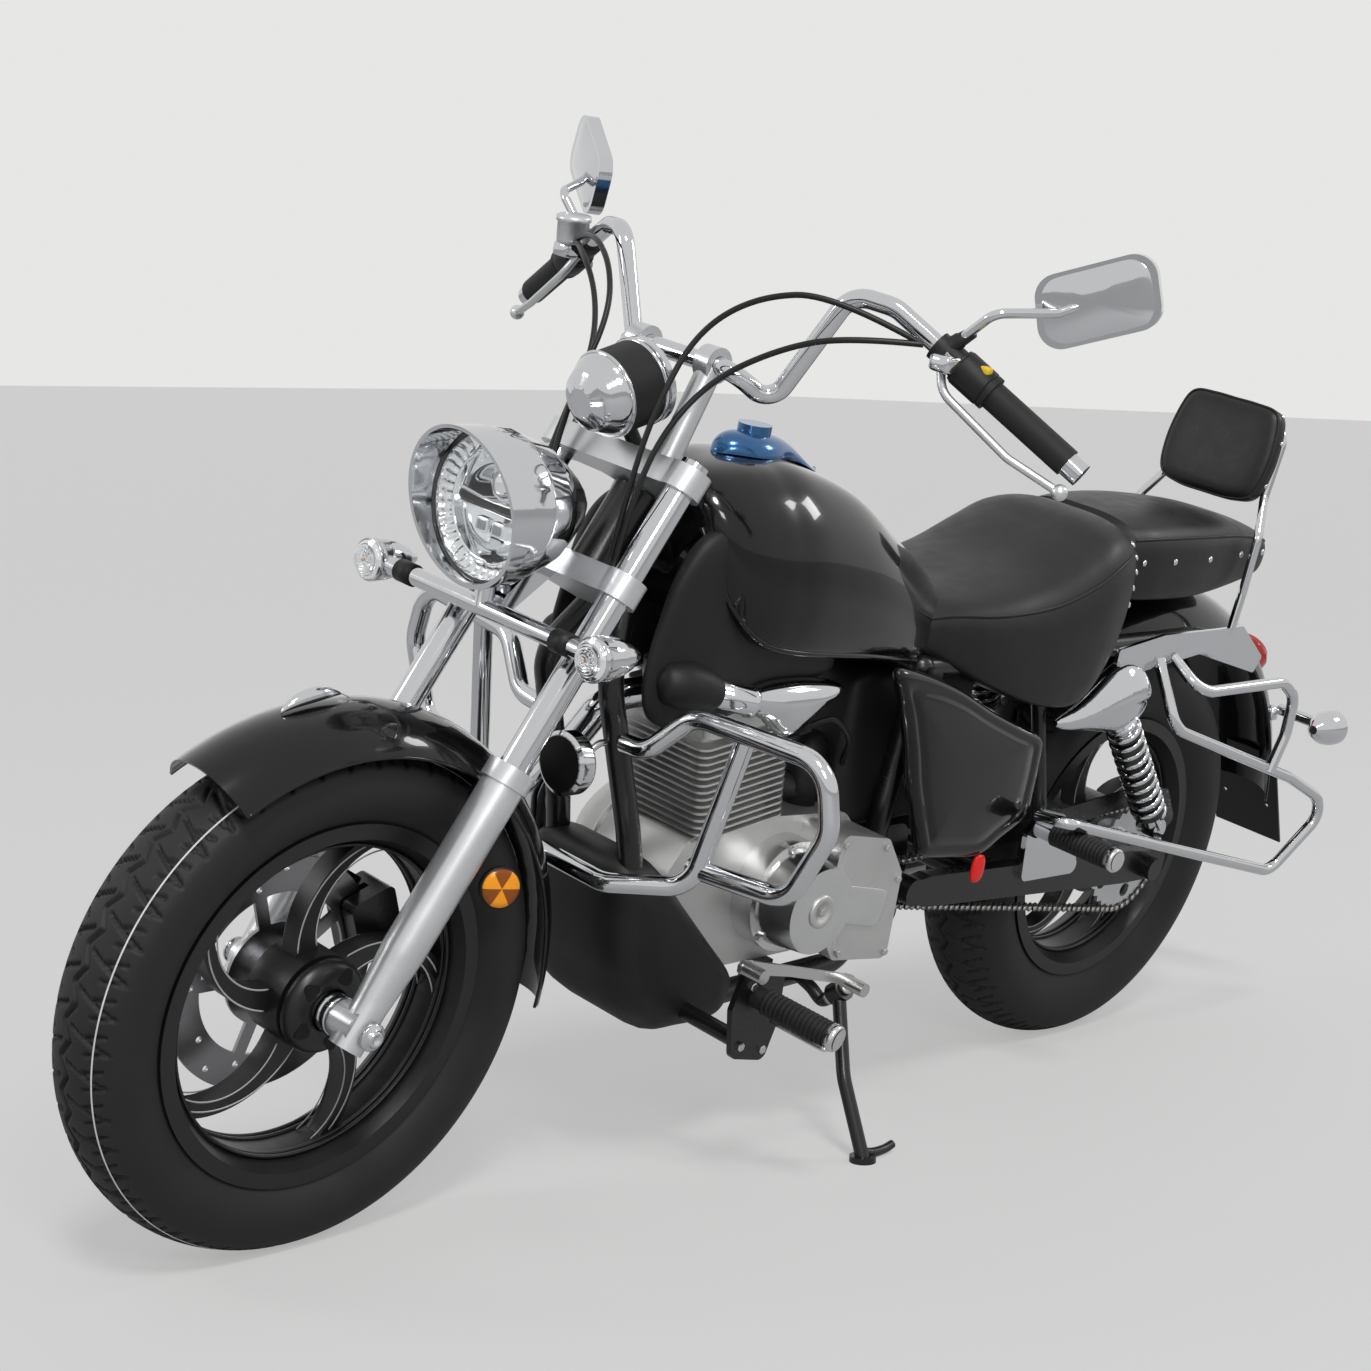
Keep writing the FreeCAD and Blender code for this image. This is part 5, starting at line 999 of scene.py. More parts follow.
@dataclass
class Tyre:
    """A tyre with cut tread, in place of its plain solid."""

    node: str
    body: str
    axle: Point
    radius: float
    half_width: float
    seat: float
    rim_half_width: float
    blocks: int
    crown: float = 78.0
    shoulder_share: float = 0.86
    groove_depth: float = 5.5
    steps: int = 720

    def profile(self) -> Array:
        """Rows of (aside, radius) once round the section, from the left bead over the crown and back inside.

        Returns:
            Points shaped (rows, 2).
        """
        foot = self.rim_half_width - 0.3
        low = self.seat + 12.3
        shoulder = self.half_width * self.shoulder_share
        high = self.radius - self.crown + math.sqrt(self.crown**2 - shoulder**2)
        bulge = self.seat + (self.radius - self.seat) * 0.5
        wall = circle_between((foot, low), (self.half_width, bulge), (shoulder, high), 12)
        aside = np.linspace(shoulder, -shoulder, 60)[1:-1]
        top = np.stack([aside, self.radius - self.crown + np.sqrt(self.crown**2 - aside**2)], -1)
        bead = np.array([(foot, self.seat + 0.3)])
        return np.concatenate([bead, wall, top, wall[::-1] * (-1, 1), bead * (-1, 1)])

    def groove(self, aside: Array, turn: Array) -> Array:
        """How deep the tread is cut, from 0 to 1.

        A zigzag groove runs round the middle, and slanted grooves leave it to each shoulder by turns: each is
        where a saw wave of turn plus slant times distance aside is near its step.

        Args:
            aside: distance from the middle.
            turn: angle round the axle.

        Returns:
            The depth, shaped like turn.
        """
        wave = turn * self.blocks / (2 * math.pi)
        zig = (np.abs((wave % 1.0) - 0.5) - 0.25) * 26.0
        middle = np.clip((3.4 - np.abs(aside - zig)) / 1.2, 0, 1)
        reach = np.abs(aside)
        phase = (wave + np.where(aside > 0, 0.0, 0.5) + reach / 95.0) % 1.0
        pitch = 2 * math.pi * self.radius / self.blocks
        across = np.clip((3.0 - np.abs(phase - 0.5) * pitch) / 1.2, 0, 1)
        across *= (reach > 5.0) & (reach < self.half_width * 0.84)
        second = (wave * 2 + np.where(aside > 0, 0.25, 0.75) - reach / 70.0) % 1.0
        short = np.clip((2.2 - np.abs(second - 0.5) * pitch * 0.5) / 1.1, 0, 1)
        short *= (reach > self.half_width * 0.45) & (reach < self.half_width * 0.8)
        return np.maximum.reduce([middle, across, short])

    def build(self, shop: Shop) -> None:
        """Each point is on a circle of its profile's radius, less the groove there, round the axle.

        Args:
            shop: makes the meshes.
        """
        rows = self.profile()
        turn = full_turn(self.steps)[:, None]
        aside = rows[None, :, 0]
        radius = rows[None, :, 1]
        on_tread = radius > self.radius - self.crown * 0.45
        cut = self.groove(aside + 0 * turn, turn + 0 * aside) * on_tread * self.groove_depth
        reach = radius - cut
        points = np.stack([reach * np.cos(turn), aside + 0 * turn, reach * np.sin(turn)], -1) + self.axle
        points = (points - self.axle) * 0.9998 + self.axle
        tyre = shop.grid(f"{self.node}_tread", points, Finish.TYRE_RUBBER, self.body, around=True, along=True)
        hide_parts(self.node)
        if self.node == "front_tyre":
            self.line(shop)

    def line(self, shop: Shop) -> None:
        """The thin pale line round the left shoulder: a narrow band just off the crown's circle.

        Args:
            shop: makes the meshes.
        """
        turn = full_turn(self.steps)[:, None]
        aside = np.array([[36.4, 38.0]])
        radius = self.radius - self.crown + np.sqrt(self.crown**2 - aside**2) + 0.15
        points = np.stack([radius * np.cos(turn), aside + 0 * turn, radius * np.sin(turn)], -1) + self.axle
        band = shop.grid("front_tyre_line", points, Finish.WHITE_LINE, self.body, around=False, along=True)
        thick = band.modifiers.new("thick", "SOLIDIFY")
        thick.thickness = 0.0004


def stationed(section: tuple, stations: tuple, origin: tuple, size: tuple, rows: int,
        columns: int = 96) -> Array:
    """A smooth body through sections along the bike.

    Each section is one smooth loop, scaled to its station's width and set between its low and high; smooth
    curves then join the sections.

    Args:
        section: (aside, up) shares of one section.
        stations: (along, width, low, high) shares, rear to front.
        origin: where along, aside and up are zero, in upright millimetres.
        size: length, half width and height that the shares multiply.
        rows: how many loops the result has.
        columns: points round each loop.

    Returns:
        Points shaped (rows, columns, 3).
    """
    shape = np.array(section, float)
    table = np.array(stations, float)
    along, broad, low, high = (table[:, k, None] for k in range(4))
    rise = low + shape[:, 1] * (high - low)
    loops = np.stack([along + 0 * shape[:, 0], shape[:, 0] * broad, rise], -1) * size + np.array(origin,
        float)
    return open_curve(np.stack([closed_curve(loop, columns) for loop in loops]), rows)


@dataclass
class Seats:
    """Both saddles with piping and studs, in place of their plain solids."""

    section: Pairs = (
        (0, 1), (0.45, 0.985), (0.8, 0.9), (0.97, 0.7), (1, 0.4), (0.96, 0.08), (0.85, 0), (0.42, 0), (0, 0),
        (-0.42, 0), (-0.85, 0), (-0.96, 0.08), (-1, 0.4), (-0.97, 0.7), (-0.8, 0.9), (-0.45, 0.985),
    )
    rider: Stations = (
        (0, 0.64, 0.645, 0.89), (0.045, 0.82, 0.4, 0.99), (0.16, 0.936, 0.176, 0.99),
        (0.28, 0.974, 0.07, 0.91),
        (0.466, 0.96, 0.1, 0.78), (0.68, 0.885, 0.214, 0.695), (0.864, 0.72, 0.34, 0.645),
        (1, 0.54, 0.42, 0.557),
    )
    pillion: Stations = (
        (0, 0.5, 0.3, 0.53), (0.08, 0.7, 0.19, 0.73), (0.3, 0.83, 0.085, 0.9), (0.6, 0.98, 0.02, 0.99),
        (0.85, 0.98, 0.02, 1), (1, 0.9, 0.03, 0.97),
    )

    def pad(self, shop: Shop, name: str, skin: Array, node: str) -> bpy.types.Object:
        """One closed pad from its skin.

        Args:
            shop: makes the meshes.
            name: the pad's name.
            skin: its grid of points.
            node: the CAD node that it replaces.

        Returns:
            The pad.
        """
        piece = shop.grid(name, skin, Finish.SEAT_LEATHER, "chassis")
        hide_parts(node)
        return piece

    def build(self, shop: Shop) -> None:
        """Both pads, the piping along their upper edges and the studs down their sides.

        Args:
            shop: makes the meshes.
        """
        rider = stationed(self.section, self.rider, (180, 0, 566), (440, 156, 262), 72)
        pillion = stationed(self.section, self.pillion, (-226, 0, 712), (398, 116, 118), 64)
        self.pad(shop, "rider_saddle", rider, "rider_seat")
        self.pad(shop, "pillion_saddle", pillion, "passenger_seat")
        for side, column in (("left", 16), ("right", 80)):
            path = rider[3:-2, column]
            shop.grid(f"rider_piping_{side}", tube(path, 2.4, 8), Finish.SEAT_LEATHER, "chassis")
            path = pillion[4:, column]
            shop.grid(f"pillion_piping_{side}", tube(path, 2.2, 8), Finish.SEAT_LEATHER, "chassis")
        for side, columns in (("left", (14, 17, 20, 23, 26)), ("right", (82, 79, 76, 73, 70))):
            spots = rider[9, list(columns)]
            outward = spots - np.array([spots[:, 0].mean() + 60, 0, 690])
            shop.studs(f"rider_studs_{side}", spots, outward, 5.5)
            row = pillion[14:60:11, 22 if side == "left" else 74]
            shop.studs(f"pillion_studs_{side}", row,
                np.stack([0 * row[:, 0], row[:, 1], 0.2 + 0 * row[:, 0]], -1), 5.0)


@dataclass
class Cable:
    """One control cable, laid from the lever to the steering head."""

    name: str
    right: bool
    shares: Route
    start: Point
    reach: Point = (200.0, 220.0, 300.0)
    diameter: float = 0.007

    def build(self, shop: Shop) -> None:
        """A smooth spline whose control points are the route's points.

        Args:
            shop: makes the meshes.
        """
        flip = np.array([1.0, -1.0 if self.right else 1.0, 1.0])
        points = np.concatenate([[np.zeros(3)], np.array(self.shares)]) * self.reach + np.array(self.start)
        placed = shop.chassis.place(points * flip)
        data = bpy.data.curves.new(self.name, "CURVE")
        data.dimensions = "3D"
        data.bevel_depth = self.diameter * 0.5
        data.bevel_resolution = 4
        data.use_fill_caps = True
        spline = data.splines.new("NURBS")
        spline.points.add(len(placed) - 1)
        spline.points.foreach_set("co", np.column_stack([placed, np.ones(len(placed))]).ravel())
        spline.order_u = 3
        spline.use_endpoint_u = True
        spline.resolution_u = 12
        piece = add_object(self.name, data)
        shop.finishes.dress(piece, Finish.CABLE_BLACK)
        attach(piece, "steering")
        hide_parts("cables")


@dataclass
class Backrest:
    """The small padded backrest with its ring of studs, in place of its plain solid."""

    foot: Point = (-113.0, 0.0, 842.0)
    half_width: float = 92.0
    height: float = 146.0
    lean_deg: float = 14.0
    shares: Pairs = (
        (-0.5, 0.01), (0, 0), (0.5, 0.01), (0.88, 0.1), (0.99, 0.42), (0.93, 0.8), (0.78, 0.97),
        (0.4, 1.0), (0, 1.0),
        (-0.4, 1.0), (-0.78, 0.97), (-0.93, 0.8), (-0.99, 0.42), (-0.88, 0.1),
    )
    rows: Pairs = (
        (-2, 0.02), (-1.8, 0.25), (-1, 0.5), (0, 0.72), (1.6, 0.86), (4.5, 0.94), (9, 0.985), (17, 1),
        (27, 0.995),
        (33, 0.96), (36.4, 0.88), (37.8, 0.7), (38, 0.4), (38, 0.02),
    )

    def lean(self, points: Array) -> Array:
        """Points drawn upright, turned back about the pad's foot and set in place.

        Args:
            points: in the pad's own frame.

        Returns:
            The same points on the upright bike.
        """
        angle = math.radians(self.lean_deg)
        x, y, z = (points[..., k] for k in range(3))
        turned_points = np.stack([x * math.cos(angle) - z * math.sin(angle), y,
            x * math.sin(angle) + z * math.cos(angle)], -1)
        return turned_points + self.foot

    def build(self, shop: Shop) -> None:
        """Each row is the smooth outline, drawn in towards its middle by the row's share, at the row's depth.

        Args:
            shop: makes the meshes.
        """
        loop = closed_curve(np.array(self.shares) * (self.half_width, self.height), 96)
        middle = np.array([0.0, self.height * 0.5])
        table = np.array(self.rows)
        flat = middle + (loop[None] - middle) * table[:, 1, None, None]
        depth = np.broadcast_to(-table[:, :1], flat.shape[:2])
        skin = self.lean(np.concatenate([depth[..., None], flat], -1))
        pad = shop.grid("backrest_pad", skin, Finish.SEAT_LEATHER, "chassis")
        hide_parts("backrest")
        spots = loop[8::8]
        spots = spots[spots[:, 1] > self.height * 0.16]
        heading = np.column_stack([np.zeros(len(spots)), spots - middle])
        places = self.lean(np.column_stack([np.full(len(spots), -24.0), spots * 0.998]))
        shop.studs("backrest_studs", places, self.lean(heading) - self.foot, 4.2)
        edge = middle + (loop - middle) * 0.985
        ring = self.lean(np.column_stack([np.full(len(edge), -8.0), edge]))
        shop.grid("backrest_piping", tube(ring, 2.0, 8, closed=True), Finish.SEAT_LEATHER, "chassis",
            along=True)


@dataclass
class Headlamp:
    """The reflector, beaded ring, dark cross bar and two lower cells behind the headlight's glass."""

    rim: Point = LAMP_RIM
    bowl: Route = (
        (-2, 83, 0), (-7, 81, 0.2), (-12, 78, 1.1), (-15, 74, 1.1), (-17, 70, 1.1), (-18, 66, 1.1),
        (-17, 63, 0.4),
        (-11, 62, 0), (-9, 60, 0), (-11, 58, 0), (-24, 55, 0), (-32, 48, 0), (-38, 38, 0), (-42, 26, 0),
        (-44, 12, 0),
        (-45, 0.5, 0), (-52, 0.5, 0), (-50, 24, 0), (-46, 43, 0), (-36, 58, 0), (-33, 64, 0),
        (-22, 76, 0), (-6, 83.6, 0),
    )
    beads: int = 44
    bar_half_length: float = 56.0

    def build(self, shop: Shop) -> None:
        """A bowl of revolution whose ring is beaded: along = profile + height cos(beads times the angle).

        Args:
            shop: makes the meshes.
        """
        table = np.array(self.bowl)
        columns = self.beads * 6
        skin = turned(table[:, :2], self.rim, (1, 0, 0), columns)
        turn = full_turn(columns)
        skin[..., 0] += table[:, 2:] * np.cos(turn * self.beads)
        shop.grid("headlamp_bowl", skin, Finish.REFLECTOR, "steering", along=True)
        ring = [(-3, 83.4), (-1, 83.4), (-0.5, 80), (-3, 79)]
        shop.grid("headlamp_bezel", turned(ring, self.rim, (1, 0, 0), 72), Finish.BLACK_PLASTIC,
            "steering", along=True)
        self.bar(shop, "headlamp_bar", 0.0, 3.4, Finish.BLACK_PLASTIC)
        self.bar(shop, "headlamp_bar_upper_edge", 5.2, 1.4, Finish.REFLECTOR)
        self.bar(shop, "headlamp_bar_lower_edge", -5.2, 1.4, Finish.REFLECTOR)
        self.cells(shop)

    def bar(self, shop: Shop, name: str, rise: float, tall: float, finish: Finish) -> None:
        """One cross bar: an ellipse carried across the bowl, bowed back at its ends and growing taller there.

        Args:
            shop: makes the mesh.
            name: the piece's name.
            rise: how far the bar lies above the lamp's middle.
            tall: half its height at the middle.
            finish: its finish.
        """
        across = np.linspace(-1, 1, 25)[:, None]
        turn = full_turn(16)[None, :]
        grow = 1.0 + 0.5 * across**2
        x = self.rim[0] - 15 + 3.4 * np.cos(turn) - 4.0 * across**2
        y = across * self.bar_half_length + 0 * turn
        z = self.rim[2] + (rise + tall * np.sin(turn)) * grow
        shop.grid(name, np.stack([x, y, z], -1), finish, "steering")

    def cells(self, shop: Shop) -> None:
        """Two bright square cells with dark middles under the bar, and one round dome above it.

        Args:
            shop: makes the meshes.
        """
        middle = np.array(self.rim)
        spots = (middle + (-20, 13, -24), middle + (-20, -13, -24))
        cells = np.stack([shop.block(spot, (9, 20, 17), power=0.2) for spot in spots])
        shop.sheets("headlamp_cells", cells, Finish.REFLECTOR, "steering")
        eyes = np.stack([shop.block(spot + (4.6, 0, 0), (1.4, 14, 11), power=0.3) for spot in spots])
        shop.sheets("headlamp_cell_eyes", eyes, Finish.SMOKED_CHROME, "steering")
        turn = np.linspace(0, 1.5, 10)
        dome = np.column_stack([-30 + 13 * np.sin(turn), 21 * np.cos(turn)])
        dome_skin = turned(dome, middle + (0, 0, 26), (1, 0, 0), 40)
        shop.grid("headlamp_dome", dome_skin, Finish.REFLECTOR, "steering")


@dataclass
class SignalLenses:
    """Ringed clear lenses over amber bulbs, on the front signals."""

    front: Point = SIGNAL_FACE
    radius: float = 24.6

    def build(self, shop: Shop) -> None:
        """Each lens is turned from a dome with ripples: along = rise (1 - s squared) + ripple cos(rings s).

        Args:
            shop: makes the meshes.
        """
        share = np.linspace(1, 0.02, 30)
        dome = 12.5 * (1 - share**2.4) + 0.45 * np.cos(share * 44.0)
        face = np.column_stack([dome + 1.5, share * self.radius])
        rows = np.concatenate([[(-1.0, self.radius * 0.02), (-1.0, self.radius)], face])
        for side in (1, -1):
            base = np.array(self.front) * (1, side, 1)
            word = "left" if side > 0 else "right"
            shop.grid(f"signal_lens_{word}", turned(rows, base, (1, 0, 0), 48), Finish.CLEAR_LENS, "steering")
            bulb = np.column_stack([7.0 * np.sin(np.linspace(0, 1.56, 8)),
                8.5 * np.cos(np.linspace(0, 1.56, 8))])
            shop.grid(
                f"signal_bulb_{word}", turned(bulb, base + (0.6, 0, 0), (1, 0, 0), 24), Finish.AMBER_LENS,
                "steering",
            )
            ring = [(-7, 25.4), (1.6, 25.4), (2.4, 24.4), (1.2, 23.6), (-7, 24.2)]
            shop.grid(f"signal_ring_{word}", turned(ring, base, (1, 0, 0), 48), Finish.CHROME, "steering",
                along=True)


@dataclass
class Gauge:
    """The speedometer's bezel rings, dial and glass."""

    front: Point = GAUGE_FRONT
    tilt_deg: float = 17.0
    length: float = 100.0
    radius: float = 49.0

    def build(self, shop: Shop) -> None:
        """Turned rings round the pod, and marks at equal angles on a dial that faces the rider.

        Args:
            shop: makes the meshes.
        """
        tilt = math.radians(self.tilt_deg)
        axis = np.array([-math.cos(tilt), 0, math.sin(tilt)])
        base = np.array(self.front)
        ring = np.array([(-2.5, 0.6), (0, 2.4), (2.5, 0.6), (2.5, -1), (-2.5, -1)], float)
        for name, along in (("front", 37.0), ("rear", 88.0)):
            rows = ring + (along, self.radius)
            shop.grid(f"gauge_ring_{name}", turned(rows, base, axis, 64), Finish.CHROME, "steering",
                along=True)
        turn = np.radians(np.linspace(-130, 130, 27))
        level = np.array([0.0, 1.0, 0.0])
        above = np.cross(axis, level)
        long = np.where(np.arange(27) % 3 == 0, 7.0, 4.0)
        dial = base + axis * (self.length + 0.4)
        radial = level * np.sin(turn)[:, None] + above * np.cos(turn)[:, None]
        aside = level * np.cos(turn)[:, None] - above * np.sin(turn)[:, None]
        corner = np.array([(-0.5, 0), (0.5, 0), (0.5, 1), (-0.5, 1)])
        marks = (
            dial + radial[:, None] * (36 - corner[:, 1] * long[:, None])[..., None]
            + aside[:, None] * corner[:, 0][None, :, None] * 1.3
        )
        shop.sheets("gauge_marks", marks.reshape(27, 2, 2, 3), Finish.WHITE_LINE, "steering", closed=False)
        glass = [(self.length + 0.8, 44), (self.length + 2.0, 40), (self.length + 2.6, 0.5),
            (self.length + 1.2, 0.5)]
        shop.grid("gauge_glass", turned(glass, base, axis, 48), Finish.CLEAR_LENS, "steering", along=True)


@dataclass
class SpokeLines:
    """Pale pinstripes along both edges of every spoke, on both faces of a wheel, and ribs in its rim."""

    node: str
    body: str
    axle: Point
    hub: float
    rim_inner: float
    start_deg: float
    sweep_deg: float = 34.0
    inset: float = 2.2
    width: float = 2.0
    thickness: float = 26.0

    def build(self, shop: Shop) -> None:
        """Each line is the circle through three points near the edge, widened both ways along its normal.

        Args:
            shop: makes the meshes.
        """
        strips = []
        root = self.hub + 4.0
        tip = self.rim_inner - 2.0
        middle = (self.hub + self.rim_inner) * 0.5
        bow = self.sweep_deg * 0.3
        span = np.linspace(0, 2, 30)
        for number in range(5):
            start = self.start_deg + number * 72.0
            for sign in (1, -1):
                wide = sign * (15.0 - self.inset)
                slim = sign * (11.0 - self.inset)
                three = []
                for radius, turn_deg, aside in ((root, 0, wide), (middle, bow, slim),
                        (tip, self.sweep_deg, wide)):
                    angle = math.radians(start + turn_deg)
                    ahead = np.array([math.cos(angle), math.sin(angle)])
                    three.append(ahead * radius + np.array([-ahead[1], ahead[0]]) * aside)
                line = circle_between(*three, len(span))
                heading = unit(np.gradient(line, axis=0))
                normal = np.stack([-heading[:, 1], heading[:, 0]], -1)
                edge = np.stack([line - normal * self.width * 0.5, line + normal * self.width * 0.5], 1)
                for face in (1, -1):
                    level = np.full(edge.shape[:2], face * (self.thickness * 0.5 + 0.25))
                    strips.append(np.stack([edge[..., 0], level, edge[..., 1]], -1) + self.axle)
        shop.sheets(f"{self.node}_lines", np.stack(strips), Finish.GREY_LINE, self.body, closed=False)
        rib = np.array([(-2.4, 1), (-1.6, -2.4), (1.6, -2.4), (2.4, 1)])
        for number, aside in enumerate((-27, -19, 19, 27)):
            rows = rib + (aside, self.rim_inner)
            skin = turned(rows, self.axle, (0, 1, 0), 120)
            shop.grid(f"{self.node}_rib_{number}", skin, Finish.WHEEL_BLACK, self.body, along=True)


@dataclass
class Springs:
    """Coil springs wound round both shocks."""

    foot: Point = SHOCK_FOOT
    reach: Point = SHOCK_REACH
    coil_radius: float = 22.0
    wire_radius: float = 4.2
    turns: float = 11.0

    def build(self, shop: Shop) -> None:
        """Each spring is a tube along a helix round the shock's axis.

        Args:
            shop: makes the meshes.
        """
        axis = unit(np.array(self.reach))
        length = float(np.linalg.norm(self.reach))
        first = np.array([0.0, 1.0, 0.0])
        second = np.cross(axis, first)
        share = np.linspace(0, 1, int(self.turns * 28))[:, None]
        turn = share * self.turns * 2 * math.pi
        along = 34 + share * (length - 78)
        path = axis * along + (first * np.cos(turn) + second * np.sin(turn)) * self.coil_radius
        for side, word in SIDES:
            base = np.array(self.foot)
            skin = tube(path + base, self.wire_radius, 10) * (1, side, 1)
            shop.grid(f"shock_spring_{word}", skin, Finish.CHROME, "chassis")


@dataclass
class ChainLinks:
    """The drive chain, link by link, in place of its plain loop."""

    rear: tuple[float, float] = (0.0, 307.5)
    front: tuple[float, float] = (600.0, 344.0)
    rear_radius: float = 82.0
    front_radius: float = 26.0
    plane: float = 86.0
    pitch: float = 12.7
    plate_thickness: float = 1.3

    def path(self) -> Array:
        """Points round the loop: outer tangents between two circles, and the far arc of each.

        Returns:
            The closed loop, shaped (points, 2).
        """
        gap = np.array(self.front) - self.rear
        reach = float(np.linalg.norm(gap))
        tilt = math.atan2(gap[1], gap[0])
        open_turn = math.acos((self.rear_radius - self.front_radius) / reach)
        rear_turn = np.linspace(tilt + open_turn, tilt + 2 * math.pi - open_turn, 90)
        front_turn = np.linspace(tilt - open_turn, tilt + open_turn, 50)
        rear = np.array(self.rear) + self.rear_radius * np.stack([np.cos(rear_turn), np.sin(rear_turn)], -1)
        front = np.array(self.front) + self.front_radius * np.stack([np.cos(front_turn),
            np.sin(front_turn)], -1)
        return np.concatenate([rear, front, rear[:1]])

    def build(self, shop: Shop) -> None:
        """Pins at even steps along the loop; each link is two waisted plates, alternately inner and outer.

        Args:
            shop: makes the meshes.
        """
        loop = self.path()
        step = np.concatenate([[0], np.cumsum(np.linalg.norm(np.diff(loop, axis=0), axis=1))])
        count = int(round(step[-1] / self.pitch / 2)) * 2
        place = np.arange(count + 1) * step[-1] / count
        pins = np.stack([np.interp(place, step, loop[:, 0]), np.interp(place, step, loop[:, 1])], -1)
        heading = unit(np.diff(pins, axis=0))
        normal = np.stack([-heading[:, 1], heading[:, 0]], -1)
        shape = np.array(
            [(-0.28, 0.25), (0.0, 0.42), (0.28, 0.3), (0.5, 0.24), (0.72, 0.3), (1.0, 0.42), (1.28, 0.25),
            (1.28, -0.25),
             (1.0, -0.42), (0.72, -0.3), (0.5, -0.24), (0.28, -0.3), (0.0, -0.42), (-0.28, -0.25)]
        ) * step[-1] / count
        flat = pins[:-1, None] + heading[:, None] * shape[:, :1] + normal[:, None] * shape[:, 1:]
        outer = (np.arange(count) % 2 == 0)[:, None]
        plates = []
        for side in (1, -1):
            near = np.where(outer, 4.2, 2.9) * side + 0 * flat[..., 0]
            faces = [
                np.stack([flat[..., 0], self.plane + near + side * depth, flat[..., 1]], -1)
                for depth in (0.0, self.plate_thickness)
            ]
            plates.append(np.stack(faces, 1))
        links = shop.sheets("chain_plates", np.concatenate(plates), Finish.CHAIN_STEEL, "chassis")
        turn = full_turn(10)
        ring = np.stack([np.cos(turn), np.sin(turn)], -1)
        rows = []
        for aside in (-5.9, 5.9):
            spot = pins[:-1, None] + ring * 3.4
            rows.append(np.stack([spot[..., 0], np.full(spot.shape[:2], self.plane + aside),
                spot[..., 1]], -1))
        rollers = shop.sheets("chain_pins", np.stack(rows, 1), Finish.BARE_STEEL, "chassis")
        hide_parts("chain")
        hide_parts("chain")


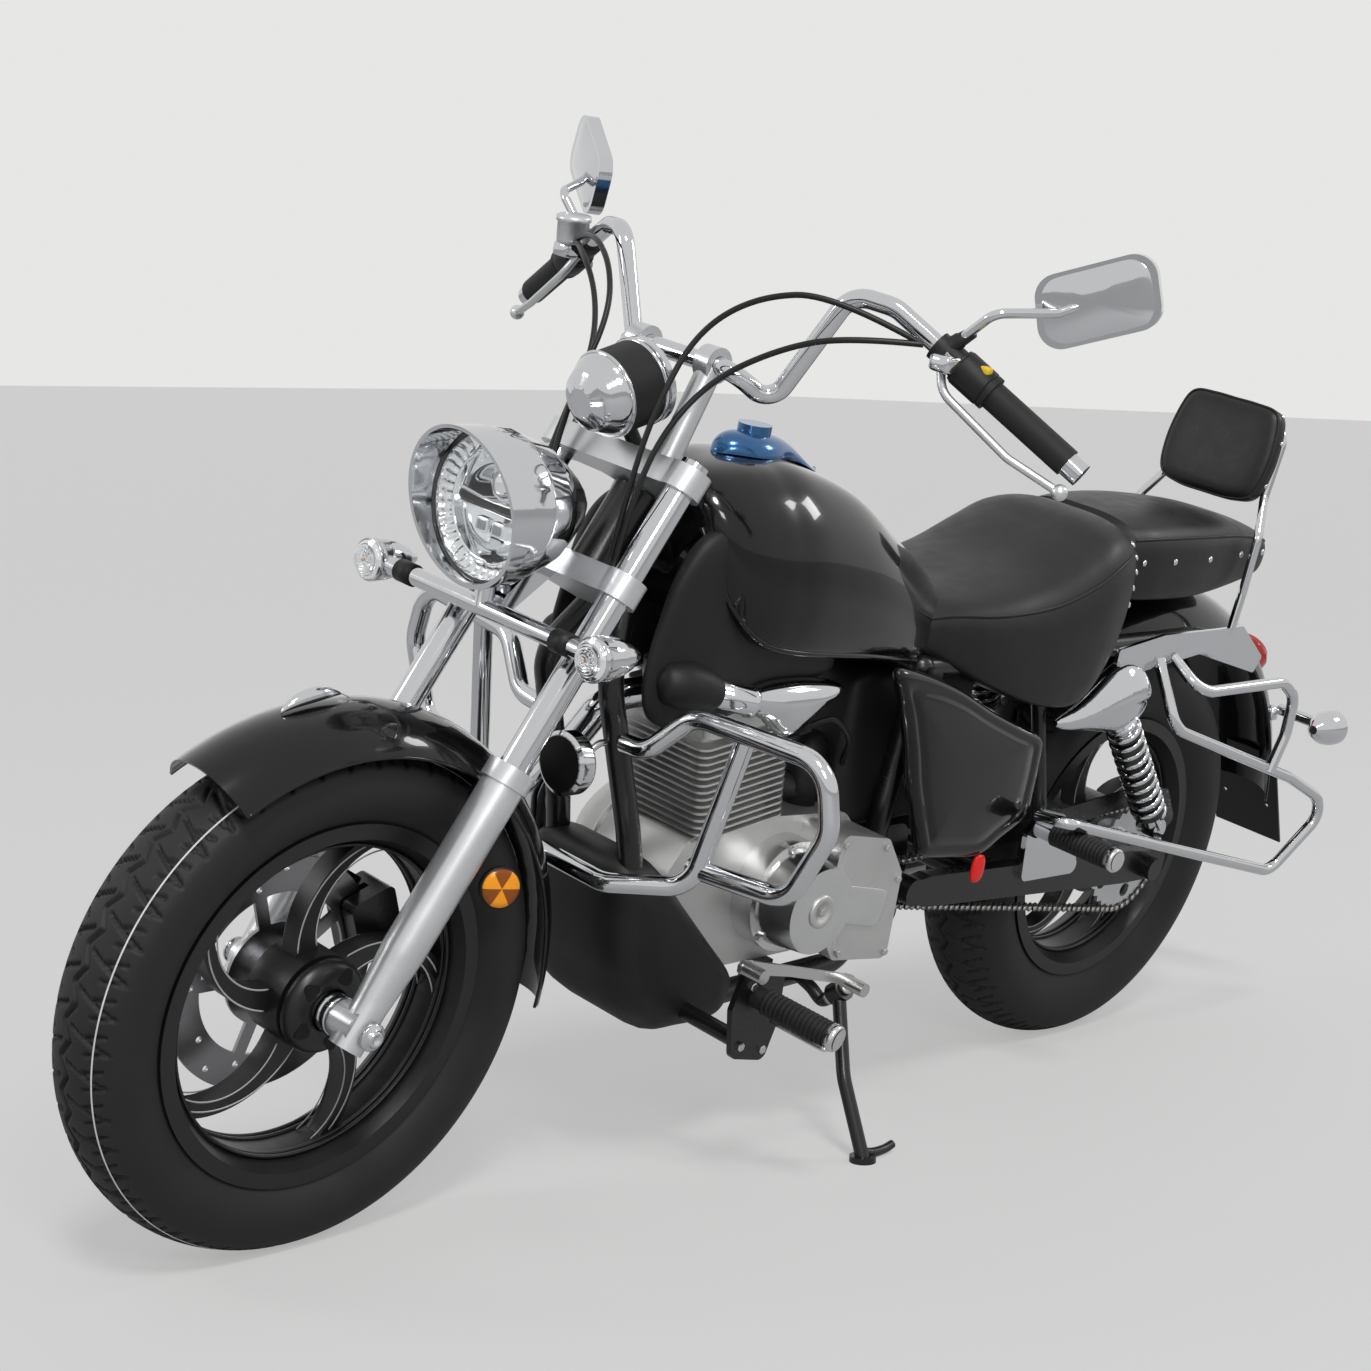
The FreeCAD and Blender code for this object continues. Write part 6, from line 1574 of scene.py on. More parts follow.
@dataclass
class EngineTrim:
    """Bolts, a raised panel, the right cover and the carburettor with its pipe and lead, on the engine."""

    crank: Point = CRANK
    right_outline: Pairs = (
        (652, 358), (660, 312), (692, 280), (738, 268), (790, 267), (842, 268), (888, 282), (920, 316),
        (930, 358),
        (918, 404), (880, 438), (830, 450), (776, 450), (716, 446), (676, 424), (656, 396),
    )

    def bolts(self, shop: Shop) -> None:
        """Six hex heads round the crank, a round cap with its bolt, and six heads on the cover behind.

        Args:
            shop: makes the meshes.
        """
        crank = np.array(self.crank)
        turn = np.radians(np.arange(6) * 60 + 15)
        ring = np.stack([np.cos(turn), 0 * turn, np.sin(turn)], -1)
        shop.bolts("generator_bolts", crank + (0, 101.5, 0) + ring * 69.0, (0, 1, 0), 4.2, 4.5,
            Finish.BARE_STEEL, "chassis")
        cap = [(0, 0.5), (0, 22), (2.0, 22), (3.2, 20), (3.2, 13), (1.2, 12), (1.2, 0.5)]
        shop.grid("generator_cap", turned(cap, crank + (0, 153.3, 0), (0, 1, 0), 40), Finish.ENGINE_ALLOY,
            "chassis")
        shop.bolts("cap_bolt", (crank + (0, 154.2, 0))[None], (0, 1, 0), 6.0, 3.0, Finish.BARE_STEEL,
            "chassis")
        share = np.array([(0.05, 0.06), (0.7, 0.13), (0.92, 0.38), (0.87, 0.95), (0.31, 0.88), (0.07, 0.62)])
        base = crank + (-174, 0, -98)
        spots = np.stack([base[0] + share[:, 0] * 150, np.full(6, 135.6), base[2] + share[:, 1] * 184], -1)
        shop.bolts("cover_bolts", spots, (0, 1, 0), 5.0, 5.0, Finish.BARE_STEEL, "chassis")

    def panel(self, shop: Shop) -> None:
        """The cover's raised lozenge, a rounded block."""
        block = shop.block((665.0, 137.0, 345.0), (92, 5, 52), turn_deg=-12)
        shop.sheets("cover_panel", block[None], Finish.POLISHED_ALLOY, "chassis")

    def clutch_side(self, shop: Shop) -> None:
        """One smooth cover over both discs on the right, with bolts round its flange and a round cap.

        Args:
            shop: makes the meshes.
        """
        outline = np.array(self.right_outline, float)
        middle = np.array((789.0, 359.0))
        rows = np.array([
            (98, 0.02), (98, 1.05), (104, 1.05), (106, 1), (138, 0.975), (147, 0.94), (153, 0.88),
            (156, 0.8), (157.5, 0.6), (158, 0.02),
        ])
        skin = pillow(outline, middle, rows) * (1, -1, 1)
        shop.grid("clutch_side", skin, Finish.ENGINE_ALLOY, "chassis")
        flange = middle + (outline[::2] - middle) * 1.025
        spots = np.insert(flange, 1, -103.6, axis=1)
        shop.bolts("clutch_side_bolts", spots, (0, -1, 0), 4.6, 5.0, Finish.BARE_STEEL, "chassis")
        cap = [(0, 0.5), (0, 34), (1.6, 34), (3, 32), (3, 22), (1.4, 21), (1.4, 0.5)]
        skin = turned(cap, (840, -157.2, 362), (0, -1, 0), 40)
        shop.grid("clutch_side_cap", skin, Finish.POLISHED_ALLOY, "chassis")

    def carburettor(self, shop: Shop) -> None:
        """The dark body and round cap behind the cylinder, on the intake side.

        Args:
            shop: makes the meshes.
        """
        body = [(0, 0.5), (0, 24), (30, 24), (34, 30), (74, 30), (78, 26), (96, 26), (100, 20), (108, 18),
            (108, 0.5)]
        skin = turned(body, (690, 18, 436), (0, 0, 1), 32)
        shop.grid("carburettor", skin, Finish.BLACK_PLASTIC, "chassis")
        pipe = open_curve([(700, 18, 470), (735, 14, 480), (760, 8, 486), (790, 2, 486)], 24)
        shop.grid("intake_pipe", tube(pipe, 17.0, 20), Finish.CAST_DARK, "chassis")
        lead = open_curve(
            np.array([(775, 74, 575), (742, 92, 590), (700, 90, 560), (668, 62, 520), (640, 40, 500)],
            float), 60
        )
        shop.grid("plug_lead", tube(lead, 3.6, 10), Finish.CABLE_BLACK, "chassis")
        cap = [(0, 0.5), (0, 7), (22, 7.5), (30, 6), (30, 0.5)]
        skin = turned(cap, (786, 62, 566), (-0.45, 0.75, 0.5), 18)
        shop.grid("plug_cap", skin, Finish.BLACK_PLASTIC, "chassis")

    def build(self, shop: Shop) -> None:
        """Everything on the engine.

        Args:
            shop: makes the meshes.
        """
        self.bolts(shop)
        self.panel(shop)
        self.clutch_side(shop)
        self.carburettor(shop)


def pillow(outline: Array, middle: Array, rows: Array, count: int = 160) -> Array:
    """A closed cushion over an outline in the bike's side view.

    Each row is the smooth outline drawn in towards a middle point by a share, at a distance aside.

    Args:
        outline: (ahead, up) points of the outline, in upright millimetres.
        middle: the (ahead, up) point that it is drawn in towards.
        rows: (aside, share) pairs, from the inner face round the edge to the outer face.
        count: points round the outline.

    Returns:
        Points shaped (rows, count, 3).
    """
    loop = closed_curve(outline, count)
    rows = np.asarray(rows)
    flat = middle + (loop[None] - middle) * rows[:, 1, None, None]
    aside = np.broadcast_to(rows[:, :1], flat.shape[:2])
    return np.stack([flat[..., 0], aside, flat[..., 1]], -1)


@dataclass
class TankSkin:
    """The teardrop tank with its rolled lower lip and the blue cover's lid."""

    section: Pairs = (
        (0, 1), (0.5, 0.958), (0.86, 0.7), (1, 0.36), (0.97, 0.1), (0.84, 0), (0.42, 0), (0, 0),
        (-0.42, 0), (-0.84, 0),
        (-0.97, 0.1), (-1, 0.36), (-0.86, 0.7), (-0.5, 0.958),
    )
    stations: Stations = (
        (0, 0.245, 0, 0.097), (0.091, 0.448, 0.041, 0.345), (0.195, 0.615, 0.09, 0.507),
        (0.334, 0.783, 0.134, 0.666),
        (0.509, 0.923, 0.19, 0.867), (0.7, 1, 0.234, 0.986), (0.8, 0.985, 0.262, 0.999),
        (0.857, 0.95, 0.3, 0.998),
        (0.9, 0.9, 0.36, 0.99), (0.94, 0.83, 0.45, 0.975), (0.97, 0.725, 0.58, 0.955),
        (0.988, 0.6, 0.7, 0.93),
        (0.994, 0.5, 0.77, 0.91),
    )
    origin: Point = (448.0, 0.0, 622.0)
    size: Point = (574.0, 143.0, 290.0)
    lip_column: int = 46

    def build(self, shop: Shop) -> None:
        """The lip is a tube along the lower corner of the tank's sections.

        Args:
            shop: makes the meshes.
        """
        body = stationed(self.section, self.stations, self.origin, self.size, 120, 140)
        tank = shop.grid("tank_skin", body, Finish.BLACK_PAINT, "chassis")
        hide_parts("fuel_tank")
        path = open_curve(body[10:116:5, self.lip_column], 160)
        for side, word in SIDES:
            lip = tube(path, 3.8, 12) * (1, side, 1)
            shop.grid(f"tank_lip_{word}", lip, Finish.BLACK_PAINT, "chassis")
        lid = [(0, 0.5), (0, 19), (2.4, 19), (4.2, 17), (4.2, 9), (5.4, 8), (5.4, 0.5)]
        spot = (540 + 312 - 92 + 184 * 0.66, 0, 622 + 254 + 39)
        shop.grid("filler_lid", turned(lid, spot, (0, 0, 1), 40), Finish.BLUE_PAINT, "chassis")


@dataclass
class BellyCover:
    """The rounded plastic cover under the engine's front."""

    outline: Pairs = (
        (1059, 400), (1052, 426), (1026, 432), (998, 424), (940, 368), (880, 310), (824, 255), (815, 228),
        (825, 200),
        (856, 190), (910, 191), (956, 193), (985, 207), (1010, 229), (1030, 268), (1045, 302), (1054, 350),
    )
    middle: tuple[float, float] = (968.0, 300.0)
    rows: Pairs = (
        (-98, 0.02), (-98, 0.66), (-96, 0.76), (-90, 0.85), (-80, 0.925), (-66, 0.975), (-46, 1),
        (-20, 1), (20, 1),
        (46, 1), (66, 0.975), (80, 0.925), (90, 0.85), (96, 0.76), (98, 0.66), (98, 0.02),
    )

    def build(self, shop: Shop) -> None:
        """Each row is the smooth side outline scaled by its share about one middle.

        Args:
            shop: makes the meshes.
        """
        skin = pillow(self.outline, self.middle, self.rows, 180)
        cover = shop.grid("belly_skin", skin, Finish.BLACK_PLASTIC, "chassis")
        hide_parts("belly_cover")


@dataclass
class Shroud:
    """The soft-edged dark mouldings under the tank's front and their ducts, and the bright scoops."""

    outline: Pairs = (
        (1000, 846), (1036, 826), (1060, 786), (1072, 738), (1080, 694), (1081, 652), (1066, 618),
        (1034, 603),
        (985, 605), (930, 616), (860, 634), (800, 648), (768, 660), (764, 676), (768, 692), (800, 702),
        (860, 716),
        (915, 748), (955, 792), (978, 832),
    )
    middle: tuple[float, float] = (990.0, 690.0)
    rows: Pairs = (
        (0, 0.02), (0, 0.9), (1.5, 0.985), (5, 1), (12, 1), (19, 0.985), (24, 0.95), (27, 0.89),
        (28.6, 0.8), (29.4, 0.6),
        (29.6, 0.3), (29.6, 0.02),
    )
    inner: float = 78.0
    duct: Route = (
        (1070, 90, 664), (1062, 93, 664), (1042, 100, 662), (1018, 107, 658), (1002, 112, 654),
        (996, 113, 652.5),
    )
    duct_radius: tuple[float, ...] = (4.0, 21.0, 28.0, 27.0, 23.5, 21.5)
    scoop: Pairs = (
        (942, 644), (927, 653), (896, 659), (852, 660), (808, 656), (776, 649), (768, 642), (780, 634),
        (806, 616),
        (834, 598), (856, 588), (872, 592), (903, 612), (932, 626),
    )
    scoop_middle: tuple[float, float] = (862.0, 632.0)
    scoop_rows: Pairs = (
        (108.6, 0.02), (108.6, 0.94), (110, 1), (118, 1), (125, 0.94), (131, 0.82), (136, 0.64),
        (139.4, 0.42),
        (141, 0.2), (141.4, 0.02),
    )

    def build(self, shop: Shop) -> None:
        """The cushion thins to the front: its distance aside falls by half with the square of the way ahead.

        Args:
            shop: makes the meshes.
        """
        skin = pillow(self.outline, self.middle, self.rows)
        ahead = np.clip((skin[..., 0] - 985.0) / 90.0, 0, 1)
        skin[..., 1] = self.inner + skin[..., 1] * (1.0 - 0.55 * ahead**2)
        line = open_curve(self.duct, 40)
        wide = open_curve(np.array(self.duct_radius)[:, None], 40)[:, 0]
        duct = tube(line, wide, 40)
        neck = [(0, 0.5), (0, 16.5), (2, 19.4), (6, 19.4), (8, 17.6), (62, 17.6), (62, 0.5)]
        drop = pillow(self.scoop, self.scoop_middle, self.scoop_rows, 140)
        for side, word in SIDES:
            panel = shop.grid(f"shroud_{word}", skin * (1, side, 1), Finish.BLACK_PLASTIC, "chassis")
            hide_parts("tank_shrouds")
            shop.grid(f"shroud_duct_{word}", duct * (1, side, 1), Finish.BLACK_PLASTIC, "chassis")
            collar = turned(neck, (936, 122, 639), (1, -0.1, 0.23), 40) * (1, side, 1)
            shop.grid(f"scoop_neck_{word}", collar, Finish.CHROME, "chassis")
            scoop = shop.grid(f"scoop_{word}", drop * (1, side, 1), Finish.CHROME, "chassis")
            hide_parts("air_scoops")


@dataclass
class SideCovers:
    """The domed gloss covers under the seat, in place of their plain solids."""

    outline: Pairs = (
        (690, 663), (668, 620), (641, 561), (622, 510), (602, 469), (577, 420), (560, 399), (500, 390),
        (441, 386),
        (400, 405), (352, 432), (345, 470), (345, 520), (352, 545), (400, 564), (480, 596), (560, 632),
        (640, 658),
    )
    middle: tuple[float, float] = (510.0, 510.0)
    rows: Pairs = (
        (126, 0.02), (126, 0.9), (127.5, 0.985), (131, 1), (136, 1), (141, 0.985), (144.4, 0.95),
        (145.8, 0.9),
        (145.8, 0.87), (144.6, 0.845), (144.8, 0.82), (147.5, 0.78), (149, 0.7), (150.4, 0.4), (150.6, 0.02),
    )
    posts: Route = ((590.5, 112.8, 647.0), (452.0, 112.0, 400.0))

    def build(self, shop: Shop) -> None:
        """A cushion with a shallow channel round its raised middle, on two rubber posts.

        Args:
            shop: makes the meshes.
        """
        skin = pillow(self.outline, self.middle, self.rows, 200)
        post = [(0, 0.5), (0, 7), (4, 8.5), (14, 8.5), (14, 0.5)]
        for side, word in SIDES:
            cover = shop.grid(f"side_cover_{word}", skin * (1, side, 1), Finish.BLACK_PAINT, "chassis")
            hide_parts("side_covers")
            for number, spot in enumerate(self.posts):
                place = turned(post, spot, (0, 1, 0), 24) * (1, side, 1)
                shop.grid(f"cover_post_{word}_{number}", place, Finish.GRIP_RUBBER, "chassis")


@dataclass
class Carriers:
    """What carries the horn, the side stand and the rear signals, the stand's toe and the dark box inside."""

    def build(self, shop: Shop) -> None:
        """A flat strap to the horn, a pin and a bent lug for the stand, and a foot under each signal's arm.

        Args:
            shop: makes the meshes.
        """
        strap = open_curve([(1100, 57.5, 582), (1112, 57.5, 581), (1124, 57.2, 573), (1130, 57, 566)], 16)
        shop.grid("horn_strap", tube(strap, 4.2, 12), Finish.BARE_STEEL, "chassis")
        pivot = np.array((690.0, 140.0, 226.0))
        axis = unit(np.array((0.0, 1.0, 1.0)))
        pin = [(-10, 0.5), (-10, 9.5), (-2, 9.5), (-2, 5.5), (23, 5.5), (23, 9.5), (28, 8.5), (28, 0.5)]
        shop.grid("stand_pin", turned(pin, pivot, axis, 24), Finish.BARE_STEEL, "chassis")
        lug = open_curve([(693, 84, 228), (692, 104, 222), (690, 122, 212), (690, 134, 219)], 24)
        shop.grid("stand_lug", tube(lug, 8.5, 16), Finish.FRAME_BLACK, "chassis")
        toe = np.array([
            (716, 238.6, 89.5), (720, 250.1, 73.6), (718, 258.1, 65.0), (706, 261.8, 61.9),
            (682, 261.9, 61.3), (664, 261.2, 64.7),
        ])
        skin = tube(open_curve(toe, 40), np.linspace(8.0, 5.5, 40), 16)
        shop.grid("stand_toe", skin, Finish.FRAME_BLACK, "side_stand")
        box = shop.block((531, 0, 524), (262, 116, 222), power=0.25)
        shop.sheets("air_box", box[None], Finish.BLACK_PLASTIC, "chassis")
        foot = [(-2, 0.5), (-2, 12.5), (6, 12.5), (11, 10.5), (11, 0.5)]
        for side, word in SIDES:
            skin = turned(foot, (-341.5, 72.0, 498.6), (-0.4, 0.88, 0.25), 24) * (1, side, 1)
            shop.grid(f"signal_foot_{word}", skin, Finish.CHROME, "chassis")


@dataclass
class FenderTrim:
    """The bright spear on the front fender's crown and the beads along both fenders' edges."""

    axle: Point = FRONT_AXLE

    def build(self, shop: Shop) -> None:
        """The spear follows the crown; its radius falls to nothing at both ends.

        Args:
            shop: makes the meshes.
        """
        share = np.linspace(0, 1, 40)
        turn = np.radians(76 + 15 * share)
        reach = 343.0 + 11.0 * np.sin(share * math.pi) ** 0.6
        path = np.stack([np.cos(turn) * reach, 0 * turn, np.sin(turn) * reach], -1) + self.axle
        radius = 0.6 + 8.0 * np.sin(np.clip(share * 1.15, 0, 1) * math.pi) ** 0.8
        shop.grid("fender_spear", tube(path, radius, 16), Finish.CHROME, "steering")
        for name, body, centre, edge, aside, start, sweep in (
            ("front", "steering", self.axle, 298.6, 68.6, 57.0, 131.0),
            ("rear", "chassis", (-30.0, 0.0, 300.0), 356.6, 79.0, 50.0, 122.0),
        ):
            turn = np.radians(np.linspace(start, start + sweep, 120))
            for side, word in SIDES:
                bead = np.stack([np.cos(turn) * edge, np.full(120, side * aside), np.sin(turn) * edge],
                    -1) + centre
                shop.grid(f"{name}_fender_bead_{word}", tube(bead, 2.0, 10), Finish.BLACK_PAINT, body)


@dataclass
class Reflectors:
    """Amber reflectors on the fork legs, red ones on the side covers, and sleeves on the signals' bar."""

    def build(self, shop: Shop) -> None:
        """The amber ones are turned, a dark cup and a lens whose wedges alternate between amber and a darker
        copy of it, painted shade of its prisms; the red ones are blocks.

        Args:
            shop: makes the meshes.
        """
        cup = [(0, 0.5), (0, 24), (7, 24), (7, 0.5)]
        lens = [(6.6, 0.5), (6.6, 22.5), (9.0, 22), (10.4, 16), (10.8, 0.5)]
        for side, word in SIDES:
            spot = np.array((1287, 112 * side, 449))
            axis = (0.35, 0.93 * side, 0.1)
            shop.grid(f"fork_reflector_cup_{word}", turned(cup, spot, axis, 32), Finish.BLACK_PLASTIC,
                "steering")
            disc = shop.grid(f"fork_reflector_{word}", turned(lens, spot, axis, 36), Finish.AMBER_FACE,
                "steering")
            # Every other wedge of the lens gets the darker amber: painted shade of the reflector's prisms
            disc.data.materials.append(shop.finishes.get(Finish.PAINTED_SHADE_AMBER))
            shade_wedge = (np.arange(len(disc.data.polygons)) % 36 // 6 % 2).astype(np.int32)
            disc.data.polygons.foreach_set("material_index", shade_wedge)
            sleeve = [(-13, 10.4), (-13, 13.2), (13, 13.2), (13, 10.4)]
            skin = turned(sleeve, (1271.2, 134 * side, 738), (0, 1, 0), 32)
            shop.grid(f"signal_sleeve_{word}", skin, Finish.BLACK_PLASTIC, "steering", along=True)
            oval = shop.block((446, 147 * side, 371), (26, 9, 40), power=0.75)
            shop.sheets(f"side_reflector_{word}", oval[None], Finish.RED_FACE, "chassis")


@dataclass
class BarTrim:
    """Keys and bands on the switch boxes, the mirrors' boots, the levers' perches and the brake fluid cup."""

    tip: Point = GRIP_TIP
    heading: Point = GRIP_HEADING

    def spot(self, back: float) -> Array:
        """A point on the grip's line, a distance back from the tip."""
        return np.array(self.tip) - np.array(self.heading) * back

    def build(self, shop: Shop) -> None:
        """The keys and perches are rounded blocks; the bands, boots and cup are turned.

        Args:
            shop: makes the meshes.
        """
        heading = np.array(self.heading)
        above = unit(np.array([0.0, 0.0, 1.0]) - heading * heading[2])
        behind = np.cross(above, heading)
        for side, word in SIDES:
            flip = (1, side, 1)
            for number, (back, out, up_share, size, finish) in enumerate((
                (133, 19.5, 1.02, (11, 15, 9), Finish.YELLOW_KEY if side > 0 else Finish.RED_LAMP),
                (145, 20, 0.35, (7, 10, 7), Finish.BLACK_PLASTIC),
                (150, 20, -0.35, (8, 12, 10), Finish.GREY_LINE),
            )):
                away = unit(behind * math.cos(up_share * 2) + above * math.sin(up_share * 2))
                button = shop.block(self.spot(back) + away * out, size, power=0.5)
                shop.sheets(f"switch_key_{word}_{number}", (button * flip)[None], finish, "steering")
            rim = [(-19, 20.8), (-17, 21.4), (17, 21.4), (19, 20.8), (19, 19), (-19, 19)]
            band = turned(rim, self.spot(139), heading, 40) * flip
            shop.grid(f"switch_band_{word}", band, Finish.BLACK_PLASTIC, "steering", along=True)
            boot = [(0, 0.5), (0, 11), (9, 11), (10, 9.6), (22, 9.2), (24, 8), (40, 6.6), (40, 0.5)]
            skin = turned(boot, (926.5, 293, 1102), (-0.18, 0.73, 0.67), 24) * flip
            shop.grid(f"mirror_boot_{word}", skin, Finish.BLACK_PLASTIC, "steering")
            perch = shop.block(self.spot(170) - behind * 20 - above * 4, (30, 30, 20), power=0.45) * flip
            shop.sheets(f"lever_perch_{word}", perch[None], Finish.CHROME, "steering")
            pivot = self.spot(170) - behind * 26 + above * 5
            shop.bolts(f"lever_pivot_{word}", pivot[None] * flip, above * flip, 6.0, 4.0,
                Finish.BARE_STEEL, "steering")
        cup = [(0, 0.5), (0, 19), (4, 20), (26, 20), (27, 22), (33, 22), (34, 20), (34, 0.5)]
        spot = (self.spot(176) + (22, 0, 4)) * (1, -1, 1)
        shop.grid("brake_cup", turned(cup, spot, (0.1, 0, 1), 32), Finish.SILVER_PAINT, "steering")


@dataclass
class SmallBolts:
    """The bolts of the brake disc and of the sprocket."""

    def build(self, shop: Shop) -> None:
        """Rings of hex heads round each axle.

        Args:
            shop: makes the meshes.
        """
        turn = np.radians(np.arange(6) * 60)
        ring = np.stack([np.cos(turn), 0 * turn, np.sin(turn)], -1)
        front = np.array(FRONT_AXLE)
        rear = np.array(REAR_AXLE)
        shop.bolts("disc_bolts", front + (0, -64.6, 0) + ring * 54, (0, -1, 0), 5, 4, Finish.BARE_STEEL,
            "front_wheel")
        shop.bolts("sprocket_bolts", rear + (0, 89.2, 0) + ring[:5] * 50, (0, 1, 0), 6, 5,
            Finish.BARE_STEEL, "rear_wheel")


@dataclass
class FrontHub:
    """The front hub's domed cover with five windows, each a near-black patch of painted shade, its bright
    spacer and both axle ends.
    """

    axle: Point = FRONT_AXLE
    window: float = 9.6
    ring: float = 39.5

    def build(self, shop: Shop) -> None:
        """Turned covers; each window is a thin near-black prism on the cover, painted shade for its opening,
        and its edge is a circle whose radius swells three times round.

        Args:
            shop: makes the meshes.
        """
        cover = [(34.3, 24), (34.3, 55), (38, 55.6), (43, 54), (48.6, 50), (51.2, 45), (51.4, 38),
            (51.4, 26), (50, 24)]
        axle = np.array(self.axle)
        shop.grid("hub_cover", turned(cover, axle, (0, 1, 0), 72), Finish.WHEEL_BLACK, "front_wheel",
            along=True)
        place = np.radians(np.arange(5) * 72.0 + 42.0)[:, None, None]
        turn = full_turn(40)[None, None, :]
        reach = self.window * (1 + 0.13 * np.cos(3 * (turn - place)))
        level = np.array([48.0, 51.9])[None, :, None]
        x = self.ring * np.cos(place) + reach * np.cos(turn)
        z = self.ring * np.sin(place) + reach * np.sin(turn)
        windows = np.stack(np.broadcast_arrays(x, level, z), -1) + axle
        # Near-black prisms laid on the cover: painted shade where the hub's windows open
        shop.sheets("hub_window_shade", windows, Finish.PAINTED_SHADE_WELL, "front_wheel", smooth=False)
        spacer = [(52.4, 20.4), (52.4, 23), (58, 23), (59, 21.6), (63, 21.6), (64, 23), (70, 23), (70, 20.4)]
        end = [(0, 0.5), (0, 16), (3, 16), (4.2, 14.6), (4.2, 9.4), (9, 9.4), (10, 8.4), (10, 5),
            (7, 4.6), (7, 0.5)]
        for side, word in SIDES:
            flip = (1, side, 1)
            if side > 0:
                shop.grid("hub_spacer", turned(spacer, axle, (0, 1, 0), 48), Finish.CHROME, "steering",
                    along=True)
            cap = turned(end, axle + (0, 124.4, 0), (0, 1, 0), 36) * flip
            shop.grid(f"axle_end_{word}", cap, Finish.CHROME, "steering")


@dataclass
class PegTrim:
    """Ribbed rubbers and bright end caps on the foot pegs, and the bolts on their plates."""

    front: Route = ((920.0, 200.0, 291.0), PEG_TIP)
    rear: Route = ((282.0, 125.0, 400.0), REAR_PEG_TIP)
    pitch: float = 6.4

    def build(self, shop: Shop) -> None:
        """A rubber is turned from a row of square ribs, and a cap closes its outer end.

        Args:
            shop: makes the meshes.
        """
        for name, (start, tip), first in (("front", self.front, 18.0), ("rear", self.rear, 22.0)):
            start, tip = np.array(start), np.array(tip)
            length = float(np.linalg.norm(tip - start))
            steps = np.arange(first, length - 16.0, self.pitch)
            rib = np.array([(0.0, 14.3), (0.7, 16.6), (3.7, 16.6), (4.4, 14.3)])
            rows = (steps[:, None, None] * (1, 0) + rib).reshape(-1, 2)
            rows = np.concatenate([[(rows[0, 0], 0.5)], rows, [(rows[-1, 0], 0.5)]])
            cap = np.array([(-13, 0.5), (-13, 16.8), (-4, 17.2), (-1.5, 15.6), (-1.5, 0.5)]) + (length, 0)
            for side, word in SIDES:
                flip = (1, side, 1)
                rubber = turned(rows, start, tip - start, 28) * flip
                shop.grid(f"{name}_peg_rubber_{word}", rubber, Finish.GRIP_RUBBER, "chassis")
                end = turned(cap, start, tip - start, 28) * flip
                shop.grid(f"{name}_peg_cap_{word}", end, Finish.POLISHED_ALLOY, "chassis")
        for side, word in SIDES:
            flip = (1, side, 1)
            bar = shop.block((906, 268, 266), (11, 92, 7), power=0.3) * flip
            shop.sheets(f"front_peg_bar_{word}", bar[None], Finish.POLISHED_ALLOY, "chassis")
            spots = np.array([(893, 204.1, 217), (934, 204.1, 228), (931, 204.1, 306),
                (886, 204.1, 286)]) * flip
            shop.bolts(f"peg_plate_bolts_{word}", spots, (0, side, 0), 6.0, 4.5, Finish.BARE_STEEL, "chassis")


@dataclass
class MirrorBacks:
    """The domed bright shells on the mirrors' front sides."""

    middle: Point = MIRROR_MIDDLE
    across: Point = (-0.4009, 0.7867, 0.4695)
    above: Point = (0.2131, -0.4183, 0.8829)
    ahead: Point = MIRROR_AHEAD
    outline: Pairs = (
        (-51.8, -46.6), (-6, -48.6), (40.5, -50), (53.1, -42.3), (59.5, -29), (63.8, 1.6), (61.9, 15.6),
        (53, 26.4),
        (39.7, 30.8), (-2, 32.5), (-44, 34), (-58, 30.6), (-67.8, 20.1), (-72.6, 1), (-75.9, -23.7),
        (-70.4, -37),
    )
    rows: Pairs = (
        (4, 0.02), (4, 0.97), (12, 0.985), (14.5, 0.96), (16.6, 0.88), (18.6, 0.72), (20.6, 0.5),
        (21.6, 0.25), (21.8, 0.02),
    )
    centre: tuple[float, float] = (-6.0, -8.5)

    def build(self, shop: Shop) -> None:
        """Each row is the smooth outline scaled by a share, raised along the mirror's own heading.

        Args:
            shop: makes the meshes.
        """
        loop = closed_curve(np.array(self.outline) - self.centre, 120)
        table = np.array(self.rows)
        flat = loop[None] * table[:, 1, None, None] + self.centre
        skin = flat[..., :1] * np.array(self.across) + flat[..., 1:] * np.array(self.above)
        skin = skin + table[:, 0, None, None] * np.array(self.ahead) + self.middle
        for side, word in SIDES:
            shop.grid(f"mirror_back_{word}", skin * (1, side, 1), Finish.CHROME, "steering")


@dataclass(frozen=True)
class Zone:
    """Part of a node, by distance along an axis and from it, in upright millimetres."""

    node: str
    finish: Finish
    base: Point
    axis: Point
    low: float = -5000.0
    high: float = 5000.0
    inner: float = 0.0
    outer: float = 5000.0

    def picks(self, centres: Array) -> Array:
        """Which face centres lie in the zone; the right-hand side is folded onto the left.

        Args:
            centres: face centres in upright millimetres.

        Returns:
            One truth value per face.
        """
        spots = centres * (1, 0, 1) + np.abs(centres) * (0, 1, 0) - self.base
        heading = unit(np.array(self.axis, float))
        along = spots @ heading
        away = np.linalg.norm(spots - along[:, None] * heading, axis=1)
        return (along > self.low) & (along < self.high) & (away >= self.inner) & (away < self.outer)


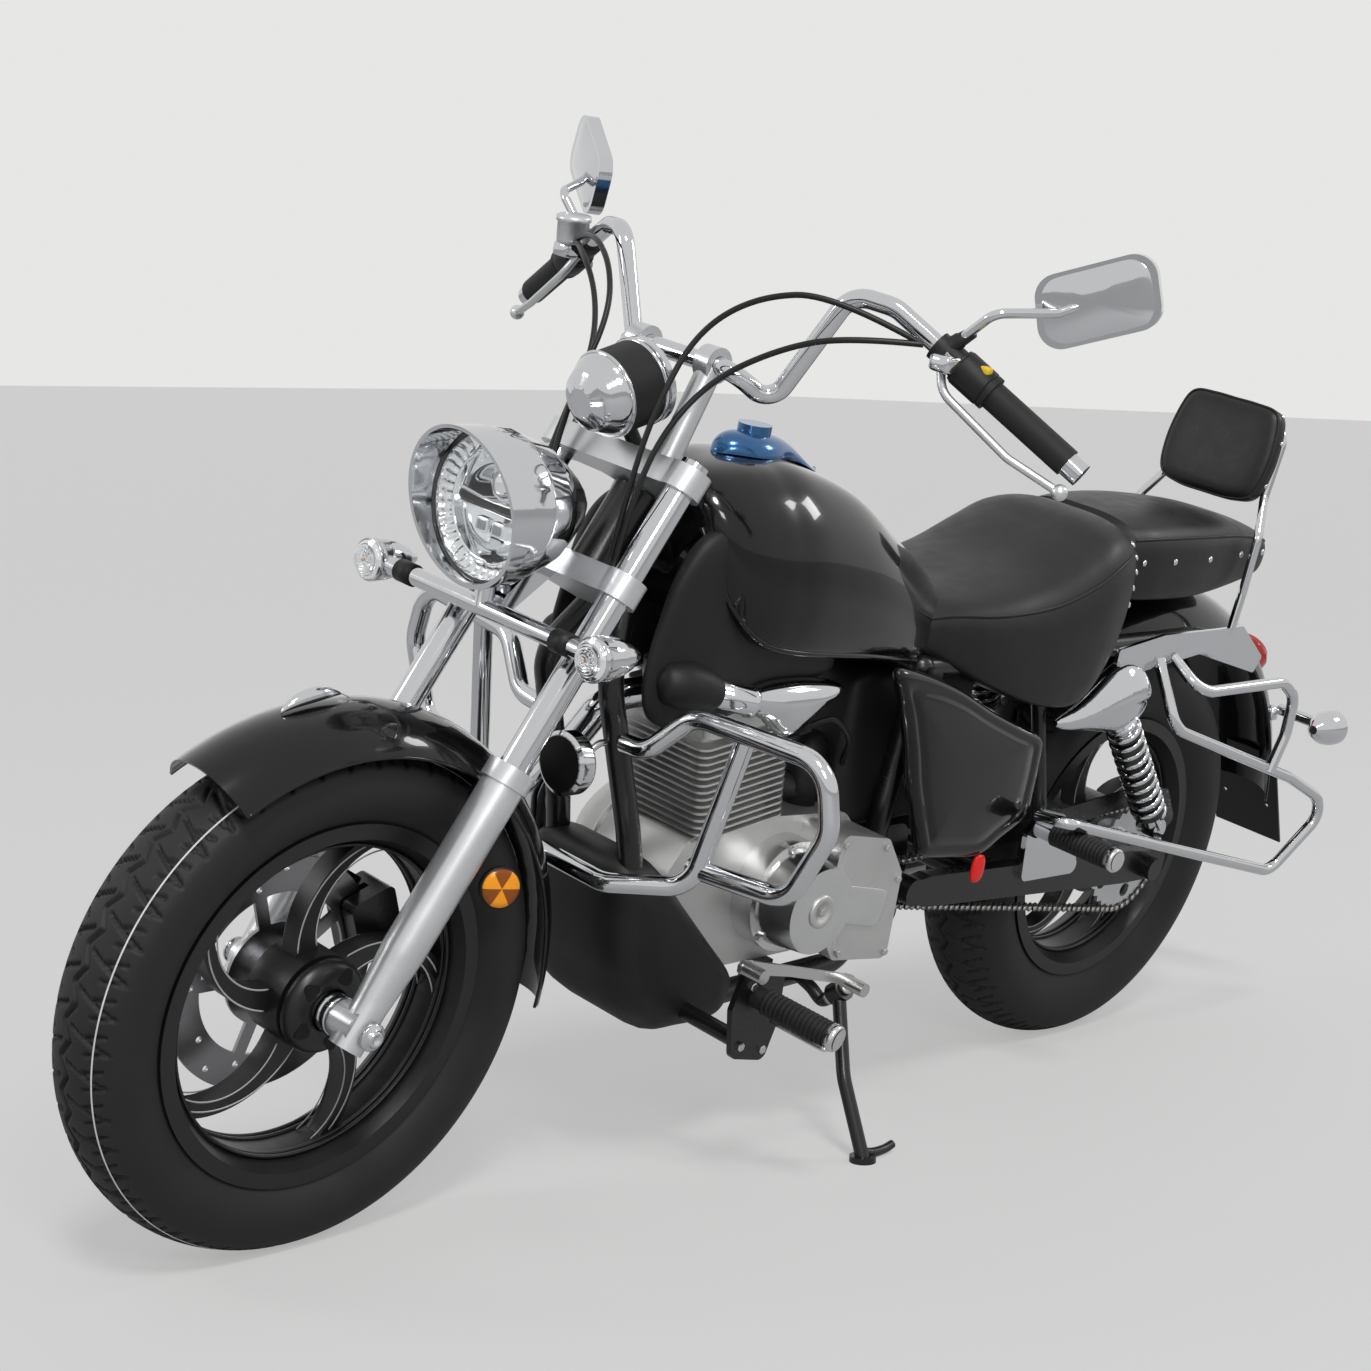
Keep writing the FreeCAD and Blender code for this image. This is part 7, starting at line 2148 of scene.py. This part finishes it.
# Parts of CAD nodes that have a finish of their own
ZONES = (
    Zone("headlight", Finish.CLEAR_LENS, LAMP_RIM, (1, 0, 0), -0.5, 14.5, 0, 83.8),
    Zone("front_signals", Finish.REFLECTOR, SIGNAL_FACE, (1, 0, 0), 0.0, 12.0, 0, 30),
    Zone("speedometer", Finish.CHROME, GAUGE_FRONT, (-0.9563, 0, 0.2924), -1.0, 36.5, 0, 52),
    Zone("speedometer", Finish.CHROME, GAUGE_FRONT, (-0.9563, 0, 0.2924), 91.0, 99.7, 0, 60),
    Zone("hand_controls", Finish.SILVER_PAINT, GRIP_TIP, GRIP_HEADING, -400, 80, 20.6, 300),
    Zone("handlebar", Finish.SILVER_PAINT, (1035.35, 0, 1029.63), (0, 1, 0), 30, 85, 12.5, 300),
    Zone("mirrors", Finish.MIRROR_GLASS, MIRROR_MIDDLE, MIRROR_AHEAD, -2.6, -1.0, 0, 90),
    Zone("engine_cases", Finish.POLISHED_ALLOY, (765, 66, 358), (0, 1, 0), 1.0, 200, 0, 74.6),
    Zone("foot_pegs", Finish.CHROME, (0, 0, 0), (0, 1, 0), 0, 206),
    Zone("foot_pegs", Finish.FRAME_BLACK, (915, 0, 260), (0, 1, 0), 0, 206, 0, 150),
    Zone("foot_pegs", Finish.POLISHED_ALLOY, PEG_TIP, (-25, 120, -12), -1.6, 5, 0, 30),
    Zone("foot_pegs", Finish.POLISHED_ALLOY, REAR_PEG_TIP, (0, 1, 0), -1.6, 5, 0, 30),
    Zone("horn", Finish.CHROME, (1100, 56, 562), (1, 0, 0), -200, 200, 33, 60),
    Zone("rear_lamps", Finish.RED_LAMP, (-345.3, 0, 564.4), (-0.766, 0, 0.6428), 4.0, 60, 0, 40),
    Zone("shocks", Finish.FRAME_BLACK, SHOCK_FOOT, SHOCK_REACH, 28, 215, 0, 30),
)


# The CAD nodes of each finish
NODE_FINISHES = {
    Finish.FRAME_BLACK: ("frame_tubes", "swingarm", "chain_guard", "horn", "brake_caliper", "side_stand"),
    Finish.CHROME: (
        "shocks", "exhaust", "air_scoops", "sissy_bar", "rear_lamps", "engine_guards", "saddle_guards",
        "fork_tubes", "headlight", "front_signals", "handlebar", "mirrors",
    ),
    Finish.ENGINE_ALLOY: ("engine_cases", "cylinder"),
    Finish.BLACK_PLASTIC: ("belly_cover", "tank_shrouds", "hand_controls", "speedometer"),
    Finish.BLACK_PAINT: ("fuel_tank", "side_covers", "rear_fender", "front_fender"),
    Finish.BLUE_PAINT: ("tank_console",),
    Finish.SEAT_LEATHER: ("rider_seat", "passenger_seat", "backrest"),
    Finish.GRIP_RUBBER: ("foot_pegs", "hand_grips"),
    Finish.BARE_STEEL: ("foot_controls",),
    Finish.CHAIN_STEEL: ("chain",),
    Finish.SILVER_PAINT: ("fork_clamps", "fork_sliders", "sprocket"),
    Finish.CABLE_BLACK: ("cables",),
    Finish.WHEEL_BLACK: ("front_wheel", "rear_wheel"),
    Finish.TYRE_RUBBER: ("front_tyre", "rear_tyre"),
    Finish.DISC_STEEL: ("brake_disc",),
}


@dataclass
class CadDress:
    """Gives every CAD node its finish."""

    def dress(self, nodes: dict[str, bpy.types.Object], shop: Shop) -> None:
        """Dresses each node and smooths its shading.

        Args:
            nodes: the CAD pieces by name.
            shop: gives the finishes.
        """
        for finish, names in NODE_FINISHES.items():
            for name in names:
                shop.finishes.dress(nodes[name], finish)
                shop.tidy(nodes[name])
                log.info("dressed %s", name)
        for zone in ZONES:
            self.paint(nodes[zone.node], zone, shop)

    def paint(self, node: bpy.types.Object, zone: Zone, shop: Shop) -> None:
        """Gives one zone of a node its own finish, face by face.

        Args:
            node: the CAD piece.
            zone: the part of it that is painted.
            shop: gives the finishes.
        """
        data = node.data
        count = len(data.polygons)
        centres = np.empty(count * 3)
        data.polygons.foreach_get("center", centres)
        picked = zone.picks(shop.chassis.upright(centres.reshape(-1, 3)))
        slots = np.empty(count, np.int32)
        data.polygons.foreach_get("material_index", slots)
        data.materials.append(shop.finishes.get(zone.finish))
        slots[picked] = len(data.materials) - 1
        data.polygons.foreach_set("material_index", slots)
        log.info("painted %d faces of %s", int(picked.sum()), zone.node)


def main() -> None:
    """Loads the frame, dresses it and closes the scene."""
    logging.basicConfig(level=logging.INFO, format="%(message)s")
    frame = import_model()
    bpy.context.scene.view_settings.view_transform = "Standard"
    chassis = Chassis()
    finishes = Finishes()
    shop = Shop(chassis, finishes)
    studio = Studio()
    studio.camera(chassis)
    studio.room()
    CadDress().dress(frame["nodes"], shop)
    cable_start = (951.95, 283.15, 1105.47)
    cables = (
        Cable("clutch_cable", False, (
            (0.32, -0.38, 0.12), (0.5, -0.74, 0.05), (0.68, -0.95, -0.12), (0.87, -0.97, -0.4),
            (0.96, -0.98, -0.68), (1.01, -0.985, -1),
        ), cable_start),
        Cable("switch_cable", False, (
            (0.3, -0.27, -0.02), (0.42, -0.59, -0.12), (0.62, -0.84, -0.28), (0.85, -0.92, -0.5),
            (0.97, -0.945, -0.77), (1.02, -0.94, -1.01),
        ), cable_start),
        Cable("brake_hose", True, (
            (0.3, -0.33, 0.02), (0.42, -0.62, -0.12), (0.6, -0.84, -0.32), (0.84, -0.93, -0.55),
            (0.97, -0.95, -0.78), (1.01, -0.95, -0.98),
        ), cable_start),
        Cable("throttle_cable", True, (
            (0.32, -0.4, 0.1), (0.5, -0.76, 0.02), (0.66, -0.97, -0.16), (0.86, -0.99, -0.44),
            (0.96, -1.0, -0.72), (1.0, -1.0, -1.02),
        ), cable_start),
    )
    pieces = (
        Tyre("front_tyre", "front_wheel", FRONT_AXLE, 302.0, 60.0, 203.0, 41.0, 46),
        Tyre("rear_tyre", "rear_wheel", REAR_AXLE, 307.5, 66.0, 190.5, 46.0, 44),
        SpokeLines("front_wheel", "front_wheel", FRONT_AXLE, 56.0, 185.0, 78.0),
        SpokeLines("rear_wheel", "rear_wheel", REAR_AXLE, 74.0, 172.5, 62.0),
        Seats(), Backrest(), *cables, Headlamp(), SignalLenses(), Gauge(), Springs(), ChainLinks(),
        EngineTrim(),
        TankSkin(), BellyCover(), Shroud(), SideCovers(), Carriers(), FenderTrim(), Reflectors(),
        BarTrim(), SmallBolts(),
        FrontHub(), PegTrim(), MirrorBacks(),
    )
    for piece in pieces:
        piece.build(shop)
        log.info("built %s", type(piece).__name__)


if __name__ == "__main__":
    main()
